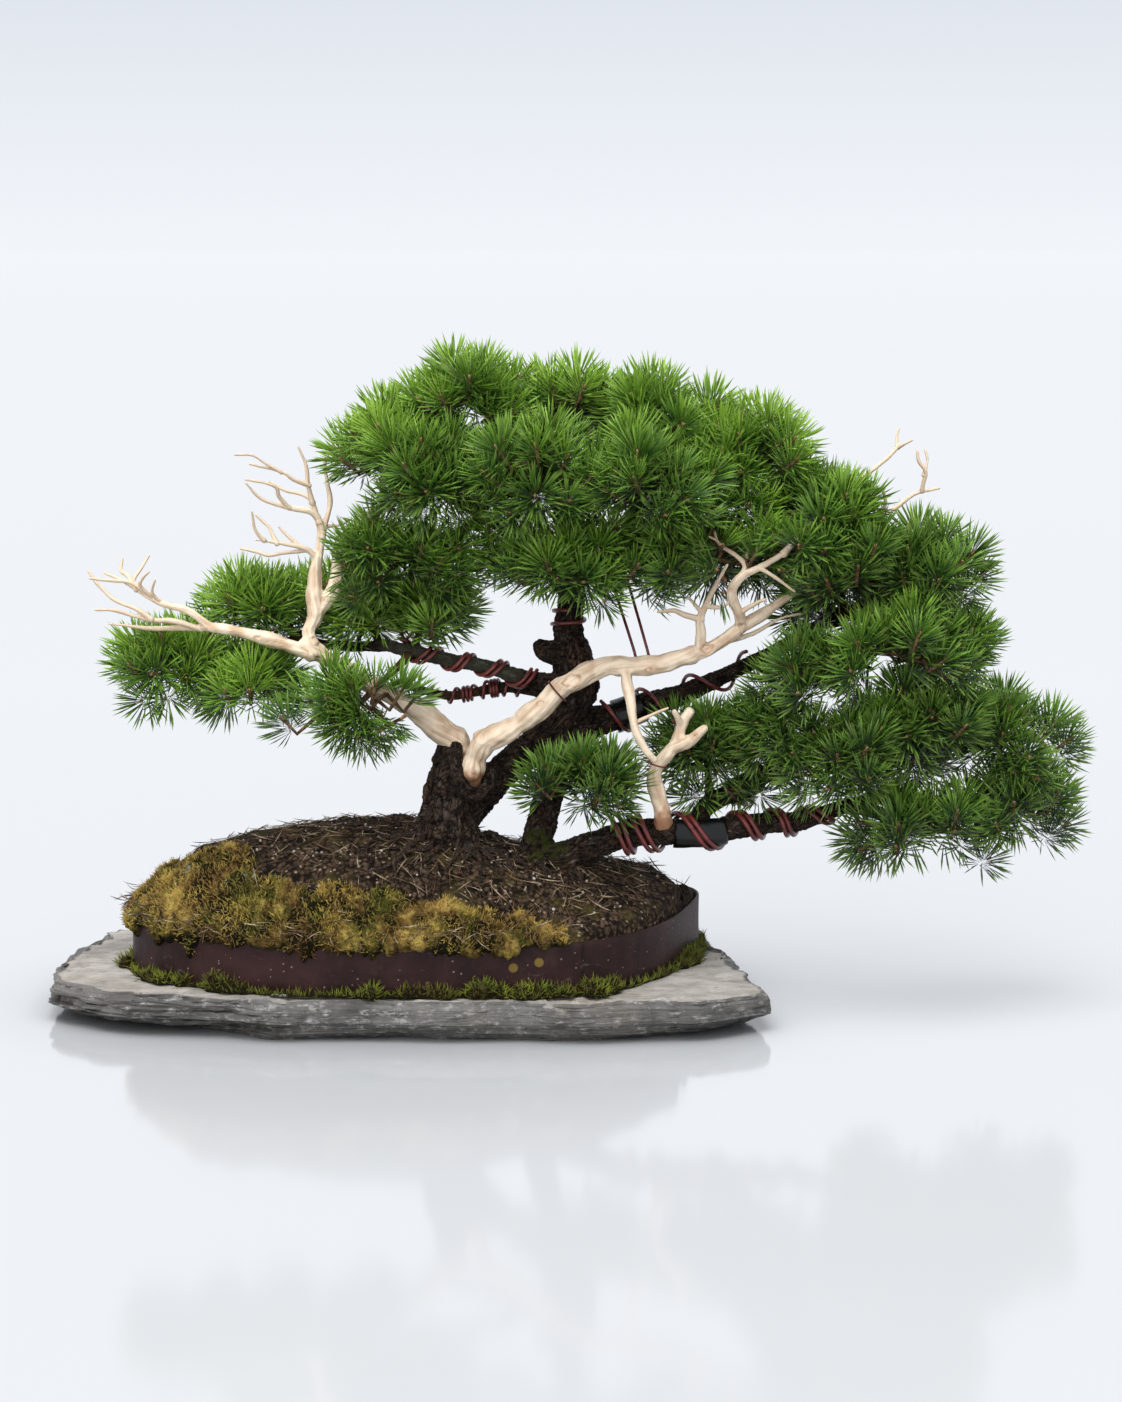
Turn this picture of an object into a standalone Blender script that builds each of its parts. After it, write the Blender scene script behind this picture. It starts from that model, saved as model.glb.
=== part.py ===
"""A trained mountain pine with stripped dead branches, planted in a strip-edged mound on a slate slab.

Metres, +Z up, +X to the right of the front view and -Y towards the viewer. The origin is on the floor
under the middle of the slab. Distances in the tables below are in millimetres and are scaled by MM.
"""

import math
import random

import bmesh
import bpy
import numpy as np
from mathutils import Matrix, Vector

MM = 0.001
GAP = 0.4

SLAB_TOP = 30.0
SLAB_FLAT = (20.0, 110.0)
BAND_TOP = 72.0
BAND_THICK = 2.0
SOIL_EDGE = 73.5
RING_STEPS = 36

NEEDLE_LENGTH = 37.0
NEEDLE_ROOT = 2.5
BUD_RADIUS = 3.0
NEEDLE_LIFT = 0.12
TWIG_RADIUS = 1.5
NEEDLE_RADII = (1.7, 0.1)
TUFT_RADII = (TWIG_RADIUS, BUD_RADIUS + 1)
SHOOT_RADII = (3.8, 3.0)
STEM_RADII = (2.6, 1.9)
NEEDLE_SPREAD = 0.5
SEED = 7

# Outline of the slate seen from above, anticlockwise from the front left corner.
SLAB_OUTLINE = [
    (-284, -66), (-252, -96), (-214, -116), (-160, -128), (-102, -141), (-40, -136), (30, -142),
    (90, -140), (140, -148), (190, -141), (232, -136), (286, -104), (282, -60), (268, 20), (252, 96),
    (244, 150), (190, 160), (120, 154), (40, 168), (-60, 160), (-140, 166), (-210, 152), (-262, 152),
    (-280, 130), (-286, 60), (-292, 0),
]
# Outline of the edging strip's outer face, anticlockwise from the lapped seam at the front.
RING_OUTLINE = [
    (138, -105), (167, -85), (191, -55), (210, -16), (226, 35), (236, 85), (226, 118), (180, 132),
    (90, 140), (0, 140), (-90, 134), (-160, 116), (-205, 82), (-226, 38), (-223, -12), (-206, -44),
    (-179, -70), (-140, -92), (-81, -109), (-19, -114), (35, -113), (89, -110),
]
# Height of the mound's ridge along X.
RIDGE = [
    (-232, 80), (-200, 103), (-172, 124), (-131, 136), (-58, 147), (0, 148), (32, 141), (104, 122),
    (152, 114), (194, 103), (226, 89), (242, 80),
]

# Each limb is a list of (x, y, z, radius), from its root outwards.
LIVE_LIMBS = {
    "left_trunk": [(24, -8, 112, 36), (27, -5, 132, 30), (29, -3, 152, 23), (32, -1, 175, 20),
                   (36, 0, 194, 17), (38, 1, 203, 14)],
    "live_trunk": [(38, 4, 150, 18), (61, 9, 174, 15), (81, 14, 192, 14), (108, 17, 213, 16),
                   (126, 18, 238, 17), (134, 18, 256, 18), (131, 16, 277, 17), (127, 16, 300, 12),
                   (129, 17, 326, 11), (133, 20, 357, 9), (128, 22, 392, 7)],
    "middle_stem": [(98, 2, 106, 17), (102, 4, 132, 13), (109, 7, 159, 12), (117, 12, 188, 12),
                    (125, 15, 214, 13)],
    "knob_upper": [(124, 12, 281, 11), (108, 4, 286, 9), (103, 2, 291, 6)],
    "knob_lower": [(125, 8, 254, 11), (112, 0, 260, 9), (107, -3, 263, 6)],
    "low_branch": [(104, -8, 110, 20), (125, -8, 119, 15), (146, -8, 129, 12), (172, -8, 138, 11),
                   (202, -8, 141, 11), (233, -6, 140, 10), (261, -2, 143, 10), (289, 2, 146, 9),
                   (314, 6, 147, 8), (348, 8, 158, 6), (384, 10, 168, 5)],
    "rising_branch": [(226, -3, 142, 8), (240, 8, 160, 8), (269, 12, 174, 8), (299, 12, 192, 7),
                      (329, 12, 212, 6), (352, 12, 232, 5)],
    "left_upper": [(122, 14, 257, 8), (92, 8, 263, 7), (63, 0, 273, 6), (34, -6, 279, 6),
                   (3, -12, 287, 6), (-24, -8, 293, 5)],
    "left_lower": [(114, 16, 250, 6), (88, 22, 253, 5), (69, 24, 253, 5), (51, 26, 249, 4),
                   (31, 28, 246, 4), (11, 28, 250, 3.5), (-12, 22, 258, 3.5)],
    "upper_right": [(124, 20, 212, 15), (144, 26, 223, 13), (169, 30, 230, 11), (193, 32, 239, 10),
                    (221, 34, 247, 9), (252, 34, 261, 7), (282, 32, 276, 6), (314, 28, 294, 6),
                    (346, 24, 314, 5)],
    "canopy_left": [(129, 18, 330, 9), (98, 16, 366, 7), (62, 12, 392, 6), (30, 10, 410, 5)],
    "canopy_right": [(131, 18, 345, 9), (172, 20, 372, 7), (216, 18, 396, 6), (256, 14, 408, 5)],
    "canopy_top": [(128, 20, 380, 7), (112, 16, 420, 6), (92, 12, 446, 5)],
    "left_pad": [(-16, -9, 291, 5), (-48, 14, 288, 4.5), (-84, 20, 290, 4), (-112, 18, 292, 3.5)],
}
THICK = ("left_trunk", "live_trunk", "middle_stem", "low_branch")

# Dead wood: per body, its limbs as (points, root radius, tip radius).
DEAD_LEFT = [
    ([(38, -3, 212), (18, -10, 230), (2, -15, 244), (-27, -20, 260), (-52, -24, 275), (-71, -26, 288),
      (-82, -26, 294)], 10, 6.5),
    ([(-74, -26, 287), (-101, -28, 296), (-118, -30, 301), (-140, -32, 306), (-160, -33, 310)], 6, 4),
    ([(-154, -33, 308), (-172, -36, 322), (-189, -38, 327), (-202, -38, 333), (-222, -34, 345),
      (-239, -30, 352)], 4, 1.2),
    ([(-154, -33, 309), (-181, -30, 308), (-204, -26, 307), (-223, -22, 309), (-238, -18, 310)], 3.4, 1),
    ([(-162, -32, 307), (-183, -37, 314), (-203, -42, 316), (-227, -50, 324), (-243, -54, 325)], 2.4, 0.9),
    ([(-201, -42, 316), (-211, -45, 324), (-229, -44, 332), (-241, -40, 342), (-250, -36, 354)], 2, 0.9),
    ([(-212, -37, 339), (-220, -30, 349), (-226, -26, 353), (-225, -22, 362)], 1.8, 0.9),
    ([(-199, -38, 332), (-216, -41, 345), (-231, -44, 347), (-247, -48, 349)], 1.8, 0.9),
    ([(-208, -36, 338), (-216, -27, 345), (-210, -22, 355), (-205, -16, 364)], 1.7, 0.8),
    ([(-199, -38, 332), (-208, -46, 343), (-205, -50, 350), (-200, -54, 355)], 1.6, 0.8),
    ([(-192, -38, 328), (-199, -44, 338), (-196, -49, 348)], 1.5, 0.8),
    ([(-76, -26, 286), (-79, -26, 304), (-73, -24, 318), (-74, -22, 332), (-73, -20, 349),
      (-71, -20, 364)], 7, 5),
    ([(-74, -24, 316), (-62, -20, 331), (-57, -12, 344), (-56, -4, 359), (-52, 2, 376), (-37, 6, 390),
      (-15, 8, 404), (5, 8, 411)], 6, 3),
    ([(-70, -20, 360), (-80, -24, 370), (-98, -30, 375), (-119, -36, 378)], 3, 1),
    ([(-71, -20, 360), (-69, -18, 373), (-68, -18, 384), (-74, -20, 398), (-94, -26, 403),
      (-114, -30, 410), (-126, -34, 423)], 4, 1),
    ([(-69, -18, 380), (-66, -14, 386), (-54, -10, 388), (-48, -8, 391)], 2, 0.9),
    ([(-112, -34, 377), (-118, -38, 386), (-121, -42, 401)], 1.5, 0.8),
    ([(-102, -31, 375), (-109, -27, 387), (-119, -24, 397)], 1.6, 0.8),
    ([(-84, -25, 371), (-94, -20, 379), (-102, -16, 387)], 1.6, 0.8),
    ([(-80, -23, 369), (-97, -22, 367), (-109, -18, 364), (-120, -14, 367), (-133, -10, 369)], 1.8, 0.8),
    ([(-92, -26, 402), (-100, -32, 412), (-104, -37, 421), (-125, -44, 426)], 1.8, 0.8),
    ([(-70, -19, 390), (-76, -21, 408), (-85, -18, 413), (-98, -14, 416), (-109, -10, 422)], 2.4, 0.8),
    ([(-75, -21, 406), (-78, -26, 423), (-79, -28, 437), (-85, -30, 451)], 2, 0.8),
    ([(-77, -25, 420), (-89, -32, 426), (-99, -36, 432), (-122, -40, 438)], 1.8, 0.8),
    ([(-97, -35, 431), (-109, -40, 438), (-120, -44, 445), (-133, -48, 446)], 1.3, 0.7),
    ([(-68, -17, 382), (-62, -10, 404), (-64, -6, 423), (-66, -4, 437), (-61, -4, 448),
      (-58, -4, 454)], 2.4, 0.8),
]
DEAD_RIGHT = [
    ([(45, -20, 191), (49, -22, 207), (60, -24, 219), (85, -26, 230), (104, -27, 244), (120, -28, 259),
      (140, -29, 270), (161, -30, 278), (182, -31, 278), (204, -32, 280), (225, -33, 287)], 10, 6.5),
    ([(221, -33, 285), (246, -34, 297), (265, -34, 310), (286, -28, 323), (306, -22, 336)], 6, 3.6),
    ([(305, -22, 335), (322, -14, 355), (341, -6, 371), (364, 0, 388), (387, 4, 400), (402, 6, 411),
      (422, 6, 416)], 3.6, 1.4),
    ([(230, -33, 288), (231, -38, 305), (231, -42, 319), (240, -44, 339), (251, -48, 360)], 5, 1.4),
    ([(231, -41, 316), (219, -44, 320), (208, -48, 324), (197, -52, 323)], 2.6, 1),
    ([(234, -43, 327), (247, -46, 326), (253, -48, 331)], 2, 0.9),
    ([(232, -42, 321), (225, -45, 329), (220, -47, 334)], 2, 0.9),
    ([(263, -34, 307), (261, -40, 319), (256, -46, 331), (255, -50, 342), (262, -54, 351),
      (277, -56, 359), (295, -56, 370)], 5, 2.6),
    ([(294, -56, 369), (313, -42, 388), (328, -26, 404), (343, -12, 417), (369, -6, 432),
      (389, -2, 450)], 2.6, 1.4),
    ([(261, -53, 350), (265, -50, 359), (258, -48, 367), (245, -46, 375), (241, -44, 385)], 2.6, 1),
    ([(248, -46, 373), (242, -51, 379), (237, -54, 382)], 1.5, 0.8),
    ([(265, -50, 357), (266, -45, 365), (267, -42, 373)], 1.8, 0.8),
    ([(260, -40, 320), (269, -46, 327), (281, -51, 333)], 2.4, 1),
    ([(276, -56, 358), (285, -61, 353), (303, -58, 340)], 1.6, 0.8),
    ([(244, -34, 296), (272, -27, 303), (293, -22, 314), (311, -18, 318)], 3, 1.2),
    ([(408, 6, 413), (410, 2, 429), (404, 0, 438), (403, 0, 446)], 1.8, 0.9),
    ([(409, 3, 426), (412, 6, 437), (410, 8, 446)], 1.3, 0.8),
    ([(374, 2, 393), (378, -4, 405), (375, -8, 418)], 1.8, 0.9),
    ([(387, -2, 448), (387, 2, 456), (389, 4, 463)], 1.3, 0.8),
    ([(387, -2, 448), (393, -8, 452), (398, -10, 455)], 1.3, 0.8),
    ([(172, -32, 274), (174, -47, 261), (177, -54, 244), (180, -56, 229), (188, -56, 214),
      (195, -54, 206)], 4.5, 3),
    ([(178, -55, 236), (191, -51, 241), (205, -48, 247)], 1.8, 0.9),
]
DEAD_STUB = [
    ([(203, -10, 143), (202, -23, 158), (197, -26, 179), (196, -28, 194), (206, -30, 207), (213, -30, 217),
      (217, -30, 231), (223, -30, 242)], 6.5, 2.6),
    ([(211, -30, 213), (223, -36, 219), (235, -42, 230)], 4.5, 1.8),
    ([(216, -30, 229), (213, -36, 237), (210, -39, 243)], 2.6, 1.2),
]

# Sprays of needles: limb and point that each grows from, centre, radii and number of tufts.
SPRAYS = {
    "canopy_left": ("canopy_left", 3, (-11, -14, 440), (40, 46, 38), 6),
    "canopy_crown_left": ("canopy_top", 2, (50, 2, 486), (42, 44, 27), 5),
    "canopy_crown": ("canopy_top", 2, (118, 6, 478), (36, 44, 26), 5),
    "canopy_crown_right": ("canopy_right", 2, (197, 6, 470), (48, 44, 26), 6),
    "canopy_front_left": ("canopy_left", 2, (27, -60, 424), (46, 26, 34), 5),
    "canopy_front": ("canopy_top", 1, (106, -62, 430), (44, 28, 36), 5),
    "canopy_front_right": ("canopy_right", 1, (190, -60, 426), (44, 28, 36), 5),
    "canopy_under": ("live_trunk", 9, (134, -38, 356), (56, 34, 20), 5),
    "canopy_right": ("canopy_right", 3, (268, 0, 442), (42, 48, 30), 6),
    "canopy_right_under": ("canopy_right", 2, (238, -38, 364), (50, 28, 20), 5),
    "canopy_right_end": ("canopy_right", 3, (322, 4, 404), (26, 38, 20), 4),
    "canopy_left_under": ("canopy_left", 2, (-4, -24, 358), (46, 38, 24), 5),
    "canopy_back_left": ("canopy_left", 2, (48, 72, 430), (56, 24, 40), 4),
    "canopy_back_right": ("canopy_right", 1, (186, 76, 426), (66, 24, 40), 4),
    "canopy_back_under": ("live_trunk", 8, (150, 62, 362), (74, 24, 16), 3),
    "left_tip": ("left_pad", 3, (-190, 0, 278), (32, 34, 18), 5),
    "left_low": ("left_pad", 2, (-126, 0, 264), (38, 34, 14), 4),
    "left_high": ("left_pad", 2, (-118, 20, 320), (42, 28, 18), 5),
    "left_inner": ("left_upper", 4, (-42, -56, 246), (44, 12, 26), 5),
    "left_middle": ("left_upper", 5, (-34, 16, 312), (40, 28, 26), 5),
    "left_bud": ("left_upper", 4, (16, -4, 318), (26, 24, 12), 3),
    "right_high_inner": ("upper_right", 8, (346, -6, 354), (34, 40, 30), 5),
    "right_high_end": ("upper_right", 8, (408, 2, 350), (42, 44, 30), 6),
    "right_middle": ("upper_right", 7, (380, -44, 290), (46, 26, 30), 5),
    "right_middle_end": ("upper_right", 8, (434, 8, 290), (25, 38, 26), 4),
    "right_middle_inner": ("upper_right", 6, (322, -38, 270), (32, 26, 30), 4),
    "right_back": ("upper_right", 7, (378, 58, 314), (48, 18, 38), 4),
    "right_low_inner": ("rising_branch", 4, (346, -38, 206), (38, 28, 32), 5),
    "right_low_high": ("rising_branch", 5, (412, -30, 234), (36, 30, 26), 4),
    "right_low_end": ("rising_branch", 5, (480, 2, 216), (38, 40, 28), 5),
    "right_low_tip": ("low_branch", 10, (488, 0, 160), (34, 38, 24), 5),
    "right_low_under": ("low_branch", 9, (408, -20, 146), (62, 34, 20), 5),
    "right_low_back": ("rising_branch", 5, (404, 50, 198), (58, 20, 34), 4),
    "centre_left": ("middle_stem", 3, (142, -28, 186), (34, 18, 12), 4),
    "centre_right": ("rising_branch", 1, (238, 14, 208), (28, 26, 16), 3),
}


def material(name, colour, roughness, metallic=0.0):
    made = bpy.data.materials.new(name)
    made.use_nodes = True
    shader = made.node_tree.nodes["Principled BSDF"]
    shader.inputs["Base Color"].default_value = (*colour, 1.0)
    shader.inputs["Roughness"].default_value = roughness
    shader.inputs["Metallic"].default_value = metallic
    made.diffuse_color = (*colour, 1.0)
    return made


def new_object(name, points, faces, look=None):
    """An object from points in millimetres, with its faces turned outwards."""
    mesh = bpy.data.meshes.new(name)
    mesh.from_pydata([tuple(c * MM for c in p) for p in points], [], faces)
    work = bmesh.new()
    work.from_mesh(mesh)
    bmesh.ops.recalc_face_normals(work, faces=work.faces)
    work.to_mesh(mesh)
    work.free()
    if look:
        mesh.materials.append(look)
    made = bpy.data.objects.new(name, mesh)
    bpy.context.scene.collection.objects.link(made)
    return made


def combined(name, others, operation, solver):
    """Applies one Boolean of others on the object called name, and removes them."""
    base = bpy.data.objects[name]
    group = bpy.data.collections.new(name + "_pieces")
    bpy.context.scene.collection.children.link(group)
    for other in others:
        bpy.context.scene.collection.objects.unlink(other)
        group.objects.link(other)
    step = base.modifiers.new("Join", "BOOLEAN")
    step.operation = operation
    step.solver = solver
    step.operand_type = "COLLECTION"
    step.collection = group
    bpy.context.view_layer.objects.active = base
    bpy.ops.object.modifier_apply(modifier=step.name)
    for other in list(group.objects):
        bpy.data.objects.remove(other)
    bpy.data.collections.remove(group)
    return base


def fused(name, pieces, look):
    """One body from a list of closed (points, faces)."""
    base = new_object(name, *pieces[0], look)
    others = [new_object(f"{name}_{i}", *piece) for i, piece in enumerate(pieces[1:])]
    return combined(name, others, "UNION", "MANIFOLD") if others else base


def frames(points):
    """Unit tangent and two normals at each point of a route, turned as little as possible."""
    points = [Vector(p) for p in points]
    ends = [(points[max(i - 1, 0)], points[min(i + 1, len(points) - 1)]) for i in range(len(points))]
    tangents = [(b - a).normalized() for a, b in ends]
    side = tangents[0].orthogonal().normalized()
    result = []
    for tangent in tangents:
        side = (side - tangent * side.dot(tangent)).normalized()
        result.append((tangent, side, tangent.cross(side)))
    return result


def tube(points, radii, sides):
    """A closed tube of flat sides along a route, with a radius at each point."""
    rings = []
    for point, radius, (_, side, up) in zip(points, radii, frames(points)):
        turns = [math.tau * k / sides for k in range(sides)]
        rings.append([Vector(point) + radius * (math.cos(t) * side + math.sin(t) * up) for t in turns])
    return lofted(rings, closed=False)


def lofted(rings, closed):
    """Skin over rings of equal length, joined end to end or capped."""
    n = len(rings[0])
    points = [p for ring in rings for p in ring]
    faces = []
    for i in range(len(rings) if closed else len(rings) - 1):
        j = (i + 1) % len(rings)
        for k in range(n):
            m = (k + 1) % n
            faces.append((i * n + k, i * n + m, j * n + m, j * n + k))
    if not closed:
        faces += [tuple(range(n)), tuple((len(rings) - 1) * n + k for k in range(n))]
    return points, faces


def tapered(route, start, end):
    """Radii that fall evenly along a route."""
    steps = [0.0]
    for a, b in zip(route, route[1:]):
        steps.append(steps[-1] + (Vector(b) - Vector(a)).length)
    return [start + (end - start) * s / steps[-1] for s in steps]


# The limbs that wires are wound on.
WIRED_LIMBS = dict(LIVE_LIMBS)
WIRED_LIMBS["dead_right"] = [(*p, r) for p, r in zip(DEAD_RIGHT[0][0], tapered(*DEAD_RIGHT[0]))]


def limb_tube(name, extra=0.0):
    """A limb's tube. With extra it is wider all round, and longer at its root."""
    rows, sides = LIVE_LIMBS[name], 7 if name in THICK else 5
    route = [Vector(row[:3]) for row in rows]
    route[0] -= (route[1] - route[0]).normalized() * extra
    return tube(route, [row[3] + extra for row in rows], sides)


def smooth_loop(outline, count):
    """Points evenly numbered along a closed curve through the outline's points."""
    n = len(outline)
    result = []
    for k in range(count):
        place = k * n / count
        i, t = int(place), place % 1.0
        a, b, c, d = (np.array(outline[(i + j) % n], float) for j in (-1, 0, 1, 2))
        result.append(0.5 * ((2 * b) + (c - a) * t + (2 * a - 5 * b + 4 * c - d) * t**2
                             + (3 * b - a - 3 * c + d) * t**3))
    return result


def outward(loop):
    """Unit normals that point away from the inside of an anticlockwise loop."""
    n = len(loop)
    result = []
    for i in range(n):
        run = loop[(i + 1) % n] - loop[i - 1]
        result.append(np.array([run[1], -run[0]]) / np.hypot(*run))
    return result


RING = smooth_loop(RING_OUTLINE, RING_STEPS)
RING_OUT = outward(RING)


def ring_point(step, distance):
    """A point beside the edging strip: step counts round from the seam, distance is outwards."""
    i, t = int(step) % RING_STEPS, step % 1.0
    j = (i + 1) % RING_STEPS
    place = RING[i] * (1 - t) + RING[j] * t
    return place + (RING_OUT[i] * (1 - t) + RING_OUT[j] * t) * distance


def ripple(x, y, size, scale):
    """Gentle uneven ground, the same at every run."""
    return size * (math.sin(x / scale + 1.3) * math.cos(y / scale * 1.4 + 0.4)
                   + 0.5 * math.sin(x / scale * 2.7 + y / scale * 2.1))


def mound_height(x, y):
    """Height of the soil: a long ridge that falls to the strip at the front and the back."""
    loop = np.array(RING)
    near = np.abs(loop[:, 0] - x)
    front = loop[loop[:, 1] < 15]
    back = loop[loop[:, 1] >= 15]
    low = np.interp(x, *np.array(sorted(map(tuple, front))).T)
    high = np.interp(x, *np.array(sorted(map(tuple, back))).T)
    middle, half = (low + high) / 2, max((high - low) / 2, 1.0)
    across = min(abs(y - middle) / half, 1.0)
    ridge = np.interp(x, *np.array(RIDGE).T)
    lift = 1.0 - across**2.2
    return SOIL_EDGE + (ridge - SOIL_EDGE) * lift + ripple(x, y, 1.2, 23.0) * min(near.min() / 20, 1.0) * lift


def slab():
    """Slate slab: flat top, broken edge in layers, undercut below, flat where it stands."""
    chance = random.Random(3)
    levels = [(0.0, -8.0, 4.0), (6.0, -3.0, 3.0), (14.0, 0.0, 2.5), (26.0, -0.5, 1.5), (SLAB_TOP, -5.0, 0.5)]
    loop = smooth_loop(SLAB_OUTLINE, len(SLAB_OUTLINE))
    out = outward(loop)
    rings = []
    for height, inset, rough in levels:
        ring = []
        for place, normal in zip(loop, out):
            beyond = min(max((abs(place[0] - SLAB_FLAT[0]) - SLAB_FLAT[1]) / 120, 0), 1)
            rise = beyond * max(1 - height / 12, 0)
            spot = place + normal * (inset + chance.uniform(-rough, rough) - 24 * rise)
            ring.append(Vector((spot[0], spot[1], height)))
        rings.append(ring)
    return new_object("slate_slab", *lofted(rings, closed=False), SLATE)


def edging_strip():
    """One strip round the mound, its outer end lapped over its inner end at the front."""
    lap_steps = 1.0
    rings = []
    for k in range(RING_STEPS + 1):
        step = k * (RING_STEPS + lap_steps) / RING_STEPS - lap_steps
        tuck = max(0.0, 1.0 - k / 6) * (BAND_THICK + GAP)
        inner, outer = ring_point(step, -BAND_THICK - tuck), ring_point(step, -tuck)
        rings.append([Vector((*inner, SLAB_TOP + GAP)), Vector((*outer, SLAB_TOP + GAP)),
                      Vector((*outer, BAND_TOP)), Vector((*inner, BAND_TOP))])
    return new_object("edging_strip", *lofted(rings, closed=False), STRIP)


def bed(grow, edge, reach):
    """The mound as a closed body: grow lifts its top, edge and reach widen its foot."""
    rows = [1.0, 0.88, 0.64, 0.34]
    middle = np.array([5.0, 15.0])
    soil_reach = -2 * BAND_THICK - 3 * GAP
    rings = []
    for height in (SLAB_TOP + GAP - edge, SOIL_EDGE + grow - 1.5 * (reach > 0)):
        rings.append([Vector((*ring_point(k, soil_reach + reach), height)) for k in range(RING_STEPS)])
    for row in rows[(0 if reach > 0 else 1):]:
        ring = []
        for k in range(RING_STEPS):
            x, y = middle + (ring_point(k, soil_reach) - middle) * row
            ring.append(Vector((x, y, mound_height(x, y) + grow)))
        rings.append(ring)
    points, faces = lofted(rings, closed=False)
    faces.pop()
    top = len(points)
    points.append(Vector((*middle, mound_height(*middle) + grow)))
    last = len(points) - 1 - RING_STEPS
    faces += [(last + k, last + (k + 1) % RING_STEPS, top) for k in range(RING_STEPS)]
    return points, faces


def soil():
    """Soil mound with plain sockets for the stems that stand in it."""
    made = new_object("soil_mound", *bed(0.0, 0.0, 0.0), SOIL)
    sockets = [new_object("socket_" + name, *limb_tube(name, GAP))
               for name in ("left_trunk", "middle_stem", "low_branch")]
    return combined(made.name, sockets, "DIFFERENCE", "EXACT")


def mound_moss():
    """Cushion of moss on the left and front of the mound, hanging over the strip's top."""
    rings = []
    first, last, count = 20.2, 35.5, 18
    for k in range(count + 1):
        step = first + (last - first) * k / count
        fade = math.sin(math.pi * min(max(k, 0.6), count - 0.6) / count) ** 0.35
        wide = (34 + 5 * math.sin(step * 1.9) + 34 * min(max((30 - step) / 4, 0), 1)) * fade
        thick = (7 + 2.0 * math.sin(step * 2.3) + 1.2 * math.sin(step * 5.1)) * fade
        hang = (6 + 3.5 * math.sin(step * 1.7 + 1) + 2.5 * math.sin(step * 4.3)) * fade
        section = []
        for distance, lift in ((-wide, -3.0), (-wide * 0.9, thick * 0.6), (-wide * 0.6, thick),
                               (-wide * 0.3, thick), (-6, thick)):
            x, y = ring_point(step, distance)
            section.append(Vector((x, y, mound_height(x, y) + lift)))
        x, y = ring_point(step, 3.0)
        section.append(Vector((x, y, BAND_TOP + thick * 0.35)))
        x, y = ring_point(step, 3.6)
        section.append(Vector((x, y, BAND_TOP - max(hang, 1.5))))
        x, y = ring_point(step, -8)
        section.append(Vector((x, y, BAND_TOP - max(hang, 1.5) - 3)))
        rings.append(section)
    made = new_object("mound_moss", *lofted(rings, closed=False), MOSS)
    under = new_object("mound_moss_under", *bed(GAP, 20.0, 2 * BAND_THICK + 4 * GAP))
    return combined(made.name, [under], "DIFFERENCE", "EXACT")


def foot_moss():
    """Low clumps of moss on the slab along the strip's foot."""
    rings = []
    for k in range(RING_STEPS):
        high = 8.5 + 2.5 * math.sin(k * 1.9) + 1.5 * math.sin(k * 4.1 + 2)
        wide = 13 + 3 * math.sin(k * 1.3 + 1) + 2 * math.sin(k * 3.7)
        ring = []
        for distance, height in ((0, 0), (0, high * 0.9), (wide * 0.55, high), (wide, 0)):
            spot = ring_point(k, 2 * GAP + distance)
            ring.append(Vector((*spot, SLAB_TOP + GAP + height)))
        rings.append(ring)
    return new_object("foot_moss", *lofted(rings, closed=True), MOSS)


class Space:
    """What is already built, as straight runs with a radius at each end and the name of their owner."""

    def __init__(self):
        self.rows = []
        self.owners = []
        self.array = np.zeros((0, 8))

    def add(self, owner, start, end, radii):
        self.rows.append((*start, *end, *radii))
        self.owners.append(owner)

    def add_route(self, owner, points, radii):
        for i in range(len(points) - 1):
            self.add(owner, points[i], points[i + 1], (radii[i], radii[i + 1]))

    def settle(self, skip=None):
        """Makes the rows ready to measure against, without those of one owner."""
        rows = [row for row, owner in zip(self.rows, self.owners) if owner != skip]
        self.array = np.array(rows or np.zeros((0, 8)))

    def room(self, start, end, radii):
        """Least distance from a run's skin to what is built."""
        rows = self.array
        if not len(rows):
            return math.inf
        a, b = np.array(start, float), np.array(end, float)
        s, t, distance = run_distance(a, b, rows[:, 0:3], rows[:, 3:6])
        radius = radii[0] + (radii[1] - radii[0]) * s
        other = rows[:, 6] + (rows[:, 7] - rows[:, 6]) * t
        return float((distance - radius - other).min())


def run_distance(a, b, c, d):
    """Nearest places along one run and many others, and the distances there."""
    u, v, w = b - a, d - c, a - c
    uu, uv, vv = u @ u, v @ u, np.einsum("ij,ij->i", v, v)
    uw, vw = w @ u, np.einsum("ij,ij->i", v, w)
    scale = np.maximum(uu * vv - uv**2, 1e-9)
    s = np.clip((uv * vw - vv * uw) / scale, 0, 1)
    t = np.clip((uv * s + vw) / np.maximum(vv, 1e-9), 0, 1)
    s = np.clip((uv * t - uw) / max(uu, 1e-9), 0, 1)
    apart = w + s[:, None] * u - t[:, None] * v
    return s, t, np.linalg.norm(apart, axis=1)


def limb_point(name, index):
    return Vector(LIVE_LIMBS[name][index][:3])


def shoot_route(spray):
    """The live shoot from a limb towards its spray, and the place where the spray's own stem starts."""
    limb, index, centre, radii, _ = SPRAYS[spray]
    start, target = limb_point(limb, index), Vector(centre)
    way = target - start
    reach = max(way.length - 0.55 * max(radii), 0.4 * way.length)
    return [start, start + way.normalized() * reach]


def live_wood():
    """Trunks, stems, branches and the shoots that carry the sprays, grown as one piece."""
    pieces = [limb_tube(name) for name in LIVE_LIMBS]
    for spray in SPRAYS:
        pieces.append(tube(shoot_route(spray), SHOOT_RADII, 3))
    return fused("live_wood", pieces, BARK)


def dead_wood(name, limbs, cut=None):
    pieces = []
    for route, start, end in limbs:
        sides = 6 if start > 6.2 else (5 if start > 4 else 3 if start < 2.5 else 4)
        pieces.append(tube(route, tapered(route, start, end), sides))
    made = fused(name, pieces, DEADWOOD)
    if cut:
        combined(name, [new_object(name + "_seat", *piece) for piece in cut], "DIFFERENCE", "EXACT")
    return made


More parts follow.
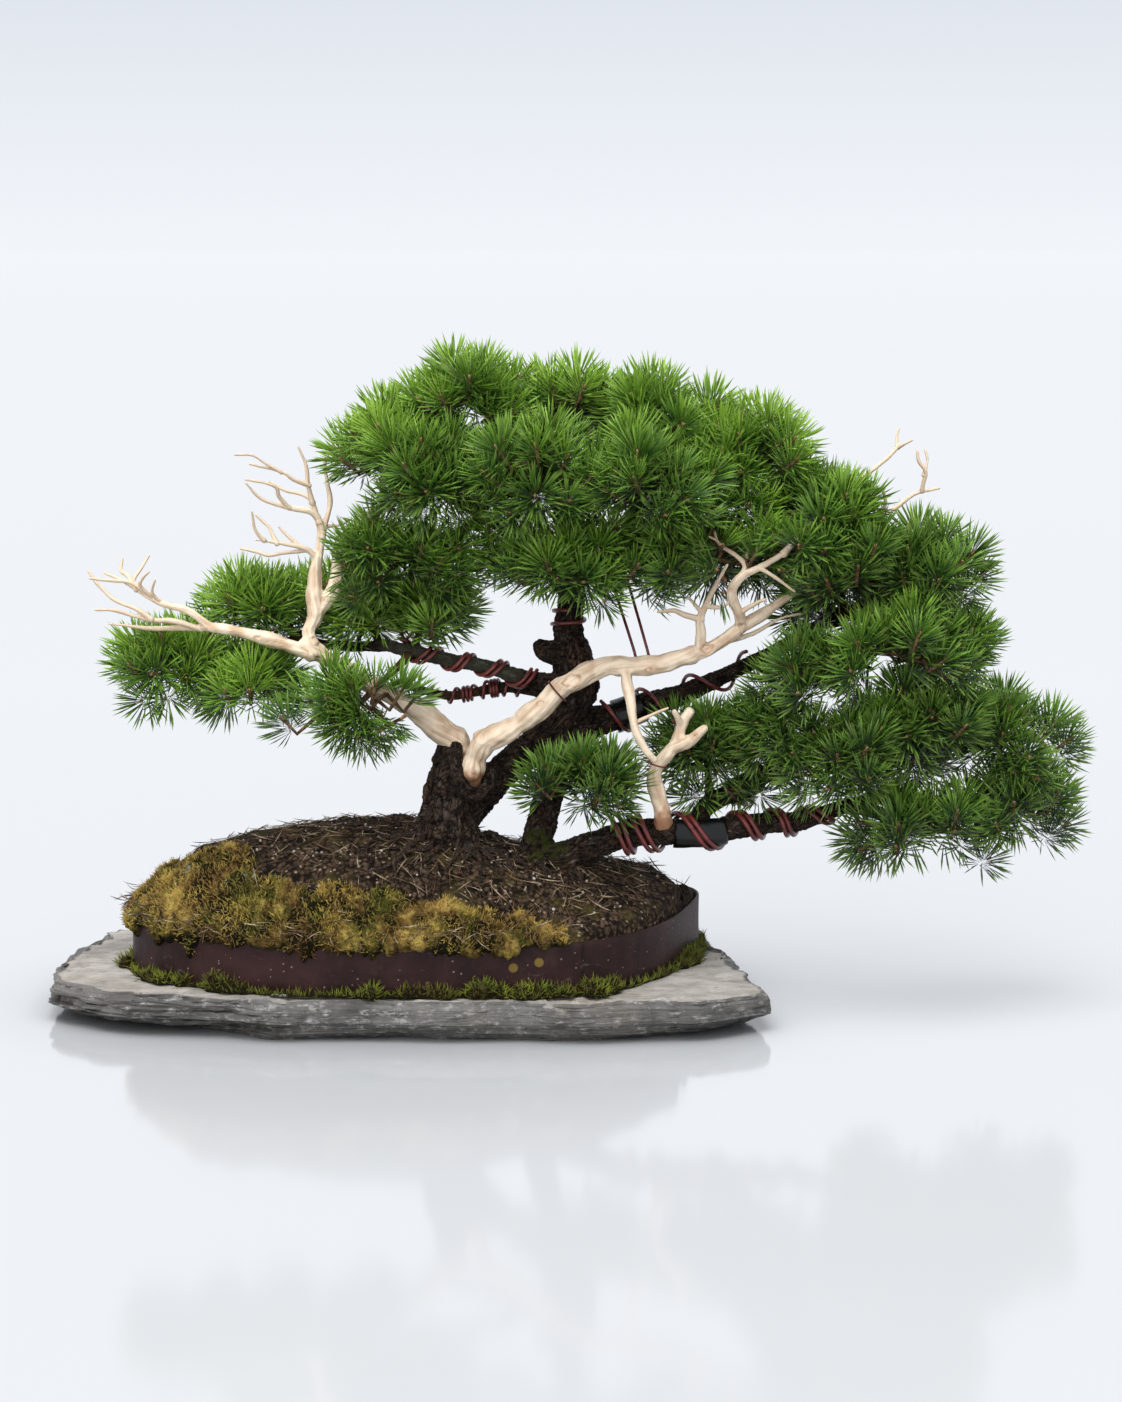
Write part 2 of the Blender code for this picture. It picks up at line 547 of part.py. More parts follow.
def along(limb, place):
    """Point, radius and the ways to the front and the top, at a place counted in points along a limb."""
    rows = WIRED_LIMBS[limb]
    i = min(int(place), len(rows) - 2)
    t = place - i
    a, b = rows[i], rows[i + 1]
    point = Vector(a[:3]).lerp(Vector(b[:3]), t)
    frame = frames([row[:3] for row in rows])
    tangent = frame[i][0].lerp(frame[i + 1][0], t).normalized()
    front = Vector((0, -1, 0))
    front = (front - tangent * front.dot(tangent)).normalized()
    top = front.cross(tangent)
    return point, a[3] + (b[3] - a[3]) * t, front, -top if top.z < 0 else top


def coil(limb, keys, steps=6):
    """Points of a wire wound round a limb.

    Each key is a place along the limb, the turns made there, 0 in front and a quarter above, and how far
    the wire's middle stands off the skin.
    """
    places, turns, stands = zip(*keys)
    order = [-t for t in turns]
    count = max(round(abs(turns[-1] - turns[0]) * steps), 2)
    route = []
    for k in range(count + 1):
        made = turns[0] + (turns[-1] - turns[0]) * k / count
        point, radius, front, top = along(limb, float(np.interp(-made, order, places)))
        reach = (radius + float(np.interp(-made, order, stands))) / math.cos(math.pi / steps)
        route.append(point + reach * (math.cos(math.tau * made) * front + math.sin(math.tau * made) * top))
    return route


def wire(name, route, radius, space):
    """A round training wire along its route."""
    radii = [radius] * len(route)
    space.add_route(name, route, radii)
    return new_object(name, *tube(route, radii, 4 if radius > 1.65 else 3), WIRE_COAT)


def doubled(limb, keys, apart):
    """One wire wound out along a limb and back beside itself."""
    beside = [(place + apart, turn, stand) for place, turn, stand in keys]
    return coil(limb, keys) + coil(limb, beside)[::-1]


def sleeve(name, limb, first, last, start, sweep, space):
    """A curved rubber pad between a limb and its wires."""
    steps, arc = 3, 6
    rings = []
    for k in range(steps + 1):
        point, radius, front, top = along(limb, first + (last - first) * k / steps)
        inner, outer = [], []
        for j in range(arc + 1):
            turn = start + sweep * j / arc
            ray = math.cos(turn) * front + math.sin(turn) * top
            inner.append(point + ray * (radius + 1.0))
            outer.append(point + ray * (radius + 2.6))
        rings.append(inner + list(reversed(outer)))
        if k:
            space.add(name, previous, point, (radius + 2.8, radius + 2.8))
        previous = point
    return new_object(name, *lofted(rings, closed=False), RUBBER)


def tie(name, centre, axis, radius, thick, space):
    """A small closed ring of wire."""
    space.add(name, centre, centre, (radius + 2 * thick, radius + 2 * thick))
    axis = Vector(axis).normalized()
    side = axis.orthogonal().normalized()
    up = axis.cross(side)
    rings = []
    for k in range(12):
        ray = math.cos(math.tau * k / 12) * side + math.sin(math.tau * k / 12) * up
        middle = Vector(centre) + ray * radius
        rings.append([middle + thick * (math.cos(t) * ray + math.sin(t) * axis)
                      for t in (0, math.pi / 2, math.pi, 3 * math.pi / 2)])
    return new_object(name, *lofted(rings, closed=True), WIRE_COAT)


def bud_shape():
    """A bud of unit radius in three-sided faces: the first faces -Z, five meet at its +Z end."""
    work = bmesh.new()
    for count, height, radius in ((3, -0.8, 0.6), (5, 0.05, 1.0), (1, 1.0, 0.0)):
        for k in range(count):
            turn = math.tau * k / count
            work.verts.new((radius * math.cos(turn), radius * math.sin(turn), height))
    bmesh.ops.convex_hull(work, input=work.verts)
    work.verts.index_update()
    points = [v.co.copy() for v in work.verts]
    faces = sorted((tuple(v.index for v in f.verts) for f in work.faces),
                   key=lambda f: sum(points[i].z for i in f))
    work.free()
    return points, faces


def needle_ways(way, roll):
    """Directions and lengths to try for one needle, the best first."""
    side = way.orthogonal().normalized()
    side.rotate(Matrix.Rotation(roll, 3, way))
    yield way, 1.0
    for angle in (0.2, 0.36):
        for quarter in range(4):
            axis = side.copy()
            axis.rotate(Matrix.Rotation(quarter * math.pi / 2, 3, way))
            turned = way.copy()
            turned.rotate(Matrix.Rotation(angle, 3, axis))
            yield turned, 1.0
    yield way, 0.72
    yield way, 0.48


def tuft(joint, centre, axis, chance, space, made):
    """A twig from joint that ends in a bud, with the bud's faces drawn out into clear needles."""
    spin = Vector((0, 0, 1)).rotation_difference(axis).to_matrix()
    spin = spin @ Matrix.Rotation(chance.uniform(0, math.tau), 3, "Z")
    shape, faces = bud_shape()
    points = [centre + spin @ (p * BUD_RADIUS) for p in shape]
    back = faces[0]
    root = len(points)
    foot = sum((points[i] for i in back), Vector()) / 3
    points += [joint + (points[i] - foot).normalized() * TWIG_RADIUS for i in back]
    result = [(root + 2, root + 1, root)]
    result += [(back[k], back[(k + 1) % 3], root + (k + 1) % 3, root + k) for k in range(3)]
    for face in faces[1:]:
        middle = sum((points[i] for i in face), Vector()) / 3
        normal = (middle - centre).normalized()
        length = NEEDLE_LENGTH * chance.uniform(0.84, 1.04)
        roll = chance.uniform(0, math.tau)
        way = (normal + axis * NEEDLE_SPREAD + Vector((0, 0, NEEDLE_LIFT))).normalized()
        tip = None
        for turned, share in needle_ways(way, roll):
            start, end = middle + turned * NEEDLE_ROOT, middle + turned * length * share
            if min(space.room(start, end, NEEDLE_RADII), made.room(start, end, NEEDLE_RADII)) > GAP:
                tip = end
                break
        if tip is None:
            result.append(face)
            continue
        made.add("needle", start, tip, NEEDLE_RADII)
        points.append(tip)
        result += [(face[k], face[(k + 1) % 3], len(points) - 1) for k in range(3)]
    return points, result


def tuft_places(centre, radii, count, chance):
    """Places and directions over the outside of a spray, fewer below."""
    golden = math.pi * (3 - math.sqrt(5))
    turn = chance.uniform(0, math.tau)
    for k in range(count):
        height = 1 - (k + 0.5) * 1.55 / count
        ring = math.sqrt(max(1 - height * height, 0))
        ray = Vector((ring * math.cos(turn + golden * k), ring * math.sin(turn + golden * k), height))
        place = Vector(centre) + Vector([r * c for r, c in zip(radii, ray)])
        way = Vector([c / r for r, c in zip(radii, ray)]).normalized()
        yield place, (way + Vector((0, 0, 0.35))).normalized()


def spray_stem(name, space):
    """The stem of a spray, which starts at the end of its shoot and goes on through its centre."""
    shoot = shoot_route(name)
    centre = Vector(SPRAYS[name][2])
    heading = (shoot[1] - shoot[0]).normalized()
    start = shoot[1] + heading * GAP
    space.settle()
    for beyond in (0.35, 0.15, 0.0, -0.2, -0.4):
        end = centre + (centre - start) * beyond
        if space.room(start + heading * 6, end, STEM_RADII) > GAP:
            break
    else:
        print(f"{name}: the stem is not clear")
    space.add(name, start + heading, end, STEM_RADII)
    return start, end


def tuft_spot(place, way, joint, space, made):
    """A clear spot for a tuft at its place or close by, or None."""
    for shift in (Vector(), Vector((0, 0, 8)), way * 7, Vector((0, -8, 0)), Vector((0, 8, 0)), way * -9,
                  Vector((8, 0, -4)), Vector((-8, 0, -4)), Vector((0, -12, 10)), Vector((0, 12, 10)),
                  Vector((12, 0, 8)), Vector((-12, 0, 8))):
        spot = place + shift
        inner = joint + (spot - joint).normalized() * 4
        outer = joint.lerp(spot, 0.6)
        if min(space.room(inner, spot, TUFT_RADII), made.room(outer, spot, TUFT_RADII)) > GAP:
            return spot
    return None


def spray(name, stem, space, chance):
    """One leafy shoot: a stem and its tufts on their twigs, fused."""
    _, _, centre, radii, count = SPRAYS[name]
    start, end = stem
    pieces = [tube([start, end], STEM_RADII, 3)]
    made = Space()
    space.settle(skip=name)
    for place, way in tuft_places(centre, radii, count, chance):
        along_stem = (place - start).dot(end - start) / (end - start).length_squared
        joint = start.lerp(end, max(0.12, min(1.0, along_stem - 0.25)))
        spot = tuft_spot(place, way, joint, space, made)
        if spot is None:
            print(f"{name}: no room for the tuft at {tuple(round(c) for c in place)}")
            continue
        lean = (way + (spot - joint).normalized() * 0.6).normalized()
        pieces.append(tuft(joint, spot, lean, chance, space, made))
        made.add("twig", joint.lerp(spot, 0.3), spot, (TWIG_RADIUS, BUD_RADIUS))
        made.settle()
    space.rows += made.rows
    space.owners += [name] * len(made.rows)
    return fused("spray_" + name, pieces, NEEDLES)


def main():
    for old in list(bpy.data.objects):
        bpy.data.objects.remove(old)
    slab()
    edging_strip()
    soil()
    mound_moss()
    foot_moss()
    live_wood()
    seat = [limb_tube("left_trunk", GAP), limb_tube("live_trunk", GAP)]
    dead_wood("deadwood_left", DEAD_LEFT, seat)
    dead_wood("deadwood_right", DEAD_RIGHT, seat)
    dead_wood("deadwood_stub", DEAD_STUB, [limb_tube("low_branch", GAP)])
    space = Space()
    for name, rows in LIVE_LIMBS.items():
        space.add_route(name, [row[:3] for row in rows], [row[3] for row in rows])
    for name in SPRAYS:
        space.add_route("shoot", shoot_route(name), SHOOT_RADII)
    for limbs in (DEAD_LEFT, DEAD_RIGHT, DEAD_STUB):
        for route, start, end in limbs:
            space.add_route("deadwood", route, tapered(route, start, end))
    wires(space)
    chance = random.Random(SEED)
    stems = {name: spray_stem(name, space) for name in SPRAYS}
    for name in SPRAYS:
        spray(name, stems[name], space, chance)


def guy(name, limb, place, foot, radius, space):
    """A thin guy wire tied round a live limb and hooked behind the dead limb below it."""
    stand = radius + GAP
    round_limb = coil(limb, [(place, 0.75, stand), (place + 0.04, -0.2, stand)])
    hook = coil("dead_right", [(foot, 0.58, stand), (foot, 0.25, stand)])
    wire(name, round_limb + hook[::-1], radius, space)


def wires(space):
    """Training wires, their rubber pads, the ties and the guy wires."""
    sleeve("rubber_pad_low", "low_branch", 4.3, 5.7, -1.3, 2.4, space)
    sleeve("rubber_pad_rising", "rising_branch", 1.55, 2.4, -1.7, 3.8, space)
    sleeve("rubber_pad_rising_end", "rising_branch", 2.7, 3.5, -1.7, 3.8, space)
    sleeve("rubber_pad_upper", "upper_right", 1.8, 2.8, -1.7, 3.8, space)
    low = [(2.75, 0.3, 5.2), (3.3, -0.9, 5.2), (4.45, -1.8, 5.2), (5.7, -2.45, 5.2), (6.1, -2.8, 2.6),
           (8.6, -5.2, 2.6)]
    wire("wire_low_double", doubled("low_branch", low, 0.19), 2.0, space)
    rising = [(1.55, 0.1, 5.2), (3.8, -2.4, 5.2)]
    wire("wire_rising_double", doubled("rising_branch", rising, 0.17), 1.9, space)
    wire("wire_upper_right", coil("upper_right", [(1.5, 0.2, 4.8), (5.8, -2.8, 4.8)]), 1.6, space)
    wire("wire_left_upper", doubled("left_upper", [(0.75, 0.2, 2.1), (4.3, -3.8, 2.1)], 0.16), 1.6, space)
    wire("wire_left_lower", coil("left_lower", [(0.9, 0.1, 1.9), (4.2, -4.9, 1.9)]), 1.4, space)
    wire("wire_trunk", coil("live_trunk", [(7.2, 0.3, 2.4), (7.7, -1.0, 2.4)]), 1.7, space)
    guy("guy_wire_a", "canopy_right", 0.5, 7.9, 1.2, space)
    guy("guy_wire_b", "canopy_right", 0.78, 8.4, 1.2, space)
    tie("tie_wire_limb", (118, -28, 257.3), (0.75, 0, 0.66), 10.0, 0.8, space)
    tie("tie_wire_stub", (197, -29, 199), (0.3, 0, 1.0), 8.2, 0.7, space)


SLATE = material("slate", (0.20, 0.20, 0.205), 0.75)
STRIP = material("edging_strip", (0.07, 0.042, 0.045), 0.6)
SOIL = material("soil", (0.075, 0.05, 0.033), 0.95)
MOSS = material("moss", (0.17, 0.16, 0.03), 0.95)
BARK = material("bark", (0.075, 0.058, 0.045), 0.9)
DEADWOOD = material("deadwood", (0.72, 0.58, 0.42), 0.65)
WIRE_COAT = material("training_wire", (0.17, 0.05, 0.048), 0.4, 0.2)
RUBBER = material("rubber_pad", (0.02, 0.022, 0.024), 0.45)
NEEDLES = material("pine_needles", (0.07, 0.19, 0.03), 0.5)

main()
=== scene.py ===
"""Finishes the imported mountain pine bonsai: bark, bare wood, needles, soil, moss, slate and wires.

Metres, +Z up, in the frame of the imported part. Distances in the tables are in millimetres.
"""

import itertools
import math
import random

import bmesh
import bpy
import numpy as np
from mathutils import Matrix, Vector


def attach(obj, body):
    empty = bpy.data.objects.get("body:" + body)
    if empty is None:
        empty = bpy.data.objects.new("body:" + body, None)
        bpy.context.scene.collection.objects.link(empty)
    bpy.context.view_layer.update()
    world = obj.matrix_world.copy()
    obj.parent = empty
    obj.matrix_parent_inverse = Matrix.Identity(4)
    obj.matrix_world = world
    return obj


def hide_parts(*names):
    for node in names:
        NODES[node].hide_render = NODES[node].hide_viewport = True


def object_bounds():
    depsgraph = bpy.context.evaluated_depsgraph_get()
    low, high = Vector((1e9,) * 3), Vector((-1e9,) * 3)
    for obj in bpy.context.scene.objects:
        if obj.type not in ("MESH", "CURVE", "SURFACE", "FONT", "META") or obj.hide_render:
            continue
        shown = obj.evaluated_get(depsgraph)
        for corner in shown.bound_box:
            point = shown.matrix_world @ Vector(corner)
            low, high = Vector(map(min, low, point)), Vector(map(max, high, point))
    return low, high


bl_info = {
    "name": "Mountain Pine Bonsai",
    "version": (1, 0, 0),
    "blender": (4, 5, 0),
    "location": "View3D > Sidebar > Bonsai",
    "description": "Finishes a packed mountain pine bonsai on its slate slab",
    "category": "Add Mesh",
}

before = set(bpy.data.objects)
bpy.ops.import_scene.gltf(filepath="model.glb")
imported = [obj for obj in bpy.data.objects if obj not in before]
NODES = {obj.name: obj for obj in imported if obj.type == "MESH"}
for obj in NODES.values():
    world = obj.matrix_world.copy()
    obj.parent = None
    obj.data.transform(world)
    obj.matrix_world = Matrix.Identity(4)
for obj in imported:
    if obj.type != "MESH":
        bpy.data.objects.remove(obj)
CAD_BOX = [[float(c) for c in corner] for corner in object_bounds()]
MM = 0.001
GAP = 0.4
SLAB_TOP = 30.0
SLAB_FLAT = (20.0, 110.0)
BAND_TOP = 72.0
BAND_THICK = 2.0
SOIL_EDGE = 73.5
RING_STEPS = 36
CAMERA_PLACE, CAMERA_TILT, CAMERA_LENS = (0.121, -2.6, 0.611), math.radians(82), 84.2
# Lamps: name, turns in degrees, strength as a share of the main one's, and the angle that the light spreads over.
LAMPS = (("main_light", (16, 0, -32), 1.0, 40), ("front_light", (58, 0, -18), 0.8, 60),
         ("side_light", (62, 0, 50), 0.15, 60))
# How much darker the upper background is than the horizon.
UPPER_AIR = (0.81, 0.83, 0.86)

# Outline of the slate seen from above, anticlockwise from the front left corner.
SLAB_OUTLINE = [
    (-284, -66), (-252, -96), (-214, -116), (-160, -128), (-102, -141), (-40, -136), (30, -142),
    (90, -140), (140, -148), (190, -141), (232, -136), (286, -104), (282, -60), (268, 20), (252, 96),
    (244, 150), (190, 160), (120, 154), (40, 168), (-60, 160), (-140, 166), (-210, 152), (-262, 152),
    (-280, 130), (-286, 60), (-292, 0),
]
# Outline of the edging strip's outer face, anticlockwise from the lapped seam at the front.
RING_OUTLINE = [
    (138, -105), (167, -85), (191, -55), (210, -16), (226, 35), (236, 85), (226, 118), (180, 132),
    (90, 140), (0, 140), (-90, 134), (-160, 116), (-205, 82), (-226, 38), (-223, -12), (-206, -44),
    (-179, -70), (-140, -92), (-81, -109), (-19, -114), (35, -113), (89, -110),
]
# Height of the mound's ridge along X.
RIDGE = [
    (-232, 80), (-200, 103), (-172, 124), (-131, 136), (-58, 147), (0, 148), (32, 141), (104, 122),
    (152, 114), (194, 103), (226, 89), (242, 80),
]

# Each limb is a list of (x, y, z, radius), from its root outwards.
LIVE_LIMBS = {
    "left_trunk": [(24, -8, 112, 36), (27, -5, 132, 30), (29, -3, 152, 23), (32, -1, 175, 20),
                   (36, 0, 194, 17), (38, 1, 203, 14)],
    "live_trunk": [(38, 4, 150, 18), (61, 9, 174, 15), (81, 14, 192, 14), (108, 17, 213, 16),
                   (126, 18, 238, 17), (134, 18, 256, 18), (131, 16, 277, 17), (127, 16, 300, 12),
                   (129, 17, 326, 11), (133, 20, 357, 9), (128, 22, 392, 7)],
    "middle_stem": [(98, 2, 106, 17), (102, 4, 132, 13), (109, 7, 159, 12), (117, 12, 188, 12),
                    (125, 15, 214, 13)],
    "knob_upper": [(124, 12, 281, 11), (108, 4, 286, 9), (103, 2, 291, 6)],
    "knob_lower": [(125, 8, 254, 11), (112, 0, 260, 9), (107, -3, 263, 6)],
    "low_branch": [(104, -8, 110, 20), (125, -8, 119, 15), (146, -8, 129, 12), (172, -8, 138, 11),
                   (202, -8, 141, 11), (233, -6, 140, 10), (261, -2, 143, 10), (289, 2, 146, 9),
                   (314, 6, 147, 8), (348, 8, 158, 6), (384, 10, 168, 5)],
    "rising_branch": [(226, -3, 142, 8), (240, 8, 160, 8), (269, 12, 174, 8), (299, 12, 192, 7),
                      (329, 12, 212, 6), (352, 12, 232, 5)],
    "left_upper": [(122, 14, 257, 8), (92, 8, 263, 7), (63, 0, 273, 6), (34, -6, 279, 6),
                   (3, -12, 287, 6), (-24, -8, 293, 5)],
    "left_lower": [(114, 16, 250, 6), (88, 22, 253, 5), (69, 24, 253, 5), (51, 26, 249, 4),
                   (31, 28, 246, 4), (11, 28, 250, 3.5), (-12, 22, 258, 3.5)],
    "upper_right": [(124, 20, 212, 15), (144, 26, 223, 13), (169, 30, 230, 11), (193, 32, 239, 10),
                    (221, 34, 247, 9), (252, 34, 261, 7), (282, 32, 276, 6), (314, 28, 294, 6),
                    (346, 24, 314, 5)],
    "canopy_left": [(129, 18, 330, 9), (98, 16, 366, 7), (62, 12, 392, 6), (30, 10, 410, 5)],
    "canopy_right": [(131, 18, 345, 9), (172, 20, 372, 7), (216, 18, 396, 6), (256, 14, 408, 5)],
    "canopy_top": [(128, 20, 380, 7), (112, 16, 420, 6), (92, 12, 446, 5)],
    "left_pad": [(-16, -9, 291, 5), (-48, 14, 288, 4.5), (-84, 20, 290, 4), (-112, 18, 292, 3.5)],
}

# Dead wood: per body, its limbs as (points, root radius, tip radius).
DEAD_LEFT = [
    ([(38, -3, 212), (18, -10, 230), (2, -15, 244), (-27, -20, 260), (-52, -24, 275), (-71, -26, 288),
      (-82, -26, 294)], 10, 6.5),
    ([(-74, -26, 287), (-101, -28, 296), (-118, -30, 301), (-140, -32, 306), (-160, -33, 310)], 6, 4),
    ([(-154, -33, 308), (-172, -36, 322), (-189, -38, 327), (-202, -38, 333), (-222, -34, 345),
      (-239, -30, 352)], 4, 1.2),
    ([(-154, -33, 309), (-181, -30, 308), (-204, -26, 307), (-223, -22, 309), (-238, -18, 310)], 3.4, 1),
    ([(-162, -32, 307), (-183, -37, 314), (-203, -42, 316), (-227, -50, 324), (-243, -54, 325)], 2.4, 0.9),
    ([(-201, -42, 316), (-211, -45, 324), (-229, -44, 332), (-241, -40, 342), (-250, -36, 354)], 2, 0.9),
    ([(-212, -37, 339), (-220, -30, 349), (-226, -26, 353), (-225, -22, 362)], 1.8, 0.9),
    ([(-199, -38, 332), (-216, -41, 345), (-231, -44, 347), (-247, -48, 349)], 1.8, 0.9),
    ([(-208, -36, 338), (-216, -27, 345), (-210, -22, 355), (-205, -16, 364)], 1.7, 0.8),
    ([(-199, -38, 332), (-208, -46, 343), (-205, -50, 350), (-200, -54, 355)], 1.6, 0.8),
    ([(-192, -38, 328), (-199, -44, 338), (-196, -49, 348)], 1.5, 0.8),
    ([(-76, -26, 286), (-79, -26, 304), (-73, -24, 318), (-74, -22, 332), (-73, -20, 349),
      (-71, -20, 364)], 7, 5),
    ([(-74, -24, 316), (-62, -20, 331), (-57, -12, 344), (-56, -4, 359), (-52, 2, 376), (-37, 6, 390),
      (-15, 8, 404), (5, 8, 411)], 6, 3),
    ([(-70, -20, 360), (-80, -24, 370), (-98, -30, 375), (-119, -36, 378)], 3, 1),
    ([(-71, -20, 360), (-69, -18, 373), (-68, -18, 384), (-74, -20, 398), (-94, -26, 403),
      (-114, -30, 410), (-126, -34, 423)], 4, 1),
    ([(-69, -18, 380), (-66, -14, 386), (-54, -10, 388), (-48, -8, 391)], 2, 0.9),
    ([(-112, -34, 377), (-118, -38, 386), (-121, -42, 401)], 1.5, 0.8),
    ([(-102, -31, 375), (-109, -27, 387), (-119, -24, 397)], 1.6, 0.8),
    ([(-84, -25, 371), (-94, -20, 379), (-102, -16, 387)], 1.6, 0.8),
    ([(-80, -23, 369), (-97, -22, 367), (-109, -18, 364), (-120, -14, 367), (-133, -10, 369)], 1.8, 0.8),
    ([(-92, -26, 402), (-100, -32, 412), (-104, -37, 421), (-125, -44, 426)], 1.8, 0.8),
    ([(-70, -19, 390), (-76, -21, 408), (-85, -18, 413), (-98, -14, 416), (-109, -10, 422)], 2.4, 0.8),
    ([(-75, -21, 406), (-78, -26, 423), (-79, -28, 437), (-85, -30, 451)], 2, 0.8),
    ([(-77, -25, 420), (-89, -32, 426), (-99, -36, 432), (-122, -40, 438)], 1.8, 0.8),
    ([(-97, -35, 431), (-109, -40, 438), (-120, -44, 445), (-133, -48, 446)], 1.3, 0.7),
    ([(-68, -17, 382), (-62, -10, 404), (-64, -6, 423), (-66, -4, 437), (-61, -4, 448),
      (-58, -4, 454)], 2.4, 0.8),
]
DEAD_RIGHT = [
    ([(51, -15, 192), (54, -20, 205), (62, -24, 219), (85, -26, 230), (104, -27, 244), (120, -28, 259),
      (140, -29, 270), (161, -30, 278), (182, -31, 278), (204, -32, 280), (225, -33, 287)], 10, 6.5),
    ([(221, -33, 285), (246, -34, 297), (265, -34, 310), (286, -28, 323), (306, -22, 336)], 6, 3.6),
    ([(305, -22, 335), (322, -14, 355), (341, -6, 371), (364, 0, 388), (387, 4, 400), (402, 6, 411),
      (422, 6, 416)], 3.6, 1.4),
    ([(230, -33, 288), (231, -38, 305), (231, -42, 319), (240, -44, 339), (251, -48, 360)], 5, 1.4),
    ([(231, -41, 316), (219, -44, 320), (208, -48, 324), (197, -52, 323)], 2.6, 1),
    ([(234, -43, 327), (247, -46, 326), (253, -48, 331)], 2, 0.9),
    ([(232, -42, 321), (225, -45, 329), (220, -47, 334)], 2, 0.9),
    ([(263, -34, 307), (261, -40, 319), (256, -46, 331), (255, -50, 342), (262, -54, 351),
      (277, -56, 359), (295, -56, 370)], 5, 2.6),
    ([(294, -56, 369), (313, -42, 388), (328, -26, 404), (343, -12, 417), (369, -6, 432),
      (389, -2, 450)], 2.6, 1.4),
    ([(261, -53, 350), (265, -50, 359), (258, -48, 367), (245, -46, 375), (241, -44, 385)], 2.6, 1),
    ([(248, -46, 373), (242, -51, 379), (237, -54, 382)], 1.5, 0.8),
    ([(265, -50, 357), (266, -45, 365), (267, -42, 373)], 1.8, 0.8),
    ([(260, -40, 320), (269, -46, 327), (281, -51, 333)], 2.4, 1),
    ([(276, -56, 358), (285, -61, 353), (303, -58, 340)], 1.6, 0.8),
    ([(244, -34, 296), (272, -27, 303), (293, -22, 314), (311, -18, 318)], 3, 1.2),
    ([(408, 6, 413), (410, 2, 429), (404, 0, 438), (403, 0, 446)], 1.8, 0.9),
    ([(409, 3, 426), (412, 6, 437), (410, 8, 446)], 1.3, 0.8),
    ([(374, 2, 393), (378, -4, 405), (375, -8, 418)], 1.8, 0.9),
    ([(387, -2, 448), (387, 2, 456), (389, 4, 463)], 1.3, 0.8),
    ([(387, -2, 448), (393, -8, 452), (398, -10, 455)], 1.3, 0.8),
    ([(172, -32, 274), (174, -47, 261), (177, -54, 244), (180, -56, 229), (188, -56, 214),
      (195, -54, 206)], 4.5, 3),
    ([(178, -55, 236), (191, -51, 241), (205, -48, 247)], 1.8, 0.9),
]
DEAD_STUB = [
    ([(203, -10, 143), (202, -23, 158), (197, -26, 179), (196, -28, 194), (206, -30, 207), (213, -30, 217),
      (217, -30, 231), (223, -30, 242)], 7.6, 4.2),
    ([(211, -30, 213), (223, -36, 219), (235, -42, 230)], 5.6, 3.4),
    ([(216, -30, 229), (213, -36, 237), (210, -39, 243)], 3.4, 2.4),
]
# Bark that has grown up round the ends of the bare limbs.
BARK_LIPS = [
    [(38, -14, 212, 5), (38, -20, 200, 6), (39, -22, 188, 6.5), (43, -22, 178, 6.5), (52, -20, 172, 6.5),
     (62, -16, 178, 6), (66, -12, 190, 5)],
    [(24, -2, 196, 8), (28, -8, 208, 7), (32, -10, 218, 5)],
    [(196, -14, 146, 5), (203, -19, 143, 5), (211, -14, 147, 5)],
]
# Where the two bare limbs run down into the trunk.
DEAD_ROOTS = {
    "deadwood_left": [([(40, 2, 186), (39, 0, 200), (36, -4, 214), (18, -10, 230), (2, -15, 244)], 11.5, 9.6)],
    "deadwood_right": [([(50, 2, 172), (50, -8, 182), (51, -15, 191), (54, -20, 204), (60, -24, 219)], 6.6, 9.4)],
}

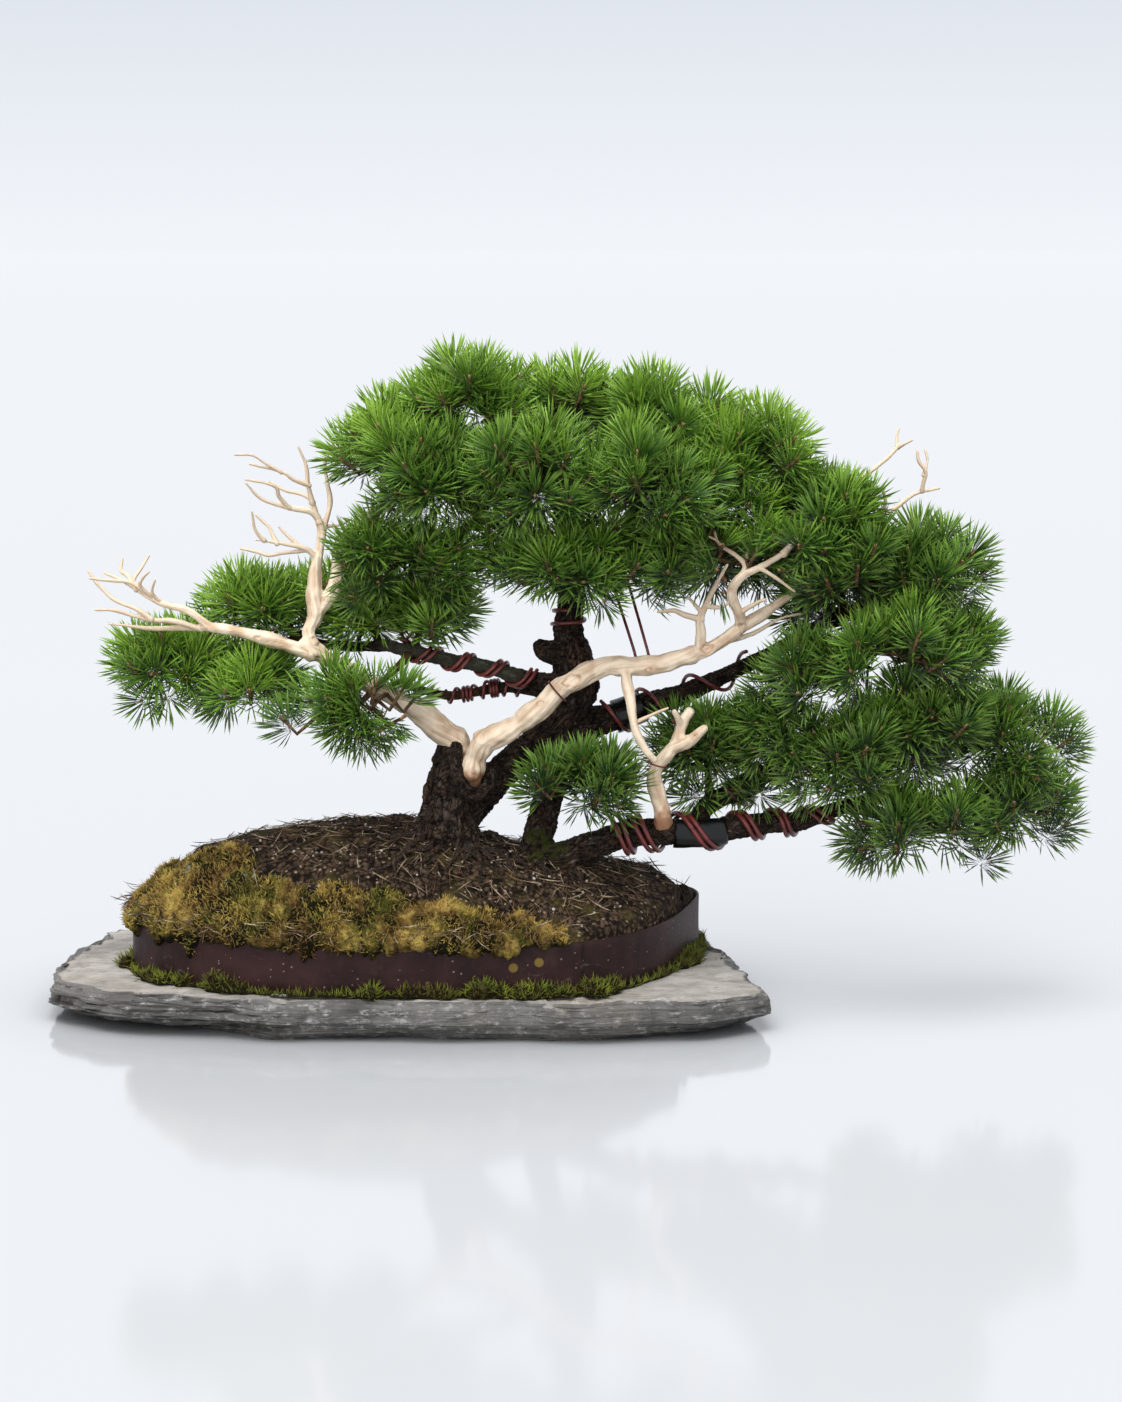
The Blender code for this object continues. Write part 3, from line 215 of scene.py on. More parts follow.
# Sprays of needles: limb and point that each grows from, centre, radii and number of tufts.
SPRAYS = {
    "canopy_left": ("canopy_left", 3, (-11, -14, 440), (40, 46, 38), 6),
    "canopy_crown_left": ("canopy_top", 2, (50, 2, 486), (42, 44, 27), 5),
    "canopy_crown": ("canopy_top", 2, (118, 6, 478), (36, 44, 26), 5),
    "canopy_crown_right": ("canopy_right", 2, (197, 6, 470), (48, 44, 26), 6),
    "canopy_front_left": ("canopy_left", 2, (27, -60, 424), (46, 26, 34), 5),
    "canopy_front": ("canopy_top", 1, (106, -62, 430), (44, 28, 36), 5),
    "canopy_front_right": ("canopy_right", 1, (190, -60, 426), (44, 28, 36), 5),
    "canopy_under": ("live_trunk", 9, (134, -38, 356), (56, 34, 20), 5),
    "canopy_right": ("canopy_right", 3, (268, 0, 442), (42, 48, 30), 6),
    "canopy_right_under": ("canopy_right", 2, (238, -38, 364), (50, 28, 20), 5),
    "canopy_right_end": ("canopy_right", 3, (322, 4, 404), (26, 38, 20), 4),
    "canopy_left_under": ("canopy_left", 2, (-4, -24, 358), (46, 38, 24), 5),
    "canopy_back_left": ("canopy_left", 2, (48, 72, 430), (56, 24, 40), 4),
    "canopy_back_right": ("canopy_right", 1, (186, 76, 426), (66, 24, 40), 4),
    "canopy_back_under": ("live_trunk", 8, (150, 62, 362), (74, 24, 16), 3),
    "left_tip": ("left_pad", 3, (-190, 0, 278), (32, 34, 18), 5),
    "left_low": ("left_pad", 2, (-126, 0, 264), (38, 34, 14), 4),
    "left_high": ("left_pad", 2, (-118, 20, 320), (42, 28, 18), 5),
    "left_inner": ("left_upper", 4, (-42, -56, 246), (44, 12, 26), 5),
    "left_middle": ("left_upper", 5, (-34, 16, 312), (40, 28, 26), 5),
    "left_bud": ("left_upper", 4, (16, -4, 318), (26, 24, 12), 3),
    "right_high_inner": ("upper_right", 8, (346, -6, 354), (34, 40, 30), 5),
    "right_high_end": ("upper_right", 8, (408, 2, 350), (42, 44, 30), 6),
    "right_middle": ("upper_right", 7, (380, -44, 290), (46, 26, 30), 5),
    "right_middle_end": ("upper_right", 8, (434, 8, 290), (25, 38, 26), 4),
    "right_middle_inner": ("upper_right", 6, (322, -38, 270), (32, 26, 30), 4),
    "right_back": ("upper_right", 7, (378, 58, 314), (48, 18, 38), 4),
    "right_low_inner": ("rising_branch", 4, (346, -38, 206), (38, 28, 32), 5),
    "right_low_high": ("rising_branch", 5, (412, -30, 234), (36, 30, 26), 4),
    "right_low_end": ("rising_branch", 5, (480, 2, 216), (38, 40, 28), 5),
    "right_low_tip": ("low_branch", 10, (488, 0, 160), (34, 38, 24), 5),
    "right_low_under": ("low_branch", 9, (408, -20, 146), (62, 34, 20), 5),
    "right_low_back": ("rising_branch", 5, (404, 50, 198), (58, 20, 34), 4),
    "centre_left": ("middle_stem", 3, (142, -28, 186), (34, 18, 12), 4),
    "centre_right": ("rising_branch", 1, (238, 14, 208), (28, 26, 16), 3),
}

# Knots and worn hollows in the bare wood, as (x, y, z, size).
KNOTS = {
    "deadwood_left": [(-20, -29, 259, 3.0), (-72, -33, 300, 3.2), (-66, -26, 330, 2.4), (-118, -36, 301, 2.2)],
    "deadwood_right": [(74, -37, 218, 3.4), (104, -37, 250, 3.6), (129, -38, 267, 6.4), (151, -39, 272, 2.0),
                       (190, -38, 276, 2.6), (236, -40, 293, 4.4), (263, -41, 311, 2.6)],
    "deadwood_stub": [(202, -36, 176, 2.6), (207, -38, 205, 2.4), (217, -38, 222, 2.8), (226, -42, 224, 2.2)],
}
# Training wires: limb, places along it with the turns made there and how far the wire stands off, how far
# the second strand lies beside the first, where there is one, and the wire's radius.
COILS = {
    "wire_low_double": ("low_branch", [(2.75, 0.3, 5.2), (3.3, -0.9, 5.2), (4.45, -1.8, 5.2),
                                       (5.7, -2.45, 5.2), (6.1, -2.8, 2.6), (8.6, -5.2, 2.6)], 0.19, 2.0),
    "wire_rising_double": ("rising_branch", [(1.55, 0.1, 5.2), (3.8, -2.4, 5.2)], 0.17, 1.9),
    "wire_upper_right": ("upper_right", [(1.5, 0.2, 4.8), (5.8, -2.8, 4.8)], 0, 1.6),
    "wire_left_upper": ("left_upper", [(0.75, 0.2, 2.1), (4.3, -3.8, 2.1)], 0.16, 1.6),
    "wire_left_lower": ("left_lower", [(0.9, 0.1, 1.9), (1.9, -1.6, 1.9), (2.3, -4.6, 2.3), (3.1, -5.9, 1.9),
                                       (3.5, -8.4, 2.1), (4.2, -9.6, 1.9)], 0, 1.4),
    "wire_trunk": ("live_trunk", [(7.2, 0.3, 2.4), (7.7, -1.0, 2.4)], 0, 1.7),
}
# Guy wires: place on the live limb, and place on the bare limb below.
GUYS = {"guy_wire_a": (0.5, 7.9), "guy_wire_b": (0.78, 8.4)}
GUY_RADIUS = 1.2
# Rings of tie wire: centre, axis, radius and the wire's radius.
TIES = {
    "tie_wire_limb": ((118, -28, 257.3), (0.75, 0, 0.66), 10.0, 0.8),
    "tie_wire_stub": ((197, -29, 199), (0.3, 0, 1.0), 8.2, 0.7),
}
# Rubber pads: limb, first and last place along it, where each starts round it, and how far round it goes.
PADS = {
    "rubber_pad_low": ("low_branch", 4.3, 5.7, -1.3, 2.4),
    "rubber_pad_rising": ("rising_branch", 1.55, 2.4, -1.7, 3.8),
    "rubber_pad_rising_end": ("rising_branch", 2.7, 3.5, -1.7, 3.8),
    "rubber_pad_upper": ("upper_right", 1.8, 2.8, -1.7, 3.8),
}
# Roots that show on the mound, as (x, y, bearing, length, radius at the trunk).
MOUND_ROOTS = [
    (8, -24, 3.5, 60, 4.2), (22, -36, 4.2, 48, 4.0), (42, -34, 4.9, 52, 3.6), (-4, -10, 2.9, 66, 3.2),
    (56, -22, 5.4, 60, 3.6), (90, -12, 4.5, 46, 3.2), (104, -18, 4.9, 42, 3.0), (124, -22, 5.3, 52, 3.4),
    (-2, 8, 2.3, 50, 3.0), (30, 24, 1.8, 50, 3.4), (60, 22, 1.2, 56, 3.0), (110, 18, 1.1, 48, 3.0),
    (74, -18, 4.2, 40, 2.4), (14, -30, 3.9, 78, 2.2), (140, -16, 5.9, 44, 2.2),
]


# Noise and shapes -------------------------------------------------------------------------------------

def lattice(cells, seed):
    """A number from 0 to 1 for each whole-numbered cell, the same at every run."""
    c = cells.astype(np.int64)
    h = (c[..., 0] * 73856093) ^ (c[..., 1] * 19349663) ^ (c[..., 2] * 83492791) ^ (seed * 265443576 + 7)
    h = ((h ^ (h >> 13)) * 1274126177) & 0xFFFFFFFF
    h = ((h ^ (h >> 15)) * 668265263) & 0xFFFFFFFF
    return ((h ^ (h >> 16)) & 0xFFFFFF) / 0xFFFFFF


def noise(points, seed=0):
    """Smooth noise from -1 to 1 at points counted in its own cells."""
    points = np.asarray(points, float)
    low = np.floor(points)
    part = points - low
    part = part * part * (3 - 2 * part)
    total = np.zeros(points.shape[:-1])
    for corner in itertools.product((0, 1), repeat=3):
        weight = np.prod(np.where(corner, part, 1 - part), axis=-1)
        total += weight * lattice(low + corner, seed)
    return total * 2 - 1


def layered_noise(points, seed=0, layers=4):
    """Noise summed over layers, each half the size and strength of the last."""
    points = np.asarray(points, float)
    total = np.zeros(points.shape[:-1])
    for k in range(layers):
        total += noise(points * 2.03**k + 17.1 * k, seed + k) * 0.5**k
    return total


def cells(points, seed=0):
    """Distances to the nearest and second nearest of points scattered one a cell, and a number for each."""
    points = np.asarray(points, float)
    low = np.floor(points)
    first = np.full(len(points), 9.0)
    second, owner = first.copy(), np.zeros(len(points))
    for shift in itertools.product((-1, 0, 1), repeat=3):
        cell = low + shift
        spot = cell + np.stack([lattice(cell, seed + k) for k in range(3)], -1)
        apart = np.linalg.norm(points - spot, axis=1)
        closer = apart < first
        second = np.where(closer, first, np.minimum(second, apart))
        owner = np.where(closer, lattice(cell, seed + 7), owner)
        first = np.where(closer, apart, first)
    return first, second, owner


def eased(value, low, high):
    """0 below low, 1 above high, and a smooth rise between."""
    t = np.clip((value - low) / (high - low), 0, 1)
    return t * t * (3 - 2 * t)


def unit(vectors):
    vectors = np.asarray(vectors, float)
    return vectors / np.maximum(np.linalg.norm(vectors, axis=-1, keepdims=True), 1e-9)


def between(a, b, c, d, t):
    """A smooth curve from b to c as t goes from 0 to 1, which a and d lead into."""
    return 0.5 * (2 * b + (c - a) * t + (2 * a - 5 * b + 4 * c - d) * t**2 + (3 * b - a - 3 * c + d) * t**3)


def with_ends(rows):
    """Rows with one more before and after, straight on from the first and last two."""
    return np.vstack([2 * rows[0] - rows[1], rows, 2 * rows[-1] - rows[-2]])


def smooth_rows(rows, step):
    """Rows of numbers along a smooth curve through the given rows, about step millimetres apart."""
    rows = np.asarray(rows, float)
    padded = with_ends(rows)
    result = []
    for i in range(len(rows) - 1):
        a, b, c, d = padded[i:i + 4]
        count = max(int(np.linalg.norm(c[:3] - b[:3]) / step), 1)
        result += [between(a, b, c, d, t) for t in np.arange(count) / count]
    return np.array(result + [rows[-1]])


def frames(points):
    """Tangents and two normals along a route, turned as little as possible."""
    tangents = unit(np.gradient(points, axis=0))
    side = np.cross(tangents[0], (0.31, 0.22, 0.92))
    sides = []
    for tangent in tangents:
        side = unit(side - tangent * side.dot(tangent))
        sides.append(side)
    return tangents, np.array(sides), np.cross(tangents, sides)


def grid_faces(rows, columns, start=0, round_rows=False):
    """Quads between rows of points, each row closed on itself, and the rows too if round_rows."""
    i = np.arange(rows if round_rows else rows - 1)[:, None]
    k = np.arange(columns)[None]
    j, m = (i + 1) % rows, (k + 1) % columns
    quads = np.stack([i * columns + k, i * columns + m, j * columns + m, j * columns + k], -1)
    return (quads.reshape(-1, 4) + start).tolist()


class Skin:
    """Points and faces in millimetres gathered for one mesh, with named values at its points."""

    def __init__(self):
        self.points, self.faces, self.values, self.count = [], [], {}, 0

    def add(self, points, faces, **values):
        points = np.asarray(points, float).reshape(-1, 3)
        self.faces += [[i + self.count for i in face] for face in faces]
        self.points.append(points)
        for name, value in values.items():
            self.values.setdefault(name, []).append(np.broadcast_to(value, len(points)))
        self.count += len(points)

    def add_rings(self, rings, round_rows=False, **values):
        """Rings of points joined one to the next, capped at both ends unless they close."""
        rings = np.asarray(rings, float)
        rows, columns = rings.shape[:2]
        faces = grid_faces(rows, columns, 0, round_rows)
        points = rings.reshape(-1, 3)
        if not round_rows:
            poles = np.array([rings[0].mean(0), rings[-1].mean(0)])
            last = (rows - 1) * columns
            for k in range(columns):
                m = (k + 1) % columns
                faces += [[m, k, len(points)], [last + k, last + m, len(points) + 1]]
            points = np.vstack([points, poles])
            values = {n: np.append(v, [v[0], v[-1]]) if np.ndim(v) else v for n, v in values.items()}
        self.add(points, faces, **values)

    def add_tube(self, rows, sides, rounded=True, **values):
        """A tube round rows of (x, y, z, radius), its ends rounded."""
        rows = np.asarray(rows, float)
        route, radii = rows[:, :3], rows[:, 3]
        tangents, side, up = frames(route)
        if rounded:
            for end, way in ((0, -1), (-1, 1)):
                beyond = route[end] + tangents[end] * way * radii[end] * np.array([[0.45], [0.7]])
                shrunk = radii[end] * np.array([0.75, 0.35])
                at = 0 if end == 0 else len(route)
                order = slice(None, None, -1) if end == 0 else slice(None)
                route = np.insert(route, [at, at], beyond[order], axis=0)
                radii = np.insert(radii, [at, at], shrunk[order])
                side = np.insert(side, [at, at], side[end], axis=0)
                up = np.insert(up, [at, at], up[end], axis=0)
        turns = np.linspace(0, math.tau, sides, endpoint=False)
        rays = np.cos(turns)[None, :, None] * side[:, None] + np.sin(turns)[None, :, None] * up[:, None]
        self.add_rings(route[:, None] + radii[:, None, None] * rays, **values)

    def mesh(self, name):
        made = bpy.data.meshes.new(name)
        made.from_pydata((np.vstack(self.points) * MM).tolist(), [], self.faces)
        work = bmesh.new()
        work.from_mesh(made)
        bmesh.ops.recalc_face_normals(work, faces=work.faces)
        work.to_mesh(made)
        work.free()
        for key, parts in self.values.items():
            store(made, key, np.concatenate(parts))
        return made


def store(mesh, name, values):
    """Keeps a number, or a row of three, for each point of a mesh under a name."""
    values = np.asarray(values, np.float32)
    kind, field = ("FLOAT", "value") if values.ndim == 1 else ("FLOAT_VECTOR", "vector")
    mesh.attributes.new(name, kind, "POINT").data.foreach_set(field, values.ravel())


def mesh_points(mesh):
    places = np.zeros(len(mesh.vertices) * 3)
    mesh.vertices.foreach_get("co", places)
    return places.reshape(-1, 3) / MM


def mesh_normals(mesh):
    ways = np.zeros(len(mesh.vertices) * 3, np.float32)
    mesh.vertex_normals.foreach_get("vector", ways)
    return ways.reshape(-1, 3).astype(float)


def move_points(mesh, places):
    mesh.vertices.foreach_set("co", (places * MM).ravel())
    mesh.update()


def linked(name, mesh):
    made = bpy.data.objects.new(name, mesh)
    bpy.context.scene.collection.objects.link(made)
    return made


def evaluated(obj, name):
    """A plain mesh of an object with its modifiers carried out, and the object removed."""
    bpy.context.view_layer.update()
    made = bpy.data.meshes.new_from_object(obj.evaluated_get(bpy.context.evaluated_depsgraph_get()))
    made.name = name
    old = obj.data
    bpy.data.objects.remove(obj)
    if old.users == 0:
        bpy.data.meshes.remove(old)
    return made


def joined_skin(skin, name, voxel, relax, share=1.0):
    """One closed skin round overlapping tubes."""
    work = linked(name + "_work", skin.mesh(name + "_work"))
    step = work.modifiers.new("Join", "REMESH")
    step.mode, step.voxel_size, step.use_smooth_shade = "VOXEL", voxel * MM, True
    step = work.modifiers.new("Relax", "SMOOTH")
    step.factor, step.iterations = 0.5, relax
    if share < 1:
        step = work.modifiers.new("Thin", "DECIMATE")
        step.ratio = share
    return evaluated(work, name)


def handed_over(name, mesh, look, replaced=(), smooth=True):
    """The finished piece: its material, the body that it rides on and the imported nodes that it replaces."""
    mesh.materials.clear()
    mesh.materials.append(look)
    mesh.polygons.foreach_set("use_smooth", [smooth] * len(mesh.polygons))
    piece = linked(name, mesh)
    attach(piece, "root")
    if replaced:
        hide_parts(*replaced)
    return piece


# Material nodes ---------------------------------------------------------------------------------------

class Nodes:
    """A node tree, with short calls that place its nodes and join them."""

    def __init__(self, tree):
        self.tree = tree
        self.column = 0

    def add(self, kind, inputs=None, **options):
        node = self.tree.nodes.new(kind)
        self.column += 1
        node.location = (-220 * (self.column % 9) - 200, -260 * (self.column // 9))
        for key, value in options.items():
            setattr(node, key, value)
        for key, value in (inputs or {}).items():
            self.set(node.inputs[key], value)
        return node

    def set(self, socket, value):
        if isinstance(value, bpy.types.NodeSocket):
            self.tree.links.new(value, socket)
        elif isinstance(value, tuple) and len(value) == 3 and socket.type == "RGBA":
            socket.default_value = (*value, 1.0)
        else:
            socket.default_value = value

    def math(self, operation, first, second, clamp=False):
        node = self.add("ShaderNodeMath", {0: first, 1: second}, operation=operation, use_clamp=clamp)
        return node.outputs[0]

    def times(self, first, second):
        return self.math("MULTIPLY", first, second)

    def plus(self, first, second, clamp=False):
        return self.math("ADD", first, second, clamp)

    def minus(self, first, second):
        return self.math("SUBTRACT", first, second)

    def larger(self, first, second):
        return self.math("MAXIMUM", first, second)

    def mix(self, factor, first, second):
        node = self.add("ShaderNodeMix", data_type="RGBA")
        for key, value in ((0, factor), (6, first), (7, second)):
            self.set(node.inputs[key], value)
        return node.outputs[2]

    def ramp(self, factor, stops):
        """A colour ramp: stops are (place, colour), or (place, grey)."""
        node = self.add("ShaderNodeValToRGB", {"Fac": factor})
        line = node.color_ramp.elements
        while len(line) < len(stops):
            line.new(1.0)
        for element, (place, colour) in zip(line, stops):
            element.position = place
            element.color = (*colour, 1.0) if isinstance(colour, tuple) else (colour, colour, colour, 1.0)
        return node.outputs["Color"]

    def noise(self, place, scale, detail=4.0, rough=0.55, distortion=0.0):
        return self.add("ShaderNodeTexNoise", {"Vector": place, "Scale": scale, "Detail": detail,
                                               "Roughness": rough, "Distortion": distortion}).outputs["Fac"]

    def cells(self, place, scale, feature="F1"):
        return self.add("ShaderNodeTexVoronoi", {"Vector": place, "Scale": scale}, feature=feature).outputs

    def place(self):
        return self.add("ShaderNodeTexCoord").outputs["Object"]

    def value(self, name):
        return self.add("ShaderNodeAttribute", attribute_name=name).outputs["Fac"]

    def vector(self, name):
        return self.add("ShaderNodeAttribute", attribute_name=name).outputs["Vector"]

    def stretched(self, place, scale):
        return self.add("ShaderNodeMapping", {"Vector": place, "Scale": scale}).outputs["Vector"]

    def ranged(self, value, low, high, start=0.0, end=1.0):
        """Start where the value is low or less, end where it is high or more, and evenly between."""
        return self.add("ShaderNodeMapRange", {"Value": value, "From Min": low, "From Max": high,
                                               "To Min": start, "To Max": end}).outputs[0]

    def mottle(self, place, light, dark, patch, grain, contrast):
        tree = bpy.data.node_groups.get("Mottle") or mottle_group()
        return self.add("ShaderNodeGroup", {"Vector": place, "Light": light, "Dark": dark, "Patch Scale": patch,
                                            "Grain Scale": grain, "Contrast": contrast}, node_tree=tree).outputs

    def specks(self, place, scale, share, size):
        tree = bpy.data.node_groups.get("Specks") or speck_group()
        return self.add("ShaderNodeGroup", {"Vector": place, "Scale": scale, "Share": share, "Size": size},
                        node_tree=tree).outputs["Mask"]

    def point_value(self, name, kind="FLOAT_VECTOR"):
        return self.add("GeometryNodeInputNamedAttribute", {"Name": name}, data_type=kind).outputs[0]


def scaled(colour, by):
    return tuple(c * by for c in colour)


def paler(colour, by, more=0.0):
    return tuple(min(c * by + more, 1) for c in colour)


class Finish(Nodes):
    """A material, with short calls that set its shader."""

    def __init__(self, name):
        self.made = bpy.data.materials.new(name)
        self.made.use_nodes = True
        super().__init__(self.made.node_tree)
        self.shader = self.made.node_tree.nodes["Principled BSDF"]

    def colour(self, value):
        self.set(self.shader.inputs["Base Color"], value)

    def rough(self, value):
        self.set(self.shader.inputs["Roughness"], value)

    def relief(self, height, strength, distance):
        bump = self.add("ShaderNodeBump", {"Height": height, "Strength": strength, "Distance": distance})
        self.set(self.shader.inputs["Normal"], bump.outputs["Normal"])


def look(name, roughness, specular=0.5):
    """A material with the shader's plain values set."""
    n = Finish(name)
    n.shader.inputs["Roughness"].default_value = roughness
    n.shader.inputs["Specular IOR Level"].default_value = specular
    return n


def shader_group(name, inputs, outputs):
    """An empty node group with named sockets, and the ends of its nodes."""
    tree = bpy.data.node_groups.new(name, "ShaderNodeTree")
    for label, kind, value in inputs:
        socket = tree.interface.new_socket(label, in_out="INPUT", socket_type=kind)
        if value is not None:
            socket.default_value = value
    for label, kind in outputs:
        tree.interface.new_socket(label, in_out="OUTPUT", socket_type=kind)
    nodes = Nodes(tree)
    return tree, nodes, nodes.add("NodeGroupInput").outputs, nodes.add("NodeGroupOutput").inputs


def mottle_group():
    """Two colours mixed in soft patches, with fine grain over them."""
    tree, n, source, result = shader_group(
        "Mottle", [("Vector", "NodeSocketVector", None), ("Light", "NodeSocketColor", None),
                   ("Dark", "NodeSocketColor", None), ("Patch Scale", "NodeSocketFloat", 30.0),
                   ("Grain Scale", "NodeSocketFloat", 400.0), ("Contrast", "NodeSocketFloat", 0.5)],
        [("Color", "NodeSocketColor"), ("Mask", "NodeSocketFloat"), ("Grain", "NodeSocketFloat")])
    patch = n.noise(source["Vector"], source["Patch Scale"], 5.0, 0.6, 0.4)
    mask = n.ranged(patch, 0.36, 0.64)
    grain = n.noise(source["Vector"], source["Grain Scale"], 3.0, 0.6)
    uneven = n.times(n.minus(grain, 0.5), source["Contrast"])
    factor = n.plus(mask, uneven, clamp=True)
    n.set(result["Color"], n.mix(factor, source["Dark"], source["Light"]))
    n.set(result["Mask"], mask)
    n.set(result["Grain"], grain)
    return tree


def speck_group():
    """Scattered round specks, as a mask: how many follows from the share given."""
    tree, n, source, result = shader_group(
        "Specks", [("Vector", "NodeSocketVector", None), ("Scale", "NodeSocketFloat", 200.0),
                   ("Share", "NodeSocketFloat", 0.2), ("Size", "NodeSocketFloat", 0.25)],
        [("Mask", "NodeSocketFloat")])
    spot = n.add("ShaderNodeTexVoronoi", {"Vector": source["Vector"], "Scale": source["Scale"]}).outputs
    near = n.math("LESS_THAN", spot["Distance"], source["Size"])
    channel = n.add("ShaderNodeSeparateColor", {"Color": spot["Color"]}).outputs["Red"]
    chosen = n.math("LESS_THAN", channel, source["Share"])
    n.set(result["Mask"], n.times(near, chosen))
    return tree


# Slate, strip, soil and moss --------------------------------------------------------------------------

def smooth_loop(outline, count):
    """Points evenly numbered along a closed curve through the outline's points."""
    outline = np.array(outline, float)
    place = np.arange(count) * len(outline) / count
    i, t = place.astype(int), (place % 1.0)[:, None]
    a, b, c, d = (outline[(i + j) % len(outline)] for j in (-1, 0, 1, 2))
    return between(a, b, c, d, t)


def outward(loop):
    """Unit normals that point away from the inside of an anticlockwise loop."""
    run = np.roll(loop, -1, axis=0) - np.roll(loop, 1, axis=0)
    return unit(np.stack([run[:, 1], -run[:, 0]], -1))


FINE = 20
RING = smooth_loop(RING_OUTLINE, RING_STEPS)
FINE_RING = smooth_loop(RING_OUTLINE, RING_STEPS * FINE)
FINE_OUT = outward(FINE_RING)
FRONT_EDGE = np.array(sorted(map(tuple, RING[RING[:, 1] < 15])))
BACK_EDGE = np.array(sorted(map(tuple, RING[RING[:, 1] >= 15])))
MOUND_MIDDLE = np.array([5.0, 15.0])
SOIL_REACH = -2 * BAND_THICK - 3 * GAP
# Where the cushion of moss starts and ends, in steps round the strip.
MOSS_STEPS = (20.2, 35.5)
# The foot's moss: its share of the cushion's three colours, and its sprouts' tints of the green one.
FOOT_SHARES = (0.1, 0.42, 0.1)
FOOT_TINTS = ((2.1, 2.0, 1.6), (0.9, 1.1, 0.9), (0.5, 0.3, 0.7))
# The slate's edge: height, how far it lies inside the outline and how uneven it is. Then the heights at which
# its layers break, the points round it, and how far inside the rim each ring of its top lies.
SLATE_LEVELS = [(0.0, -8.0, 4.0), (6.0, -3.0, 3.0), (14.0, 0.0, 2.5), (26.0, -0.5, 1.5), (SLAB_TOP, -5.0, 0.5)]
SLATE_BREAKS = [0.0, 1.6, 4.0, 6.4, 9.6, 11.4, 14.2, 16.2, 19.4, 21.2, 23.6, 25.2, 27.6, 28.9, SLAB_TOP]
SLATE_POINTS = 540
TOP_RINGS = (1.2, 2.6, 4.4, 6.5, 9, 12, 15.5, 19.5, 24, 29, 35, 42, 50, 60, 72, 88, 108, 128)
SOIL_POINTS, SOIL_RINGS = 420, 46


def ring_point(step, distance):
    """Points beside the strip: step counts round from the seam, distance is outwards."""
    place = np.asarray(step, float) * FINE
    i = np.floor(place).astype(int) % len(FINE_RING)
    j, t = (i + 1) % len(FINE_RING), (place % 1.0)[..., None]
    spot = FINE_RING[i] * (1 - t) + FINE_RING[j] * t
    return spot + (FINE_OUT[i] * (1 - t) + FINE_OUT[j] * t) * np.asarray(distance, float)[..., None]


def mound_height(x, y):
    """Height of the soil: a long ridge that falls to the strip at the front and the back."""
    x, y = np.broadcast_arrays(np.asarray(x, float), np.asarray(y, float))
    low, high = np.interp(x, *FRONT_EDGE.T), np.interp(x, *BACK_EDGE.T)
    middle, half = (low + high) / 2, np.maximum((high - low) / 2, 1.0)
    across = np.minimum(np.abs(y - middle) / half, 1.0)
    ends = np.minimum(x - RING[:, 0].min(), RING[:, 0].max() - x)
    lift = (1.0 - across**2.2) * np.clip(ends / 24, 0, 1) ** 0.6
    near = np.abs(x[..., None] - RING[:, 0]).min(-1)
    wave = 1.2 * (np.sin(x / 23 + 1.3) * np.cos(y / 23 * 1.4 + 0.4) + 0.5 * np.sin(x / 23 * 2.7 + y / 23 * 2.1))
    return SOIL_EDGE + (np.interp(x, *np.array(RIDGE).T) - SOIL_EDGE) * lift + wave * np.minimum(near / 20, 1) * lift


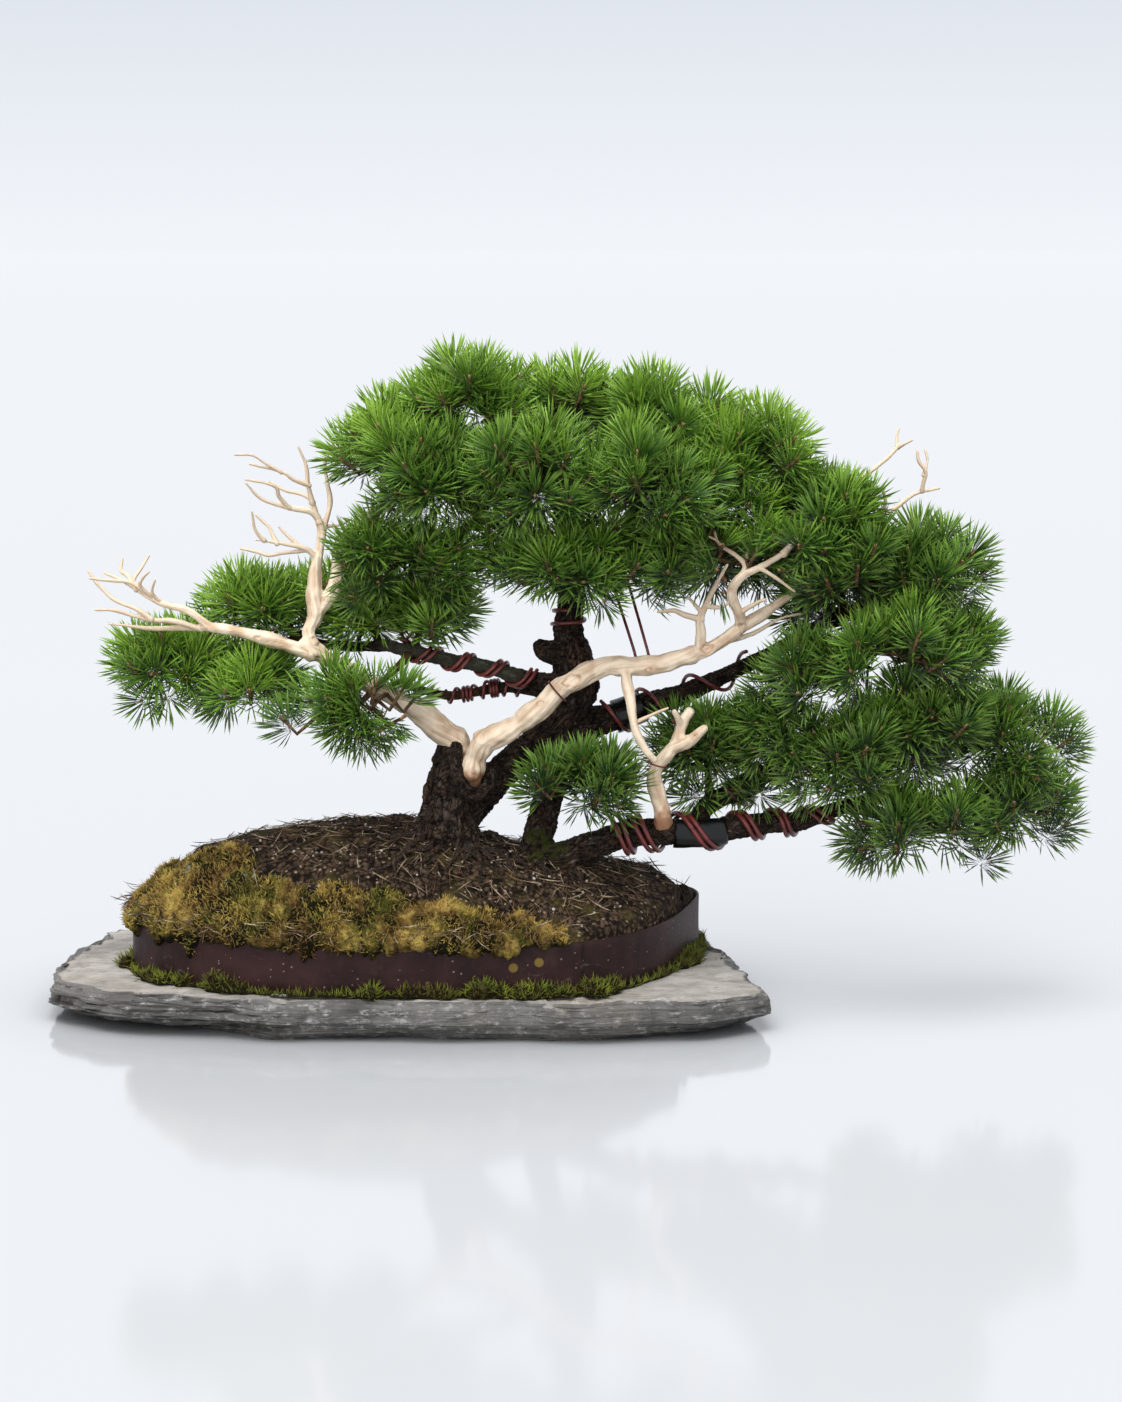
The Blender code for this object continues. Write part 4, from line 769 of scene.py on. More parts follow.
def slate_mesh():
    """The slate: broken edges in thin layers with ledges between them, and a split, flaking top."""
    chance = random.Random(3)
    corners = np.array(SLAB_OUTLINE, float)
    normals = outward(corners)
    packed = []
    for height, inset, rough in SLATE_LEVELS:
        ring = []
        for place, normal in zip(corners, normals):
            beyond = min(max((abs(place[0] - SLAB_FLAT[0]) - SLAB_FLAT[1]) / 120, 0), 1)
            rise = beyond * max(1 - height / 12, 0)
            ring.append(place + normal * (inset + chance.uniform(-rough, rough) - 24 * rise))
        packed.append(ring)
    packed = np.array(packed)
    length = np.append(0, np.cumsum(np.linalg.norm(np.roll(corners, -1, 0) - corners, axis=1)))
    count = SLATE_POINTS
    run = np.arange(count) * length[-1] / count
    closed = np.concatenate([packed, packed[:, :1]], 1)
    packed = np.array([[np.interp(run, length, level[:, a]) for a in (0, 1)] for level in closed])
    packed = packed.transpose(0, 2, 1)
    heights = [level[0] for level in SLATE_LEVELS]
    inward = -outward(np.apply_along_axis(lambda c: np.convolve(np.tile(c, 3), np.ones(15) / 15, "same")
                                          [count:2 * count], 0, packed[2]))

    def at(height):
        i = min(int(np.searchsorted(heights, height, "right")) - 1, len(heights) - 2)
        t = (height - heights[i]) / (heights[i + 1] - heights[i])
        return packed[i] * (1 - t) + packed[i + 1] * t

    around = at(14.0)
    split_left = eased(-around[:, 0], 60, 190) * 0.85 + 0.15
    chipped = layered_noise(np.stack([around[:, 0] / 15, around[:, 1] / 15, np.full(count, 3.0)], -1), 71, 4)
    rings, shades, tops = [], [], []
    for i, (low, high) in enumerate(zip(SLATE_BREAKS, SLATE_BREAKS[1:])):
        spots = np.stack([around[:, 0] / 46, around[:, 1] / 46, i * (0.12 + 0.45 * split_left)], -1)
        deep = np.maximum(layered_noise(spots, 11, 3), -0.2) + 0.2
        fine = layered_noise(spots * (7.0, 7.0, 2.5), 23, 4)
        top = max(0.0, (high - 24) / 6)
        ledge = np.stack([around[:, 0] / 70, around[:, 1] / 70, np.full(count, 3.7 * (high > 7) + 2.9 * (high > 15)
                                                                       + 4.3 * (high > 22))], -1)
        inset = (4.0 + 3.5 * split_left) * deep + 1.3 * (fine + 0.7)
        inset += (3.0 + 11.0 * (split_left - 0.15)) * np.maximum(layered_noise(ledge, 91, 3) + 0.25, 0)
        inset += 2.5 * top * (1 + np.tanh(3 * noise(spots * 1.7, 5))) + 2.2 * top * np.maximum(chipped, 0)
        inset = np.maximum(inset, 0.05)
        under = 0.9 * (lattice(np.array([[i, 3, 1]]), 2)[0] - 0.1) * split_left
        for height, extra in ((low + 0.12, np.maximum(under, 0.0)), (high - 0.12, 0.0)):
            edge = at(min(max(height, 0.0), SLAB_TOP)) + inward * (inset + extra)[:, None]
            wobble = 0.6 * noise(np.stack([around[:, 0] / 22, around[:, 1] / 22, np.full(count, 40.0 + i)], -1))
            lift = np.clip(height + wobble * (1 <= i < len(SLATE_BREAKS) - 2), 0, SLAB_TOP) * (height > 0.2)
            rings.append(np.column_stack([edge, lift]))
            even = 0.5 + 0.3 * np.clip(fine, -1, 1)
            shades.append(even + (0.15 + 0.7 * lattice(np.array([[i, 9, 4]]), 5)[0] - even) * split_left)
            tops.append(np.zeros(count))
    rim = rings[-1][:, :2]
    centre = np.array([0.0, 8.0])
    out = np.linalg.norm(rim - centre, axis=1)
    for distance in TOP_RINGS:
        share = np.maximum(1 - distance / out, 0.02 + 0.001 * distance)
        spot = centre + (rim - centre) * share[:, None]
        ground = np.column_stack([spot / 30, np.zeros(count)])
        flake = np.maximum(layered_noise(ground * (1.0, 2.0, 1.0), 31, 3), 0)
        split = eased(flake - distance / 60, 0.0, 0.03) + eased(flake - distance / 26 - 0.22, 0, 0.03)
        roll = 0.4 * layered_noise(ground * 1.3, 61, 4) + 0.25 * layered_noise(ground * 5.1, 64, 2)
        height = SLAB_TOP - 0.3 - 1.5 * split + np.minimum(roll, 0.3)
        rings.append(np.column_stack([spot, height]))
        shades.append(0.6 + 0.25 * (1 - split) + 0.15 * np.clip(roll, -1, 1))
        tops.append(np.full(count, min(distance / 2.6, 1.0)))
    skin = Skin()
    skin.add_rings(rings, shade=np.clip(np.concatenate(shades), 0, 1), top=np.concatenate(tops))
    return skin.mesh("slate")


def strip_mesh():
    """One strip round the mound with softened edges, its outer end lapped over its inner end in front."""
    count, lap = RING_STEPS * 10, 1.0
    k = np.arange(count + 1) * RING_STEPS / count
    step = k * (RING_STEPS + lap) / RING_STEPS - lap
    tuck = np.maximum(0.0, 1.0 - k / 6) * (BAND_THICK + GAP)
    sway = np.column_stack([step / 1.9, step * 0, step * 0])
    top = BAND_TOP - 0.35 * (1 + noise(sway, 4)) - 0.2 * (1 + noise(sway * 4, 8))
    dent = 0.35 * (1 + noise(sway * 1.3, 14))
    foot, soft = SLAB_TOP + GAP, 0.45
    outline = [(-BAND_THICK, soft, 0), (-BAND_THICK + soft, 0, 0), (-soft, 0, 0), (0, soft, 0), (0, 10, 0.3),
               (0, 22, 1), (0, 34, 0.6), (0, -soft, 0), (-soft, -0.0001, 0), (-BAND_THICK + soft, -0.0001, 0),
               (-BAND_THICK, -soft, 0)]
    columns = []
    for distance, height, dented in outline:
        spot = ring_point(step, distance - tuck - dented * dent * (distance == 0))
        level = foot + height if height >= 0 else top + height
        columns.append(np.column_stack([spot, np.broadcast_to(level, len(step))]))
    skin = Skin()
    skin.add_rings(np.stack(columns, 1))
    return skin.mesh("strip")


def soil_mesh():
    """The mound of soil: crumbs and small clods over its ridge."""
    count = SOIL_POINTS
    step = np.arange(count) * RING_STEPS / count
    edge = ring_point(step, np.full(count, SOIL_REACH))
    rings = [np.column_stack([edge, np.full(count, SLAB_TOP + GAP)])]
    for row in np.linspace(1, 0.012, SOIL_RINGS):
        spot = MOUND_MIDDLE + (edge - MOUND_MIDDLE) * row
        flat = np.column_stack([spot, np.zeros(count)])
        near, _, own = cells(flat / 8, 3)
        crumb = (0.55 - near) * 2.2 + 1.3 * layered_noise(flat / 5, 9, 3) + (own - 0.5) * 1.2
        crumb -= 2.4 * np.maximum(layered_noise(flat / 21, 19, 2), 0)
        fade = min((1 - row) * 14, 1)
        rings.append(np.column_stack([spot, mound_height(*spot.T) + (crumb - 1.6) * fade - 0.3]))
    skin = Skin()
    skin.add_rings(rings)
    return skin.mesh("soil")


def mound_point(x, y):
    return np.column_stack([x, y, mound_height(x, y)])


def mound_spots(chance, count, power, reach):
    """Random places on the mound, reach millimetres from the strip at the most."""
    turn, share = chance.uniform(0, math.tau, count), chance.random(count) ** power
    edge = ring_point(turn / math.tau * RING_STEPS, np.full(count, reach))
    return MOUND_MIDDLE + (edge - MOUND_MIDDLE) * share[:, None]


def clumped(mesh, size, high, seed):
    """Raises shaggy cushions over a mesh of moss, drawn down its slope, and keeps their height."""
    places, ways = mesh_points(mesh), mesh_normals(mesh)
    drawn = places * (1.0, 0.8, 0.55) + 3.0 * np.column_stack([noise(places / 9, k) for k in (1, 2, 3)])
    near, _, own = cells(drawn / size, seed)
    small = cells(drawn / (size * 0.36), seed + 3)[0]
    broad = layered_noise(places / 30, seed + 9, 2)
    lift = high * (0.7 - near**1.5) + high * 0.6 * (0.5 - small) + high * 0.5 * (own - 0.5) + high * 0.45 * broad
    move_points(mesh, places + ways * lift[:, None])
    store(mesh, "cushion", lift / high)


def mound_moss_mesh():
    """Cushion of moss on the left and front of the mound, hanging over the strip's top."""
    first, last = MOSS_STEPS
    count = 300
    t = np.arange(count + 1) / count
    step = first + (last - first) * t
    fade = np.sin(math.pi * np.clip(t, 0.6 / 18, 1 - 0.6 / 18)) ** 0.5
    along = np.column_stack([step, step * 0, step * 0])
    ragged = layered_noise(along * 2.2, 3, 3)
    wide = (33 + 5 * np.sin(step * 1.9) + 26 * np.clip((30 - step) / 4, 0, 1)) * fade * (1 + 0.2 * ragged)
    thick = (7 + 2.0 * np.sin(step * 2.3) + 1.2 * np.sin(step * 5.1)) * fade
    hang = (6 + 3.5 * np.sin(step * 1.7 + 1) + 2.5 * np.sin(step * 4.3)) * fade
    hang = np.maximum(hang * (1 + 0.6 * noise(along * 5, 6) + 0.5 * noise(along * 13, 7)), 1.0)
    controls = []
    for share, lift in ((1.0, -3.0), (0.97, 0.25), (0.9, 0.6), (0.75, 0.85), (0.6, 1.0), (0.45, 1.0), (0.3, 1.0),
                        (0.17, 1.0)):
        spot = ring_point(step, -wide * share)
        bare = eased(layered_noise(np.column_stack([spot / 17, spot[:, 0] * 0]), 27, 3), 0.0, 0.5)
        rise = lift * thick * (1 - 1.25 * bare * eased(share, 0.25, 0.7)) if lift > 0 else lift
        controls.append(np.column_stack([spot, mound_height(*spot.T) + rise]))
    spot = ring_point(step, np.full(count + 1, -3.0))
    controls.append(np.column_stack([spot, np.maximum(mound_height(*spot.T), BAND_TOP) + thick * 0.8]))
    for distance, level in ((1.8, thick * 0.42), (2.9, thick * 0.1), (3.1, -hang * 0.5), (2.9, -hang)):
        spot = ring_point(step, np.full(count + 1, distance))
        controls.append(np.column_stack([spot, BAND_TOP + level]))
    spot = ring_point(step, np.full(count + 1, -3.5))
    controls.append(np.column_stack([spot, BAND_TOP - hang - 3]))
    rings = []
    for section in np.stack(controls, 1):
        place = np.linspace(0, len(section) - 1, 37)
        rings.append(np.column_stack([np.interp(place, np.arange(len(section)), axis) for axis in section.T]))
    skin = Skin()
    skin.add_rings(rings)
    mesh = skin.mesh("moss_cushion")
    clumped(mesh, 13.0, 4.2, 41)
    return mesh


def foot_moss_mesh():
    """Low clumps of moss on the slate along the strip's foot, with bare places between them."""
    count = 460
    k = np.arange(count) * RING_STEPS / count
    clump = layered_noise(np.column_stack([k * 1.15, k * 0, k * 0 + 2]), 77, 3)
    full = 0.16 + 0.84 * eased(clump, -0.25, 0.4)
    high = (8.0 + 2.5 * np.sin(k * 1.9) + 1.5 * np.sin(k * 4.1 + 2)) * full
    wide = (12 + 3 * np.sin(k * 1.3 + 1) + 2 * np.sin(k * 3.7)) * (0.35 + 0.65 * full)
    section = [(0, 0), (0, 0.45), (0.02, 0.85), (0.2, 1.0), (0.4, 1.02), (0.6, 0.93), (0.78, 0.72),
               (0.92, 0.4), (1.0, 0.1), (1.0, 0)]
    columns = []
    for share, lift in section:
        spot = ring_point(k, 2 * GAP + wide * share)
        columns.append(np.column_stack([spot, SLAB_TOP + GAP + high * lift]))
    skin = Skin()
    skin.add_rings(np.stack(columns, 1), round_rows=True)
    mesh = skin.mesh("moss_foot")
    places, ways = mesh_points(mesh), mesh_normals(mesh)
    near, _, own = cells(places / 6.5, 51)
    tall = np.clip((places[:, 2] - SLAB_TOP) / 6, 0, 1)
    lift = tall * (2.4 * (0.6 - near) + 1.3 * (own - 0.5)) * (ways[:, 2] > -0.3)
    move_points(mesh, places + ways * lift[:, None])
    store(mesh, "cushion", lift)
    return mesh


def scattered(mesh, count, seed, keep=None):
    """Points spread evenly over a mesh's faces, with the faces' normals."""
    chance = np.random.default_rng(seed)
    mesh.calc_loop_triangles()
    corners = np.array([t.vertices[:] for t in mesh.loop_triangles])
    places = mesh_points(mesh)
    a, b, c = (places[corners[:, k]] for k in range(3))
    across = np.cross(b - a, c - a)
    area = np.linalg.norm(across, axis=1)
    normal = unit(across)
    weight = area * (keep((a + b + c) / 3, normal) if keep else 1.0)
    chosen = chance.choice(len(area), count, p=weight / weight.sum())
    u, v = chance.random((2, count))
    flip = u + v > 1
    u, v = np.where(flip, 1 - u, u), np.where(flip, 1 - v, v)
    spots = a[chosen] + (b - a)[chosen] * u[:, None] + (c - a)[chosen] * v[:, None]
    return spots, normal[chosen], chance


# Blades and grains that grow from points --------------------------------------------------------------

def point_tree(name, inputs, build):
    """Geometry Nodes that set one shape on each point of a mesh.

    The points carry way, the direction of the shape, bend_way, the side that it bends to, and size.
    """
    tree = bpy.data.node_groups.new(name, "GeometryNodeTree")
    tree.is_modifier = True
    for label, kind, value in (("Geometry", "Geometry", None), *inputs, ("Material", "Material", None)):
        socket = tree.interface.new_socket(label, in_out="INPUT", socket_type="NodeSocket" + kind)
        if value is not None:
            socket.default_value = value
    tree.interface.new_socket("Geometry", in_out="OUTPUT", socket_type="NodeSocketGeometry")
    n = Nodes(tree)
    source = n.add("NodeGroupInput").outputs
    turn = n.add("FunctionNodeAxesToRotation", {
        "Primary Axis": n.point_value("way"), "Secondary Axis": n.point_value("bend_way")},
        primary_axis="Z", secondary_axis="X").outputs[0]
    placed = n.add("GeometryNodeInstanceOnPoints", {
        "Points": source["Geometry"], "Instance": build(n, source), "Rotation": turn,
        "Scale": n.point_value("size", "FLOAT")}).outputs[0]
    real = n.add("GeometryNodeRealizeInstances", {"Geometry": placed}).outputs[0]
    done = n.add("GeometryNodeSetMaterial", {"Geometry": real, "Material": source["Material"]}).outputs[0]
    n.set(n.add("NodeGroupOutput").inputs[0], done)
    return tree


def blade(n, source):
    """One bent blade that narrows to its point."""
    line = n.add("GeometryNodeCurvePrimitiveLine", {"Start": (0, 0, 0), "End": (0, 0, 1)}).outputs[0]
    spaced = n.add("GeometryNodeResampleCurve", {"Curve": line, "Count": n.plus(source["Segments"], 1.0)},
                   mode="COUNT").outputs[0]
    far = n.math("POWER", n.add("GeometryNodeSplineParameter").outputs["Factor"], 0.5)
    named = n.add("GeometryNodeStoreNamedAttribute", {"Geometry": spaced, "Name": "along", "Value": far},
                  data_type="FLOAT", domain="POINT").outputs[0]
    along = n.point_value("along", "FLOAT")
    aside = n.times(n.times(along, along), n.times(source["Length"], source["Bend"]))
    bent = n.add("ShaderNodeCombineXYZ", {"X": aside, "Z": n.times(source["Length"], along)}).outputs[0]
    curve = n.add("GeometryNodeSetPosition", {"Geometry": named, "Position": bent}).outputs[0]
    narrow = n.minus(1.0, n.math("POWER", along, 4.0))
    rooted = n.larger(source["Root"], n.math("MINIMUM", n.times(along, 8.0), 1.0))
    radius = n.times(n.times(narrow, rooted), source["Thickness"])
    profile = n.add("GeometryNodeCurvePrimitiveCircle", {"Resolution": 3, "Radius": 1.0}).outputs[0]
    mesh = n.add("GeometryNodeCurveToMesh", {"Curve": curve, "Profile Curve": profile, "Scale": radius,
                                             "Fill Caps": True}).outputs[0]
    return n.add("GeometryNodeMergeByDistance", {"Geometry": mesh, "Distance": 1e-6}).outputs[0]


def grain(n, source):
    """One small uneven lump, such as grit or a bud."""
    ball = n.add("GeometryNodeMeshUVSphere", {"Segments": source["Sides"], "Rings": source["Rings"],
                                              "Radius": source["Radius"]}).outputs[0]
    shape = n.add("ShaderNodeCombineXYZ", {"X": 1.0, "Y": 0.85, "Z": source["Stretch"]}).outputs[0]
    return n.add("GeometryNodeTransform", {"Geometry": ball, "Scale": shape}).outputs[0]


BLADE_INPUTS = (("Length", "Float", 0.035), ("Thickness", "Float", 0.0009), ("Bend", "Float", 0.1),
                ("Root", "Float", 0.0), ("Segments", "Int", 2))
GRAIN_INPUTS = (("Radius", "Float", 0.001), ("Stretch", "Float", 1.0), ("Sides", "Int", 6), ("Rings", "Int", 4))


def grown(name, kind, slot, made, points, inputs, replaced=(), smooth=True, **values):
    """A piece that Geometry Nodes grow from points: their places, ways, sides to bend to and sizes."""
    spots, ways, bends, sizes = points
    tree = TREES[kind]
    mesh = bpy.data.meshes.new(name + "_points")
    mesh.from_pydata((np.asarray(spots) * MM).tolist(), [], [])
    for key, value in (("way", ways), ("bend_way", bends), ("size", sizes), *values.items()):
        store(mesh, key, value)
    work = linked(name + "_points", mesh)
    step = work.modifiers.new(tree.name, "NODES")
    step.node_group = tree
    sockets = {item.name: item.identifier for item in tree.interface.items_tree if item.in_out == "INPUT"}
    for key, value in (("Material", made), *inputs.items()):
        step[sockets[key]] = value
    mesh = evaluated(work, name)
    for key in ("way", "bend_way", "size"):
        if key in mesh.attributes:
            mesh.attributes.remove(mesh.attributes[key])
    return handed_over(name, mesh, made, replaced, smooth)


def any_side(ways, chance):
    """A random direction square to each of the given ones."""
    return unit(np.cross(ways, chance.normal(size=ways.shape)))


# Live wood, dead wood and wires -----------------------------------------------------------------------

FLAKE_STRETCH = 2.1
GRAIN_LENGTH = 46


def shoot_route(spray):
    """The live shoot from a limb towards its spray."""
    limb, index, centre, radii, _ = SPRAYS[spray]
    start, target = np.array(LIVE_LIMBS[limb][index][:3], float), np.array(centre, float)
    way = target - start
    length = np.linalg.norm(way)
    return start, start + way / length * max(length - 0.55 * max(radii), 0.4 * length)


def tapered(route, start, end):
    """Rows of (x, y, z, radius) whose radius falls evenly along a route."""
    route = np.array(route, float)
    run = np.append(0, np.cumsum(np.linalg.norm(np.diff(route, axis=0), axis=1)))
    return np.column_stack([route, start + (end - start) * run / run[-1]])


def flake_width(radius):
    return np.clip(0.34 * radius, 2.8, 6.5)


def sampled(limbs, step=2.5):
    """Samples of smooth limbs: place, radius, length so far, bark flakes so far, and the three ways there."""
    tables = []
    for number, rows in enumerate(limbs):
        path = smooth_rows(rows, step)
        run = np.append(0, np.cumsum(np.linalg.norm(np.diff(path[:, :3], axis=0), axis=1)))
        flow = np.append(0, np.cumsum(np.diff(run) / (FLAKE_STRETCH * flake_width(path[1:, 3])))) + 31.3 * number
        tables.append(np.column_stack([path, run + 211.0 * number, flow, *frames(path[:, :3])]))
    return np.vstack(tables)


def limb_places(points, table):
    """For each point its limb's sample, the lengths along and across, and the flakes so far."""
    number = np.empty(len(points), int)
    square = (table[:, :3] ** 2).sum(1)
    for i in range(0, len(points), 4000):
        part = points[i:i + 4000]
        apart = (part**2).sum(1)[:, None] + square - 2 * part @ table[:, :3].T
        number[i:i + 4000] = (np.sqrt(np.maximum(apart, 0)) - table[:, 3]).argmin(1)
    own = table[number]
    off = points - own[:, :3]
    ahead, side, up = ((off * own[:, k:k + 3]).sum(1) for k in (6, 9, 12))
    return own, own[:, 4] + ahead, side, up, own[:, 5] + ahead / (FLAKE_STRETCH * flake_width(own[:, 3]))


def live_limbs():
    """Every live limb, the bark's lips round the bare limbs, and the shoots that lead to the sprays."""
    limbs = [np.array(rows, float) for rows in (*LIVE_LIMBS.values(), *BARK_LIPS)]
    for number, spray in enumerate(SPRAYS):
        start, end = shoot_route(spray)
        t = np.linspace(0, 1, 5)[:, None]
        bow = 0.035 * np.linalg.norm(end - start) * np.sin(math.pi * t) * np.array(
            [math.sin(number * 2.1), math.cos(number * 1.3), 0.5 * math.sin(number * 3.7)])
        limbs.append(np.column_stack([start + (end - start) * t + bow, 3.8 - 0.8 * t]))
    return limbs


def bark_mesh(voxel, relief):
    """Trunks, branches and shoots grown together, with ragged flakes of bark and deep cracks."""
    limbs = live_limbs()
    skin = Skin()
    for rows in limbs:
        skin.add_tube(smooth_rows(rows, 3.0), 20 if rows[0, 3] > 9 else 12)
    mesh = joined_skin(skin, "live_wood", voxel, 2)
    places, ways = mesh_points(mesh), mesh_normals(mesh)
    own, _, side, up, flow = limb_places(places, sampled(limbs))
    radius = own[:, 3]
    spots = np.column_stack([flow, side / flake_width(radius), up / flake_width(radius)])
    spots += 0.75 * np.column_stack([noise(spots * 0.8, k) for k in (2, 3, 4)])
    spots += 0.28 * np.column_stack([noise(spots * 2.9, k) for k in (12, 13, 14)])
    first, second, tint = cells(spots, 15)
    small, other, flake = cells(spots * (1.9, 2.3, 2.3), 19)
    plate = eased(second - first, 0.0, 0.22) * (0.35 + 0.65 * tint)
    scale = plate * 0.62 + 0.42 * eased(other - small, 0.0, 0.3) * (0.25 + 0.75 * flake)
    rough = layered_noise(places / 5.2, 36, 3)
    young = eased(-radius, -4.6, -3.9)
    depth = relief * np.clip(0.2 * radius, 0.4, 4.4) * (1 - 0.55 * young)
    lumps = 0.06 * radius * layered_noise(places / 17, 6, 3) * (1 - young)
    move_points(mesh, places + ways * (depth * (scale - 0.6 + 0.22 * rough) + lumps)[:, None])
    x, _, z = places.T
    branch = eased(100 - x, 0, 24) * eased(z, 236, 246) * eased(306 - z, 0, 12) * eased(radius, 4.6, 5.4)
    base = eased(26 - np.linalg.norm((places - (108, -12, 128)) * (1, 0.6, 1), axis=1), 0, 14)
    for name, value in (("flake", np.clip(scale + 0.2 * rough, 0, 1)), ("young", young),
                        ("green", branch), ("mossy", base * eased(rough, -0.3, 0.5))):
        store(mesh, name, value)
    store(mesh, "flakes", spots)
    return mesh


def bare_mesh(name, limbs, voxel, seed, knots):
    """A stripped limb and its twigs: smooth wood with swellings, long ridges, knots and worn hollows."""
    rows = [tapered(*limb) for limb in limbs + DEAD_ROOTS.get(name, [])]
    thick, thin = Skin(), []
    for row in rows:
        path = smooth_rows(row, 2.0)
        run = np.linspace(0, len(path) * 2.0, len(path))
        spots = np.column_stack([run / 19, run * 0 + row[0, 3], run * 0 + row[-1, 1] / 9])
        if row[0, 3] > 2.9:
            path[:, 3] *= 1 + 0.15 * noise(spots, seed) + 0.09 * noise(spots * 2.7, seed + 2)
            path[:, :3] += 0.16 * path[:, 3:] * np.column_stack([noise(spots * 1.4 + 9 * k, seed + k)
                                                                 for k in range(3)])
            thick.add_tube(path, 16 if row[0, 3] > 5.5 else 10)
        else:
            path[:, 3] *= 1.08 + 0.2 * noise(spots * 2.2, seed) + 0.35 * np.exp(-run / 3.0)
            path[:, :3] += 0.5 * np.column_stack([noise(spots * 2.6 + 9 * k, seed + k) for k in range(3)])
            thin.append(path)
    core = joined_skin(thick, name + "_core", voxel, 2)
    skin = Skin()
    skin.add(mesh_points(core), [list(face.vertices) for face in core.polygons])
    bpy.data.meshes.remove(core)
    for path in thin:
        skin.add_tube(path, 8)
    mesh = skin.mesh(name)
    places, ways = mesh_points(mesh), mesh_normals(mesh)
    own, run, side, up, _ = limb_places(places, sampled(rows, 2.0))
    radius = own[:, 3]
    angle = np.arctan2(up, side) + run * 0.017
    round_limb = np.column_stack([np.cos(angle), np.sin(angle)])
    grain = np.column_stack([run / GRAIN_LENGTH, round_limb * 1.25])
    ridges = 0.7 * noise(grain * (1, 1.6, 1.6), seed) + 0.45 * noise(grain * (1.7, 3.4, 3.4), seed + 1)
    furrow = np.minimum(np.abs(noise(grain * (0.9, 1.5, 1.5), seed + 5)) * 6, 1) - 1
    depth = np.clip(0.11 * radius, 0.05, 0.95) * eased(radius, 1.2, 4)
    swelling = 0.09 * radius * layered_noise(places / 9, seed + 21, 2)
    lift = depth * (ridges + 0.55 * furrow) + swelling
    knot, rim = np.zeros(len(places)), np.zeros(len(places))
    for x, y, z, size in knots:
        away = np.linalg.norm((places - (x, y, z)) * (0.8, 1, 1.15), axis=1) / size
        away += 0.25 * noise(places / 4, 5)
        lift += 0.3 * size * (np.exp(-((away - 1.15) / 0.35) ** 2) * 0.65 - np.exp(-(away / 0.75) ** 2) * 1.0)
        knot = np.maximum(knot, np.exp(-(away / 0.7) ** 2) * min(3.2 / size, 1))
        rim = np.maximum(rim, np.exp(-((away - 0.9) / 0.16) ** 2) * (0.6 + 0.4 * noise(places / 3, 8)))
    move_points(mesh, places + ways * lift[:, None])
    # Sunk places of the wood, in its grooves and between its ridges and swellings. The finish browns them, partly as
    # stain and partly as painted shade.
    worn = np.clip(furrow * -0.6 - 0.5 * ridges - 8 * swelling / np.maximum(radius, 1) + 0.1, 0, 1)
    for key, value in (("grain", np.column_stack([run / GRAIN_LENGTH, round_limb * radius[:, None] / 6])),
                       ("knot", knot), ("rim", rim), ("furrow", worn * eased(radius, 1.5, 4)),
                       ("girth", radius), ("root", root_share(name, places))):
        store(mesh, key, value)
    return mesh


def root_share(name, places):
    """1 where a bare limb leaves the bark, and less away from it."""
    x, y, z, reach = {"deadwood_left": (37, -3, 206, 15), "deadwood_right": (51, -17, 184, 17),
                      "deadwood_stub": (203, -16, 150, 26)}[name]
    away = np.linalg.norm(places - (x, y, z), axis=1) / reach
    return 1 - eased(away + 0.25 * layered_noise(places / 4, 3, 2), 0.45, 1.0)


WIRED_LIMBS = {name: np.array(rows, float) for name, rows in LIVE_LIMBS.items()}
WIRED_LIMBS["dead_right"] = tapered(*DEAD_RIGHT[0])


def limb_at(limb, place):
    """Point, radius and the ways to the front and the top, at a place counted in points along a limb."""
    rows = WIRED_LIMBS[limb]
    i = min(int(place), len(rows) - 2)
    t = place - i
    a, b, c, d = with_ends(rows)[i:i + 4]
    spot = between(a, b, c, d, t)
    tangent = unit(0.5 * (c - a + 2 * (2 * a - 5 * b + 4 * c - d) * t + 3 * (3 * b - a - 3 * c + d) * t**2)[:3])
    front = np.array([0.0, -1.0, 0.0])
    front = unit(front - tangent * front.dot(tangent))
    top = np.cross(front, tangent)
    return spot[:3], spot[3], front, -top if top[2] < 0 else top


def coil(limb, keys, steps=18):
    """Points of a wire wound round a limb.

    Each key is a place along the limb, the turns made there, 0 in front and a quarter above, and how far
    the wire's middle stands off the skin.
    """
    places, turns, stands = (np.array(column) for column in zip(*keys))
    count = max(round(abs(turns[-1] - turns[0]) * steps), 4)
    route = []
    for k in range(count + 1):
        made = turns[0] + (turns[-1] - turns[0]) * k / count
        spot, radius, front, top = limb_at(limb, float(np.interp(-made, -turns, places)))
        reach = radius + float(np.interp(-made, -turns, stands))
        route.append(spot + reach * (math.cos(math.tau * made) * front + math.sin(math.tau * made) * top))
    return np.array(route)


def doubled(limb, keys, apart):
    """One wire wound out along a limb and back beside itself."""
    beside = [(place + apart, turn, stand) for place, turn, stand in keys]
    return np.vstack([coil(limb, keys), coil(limb, beside)[::-1]])


def guy(limb, place, foot, radius):
    """A thin guy wire tied round a live limb and hooked behind the dead limb below it."""
    stand = radius + GAP
    round_limb = coil(limb, [(place, 0.75, stand), (place + 0.04, -0.2, stand)])
    hook = coil("dead_right", [(foot, 0.58, stand), (foot, 0.25, stand)])
    return np.vstack([round_limb, hook[::-1]])


def wire_mesh(name, route, radius, sides):
    """A round coated wire along its route, with soft bends."""
    for _ in range(2):
        route[1:-1] = 0.25 * route[:-2] + 0.5 * route[1:-1] + 0.25 * route[2:]
    skin = Skin()
    skin.add_tube(np.column_stack([route, np.full(len(route), radius)]), sides)
    return skin.mesh(name)


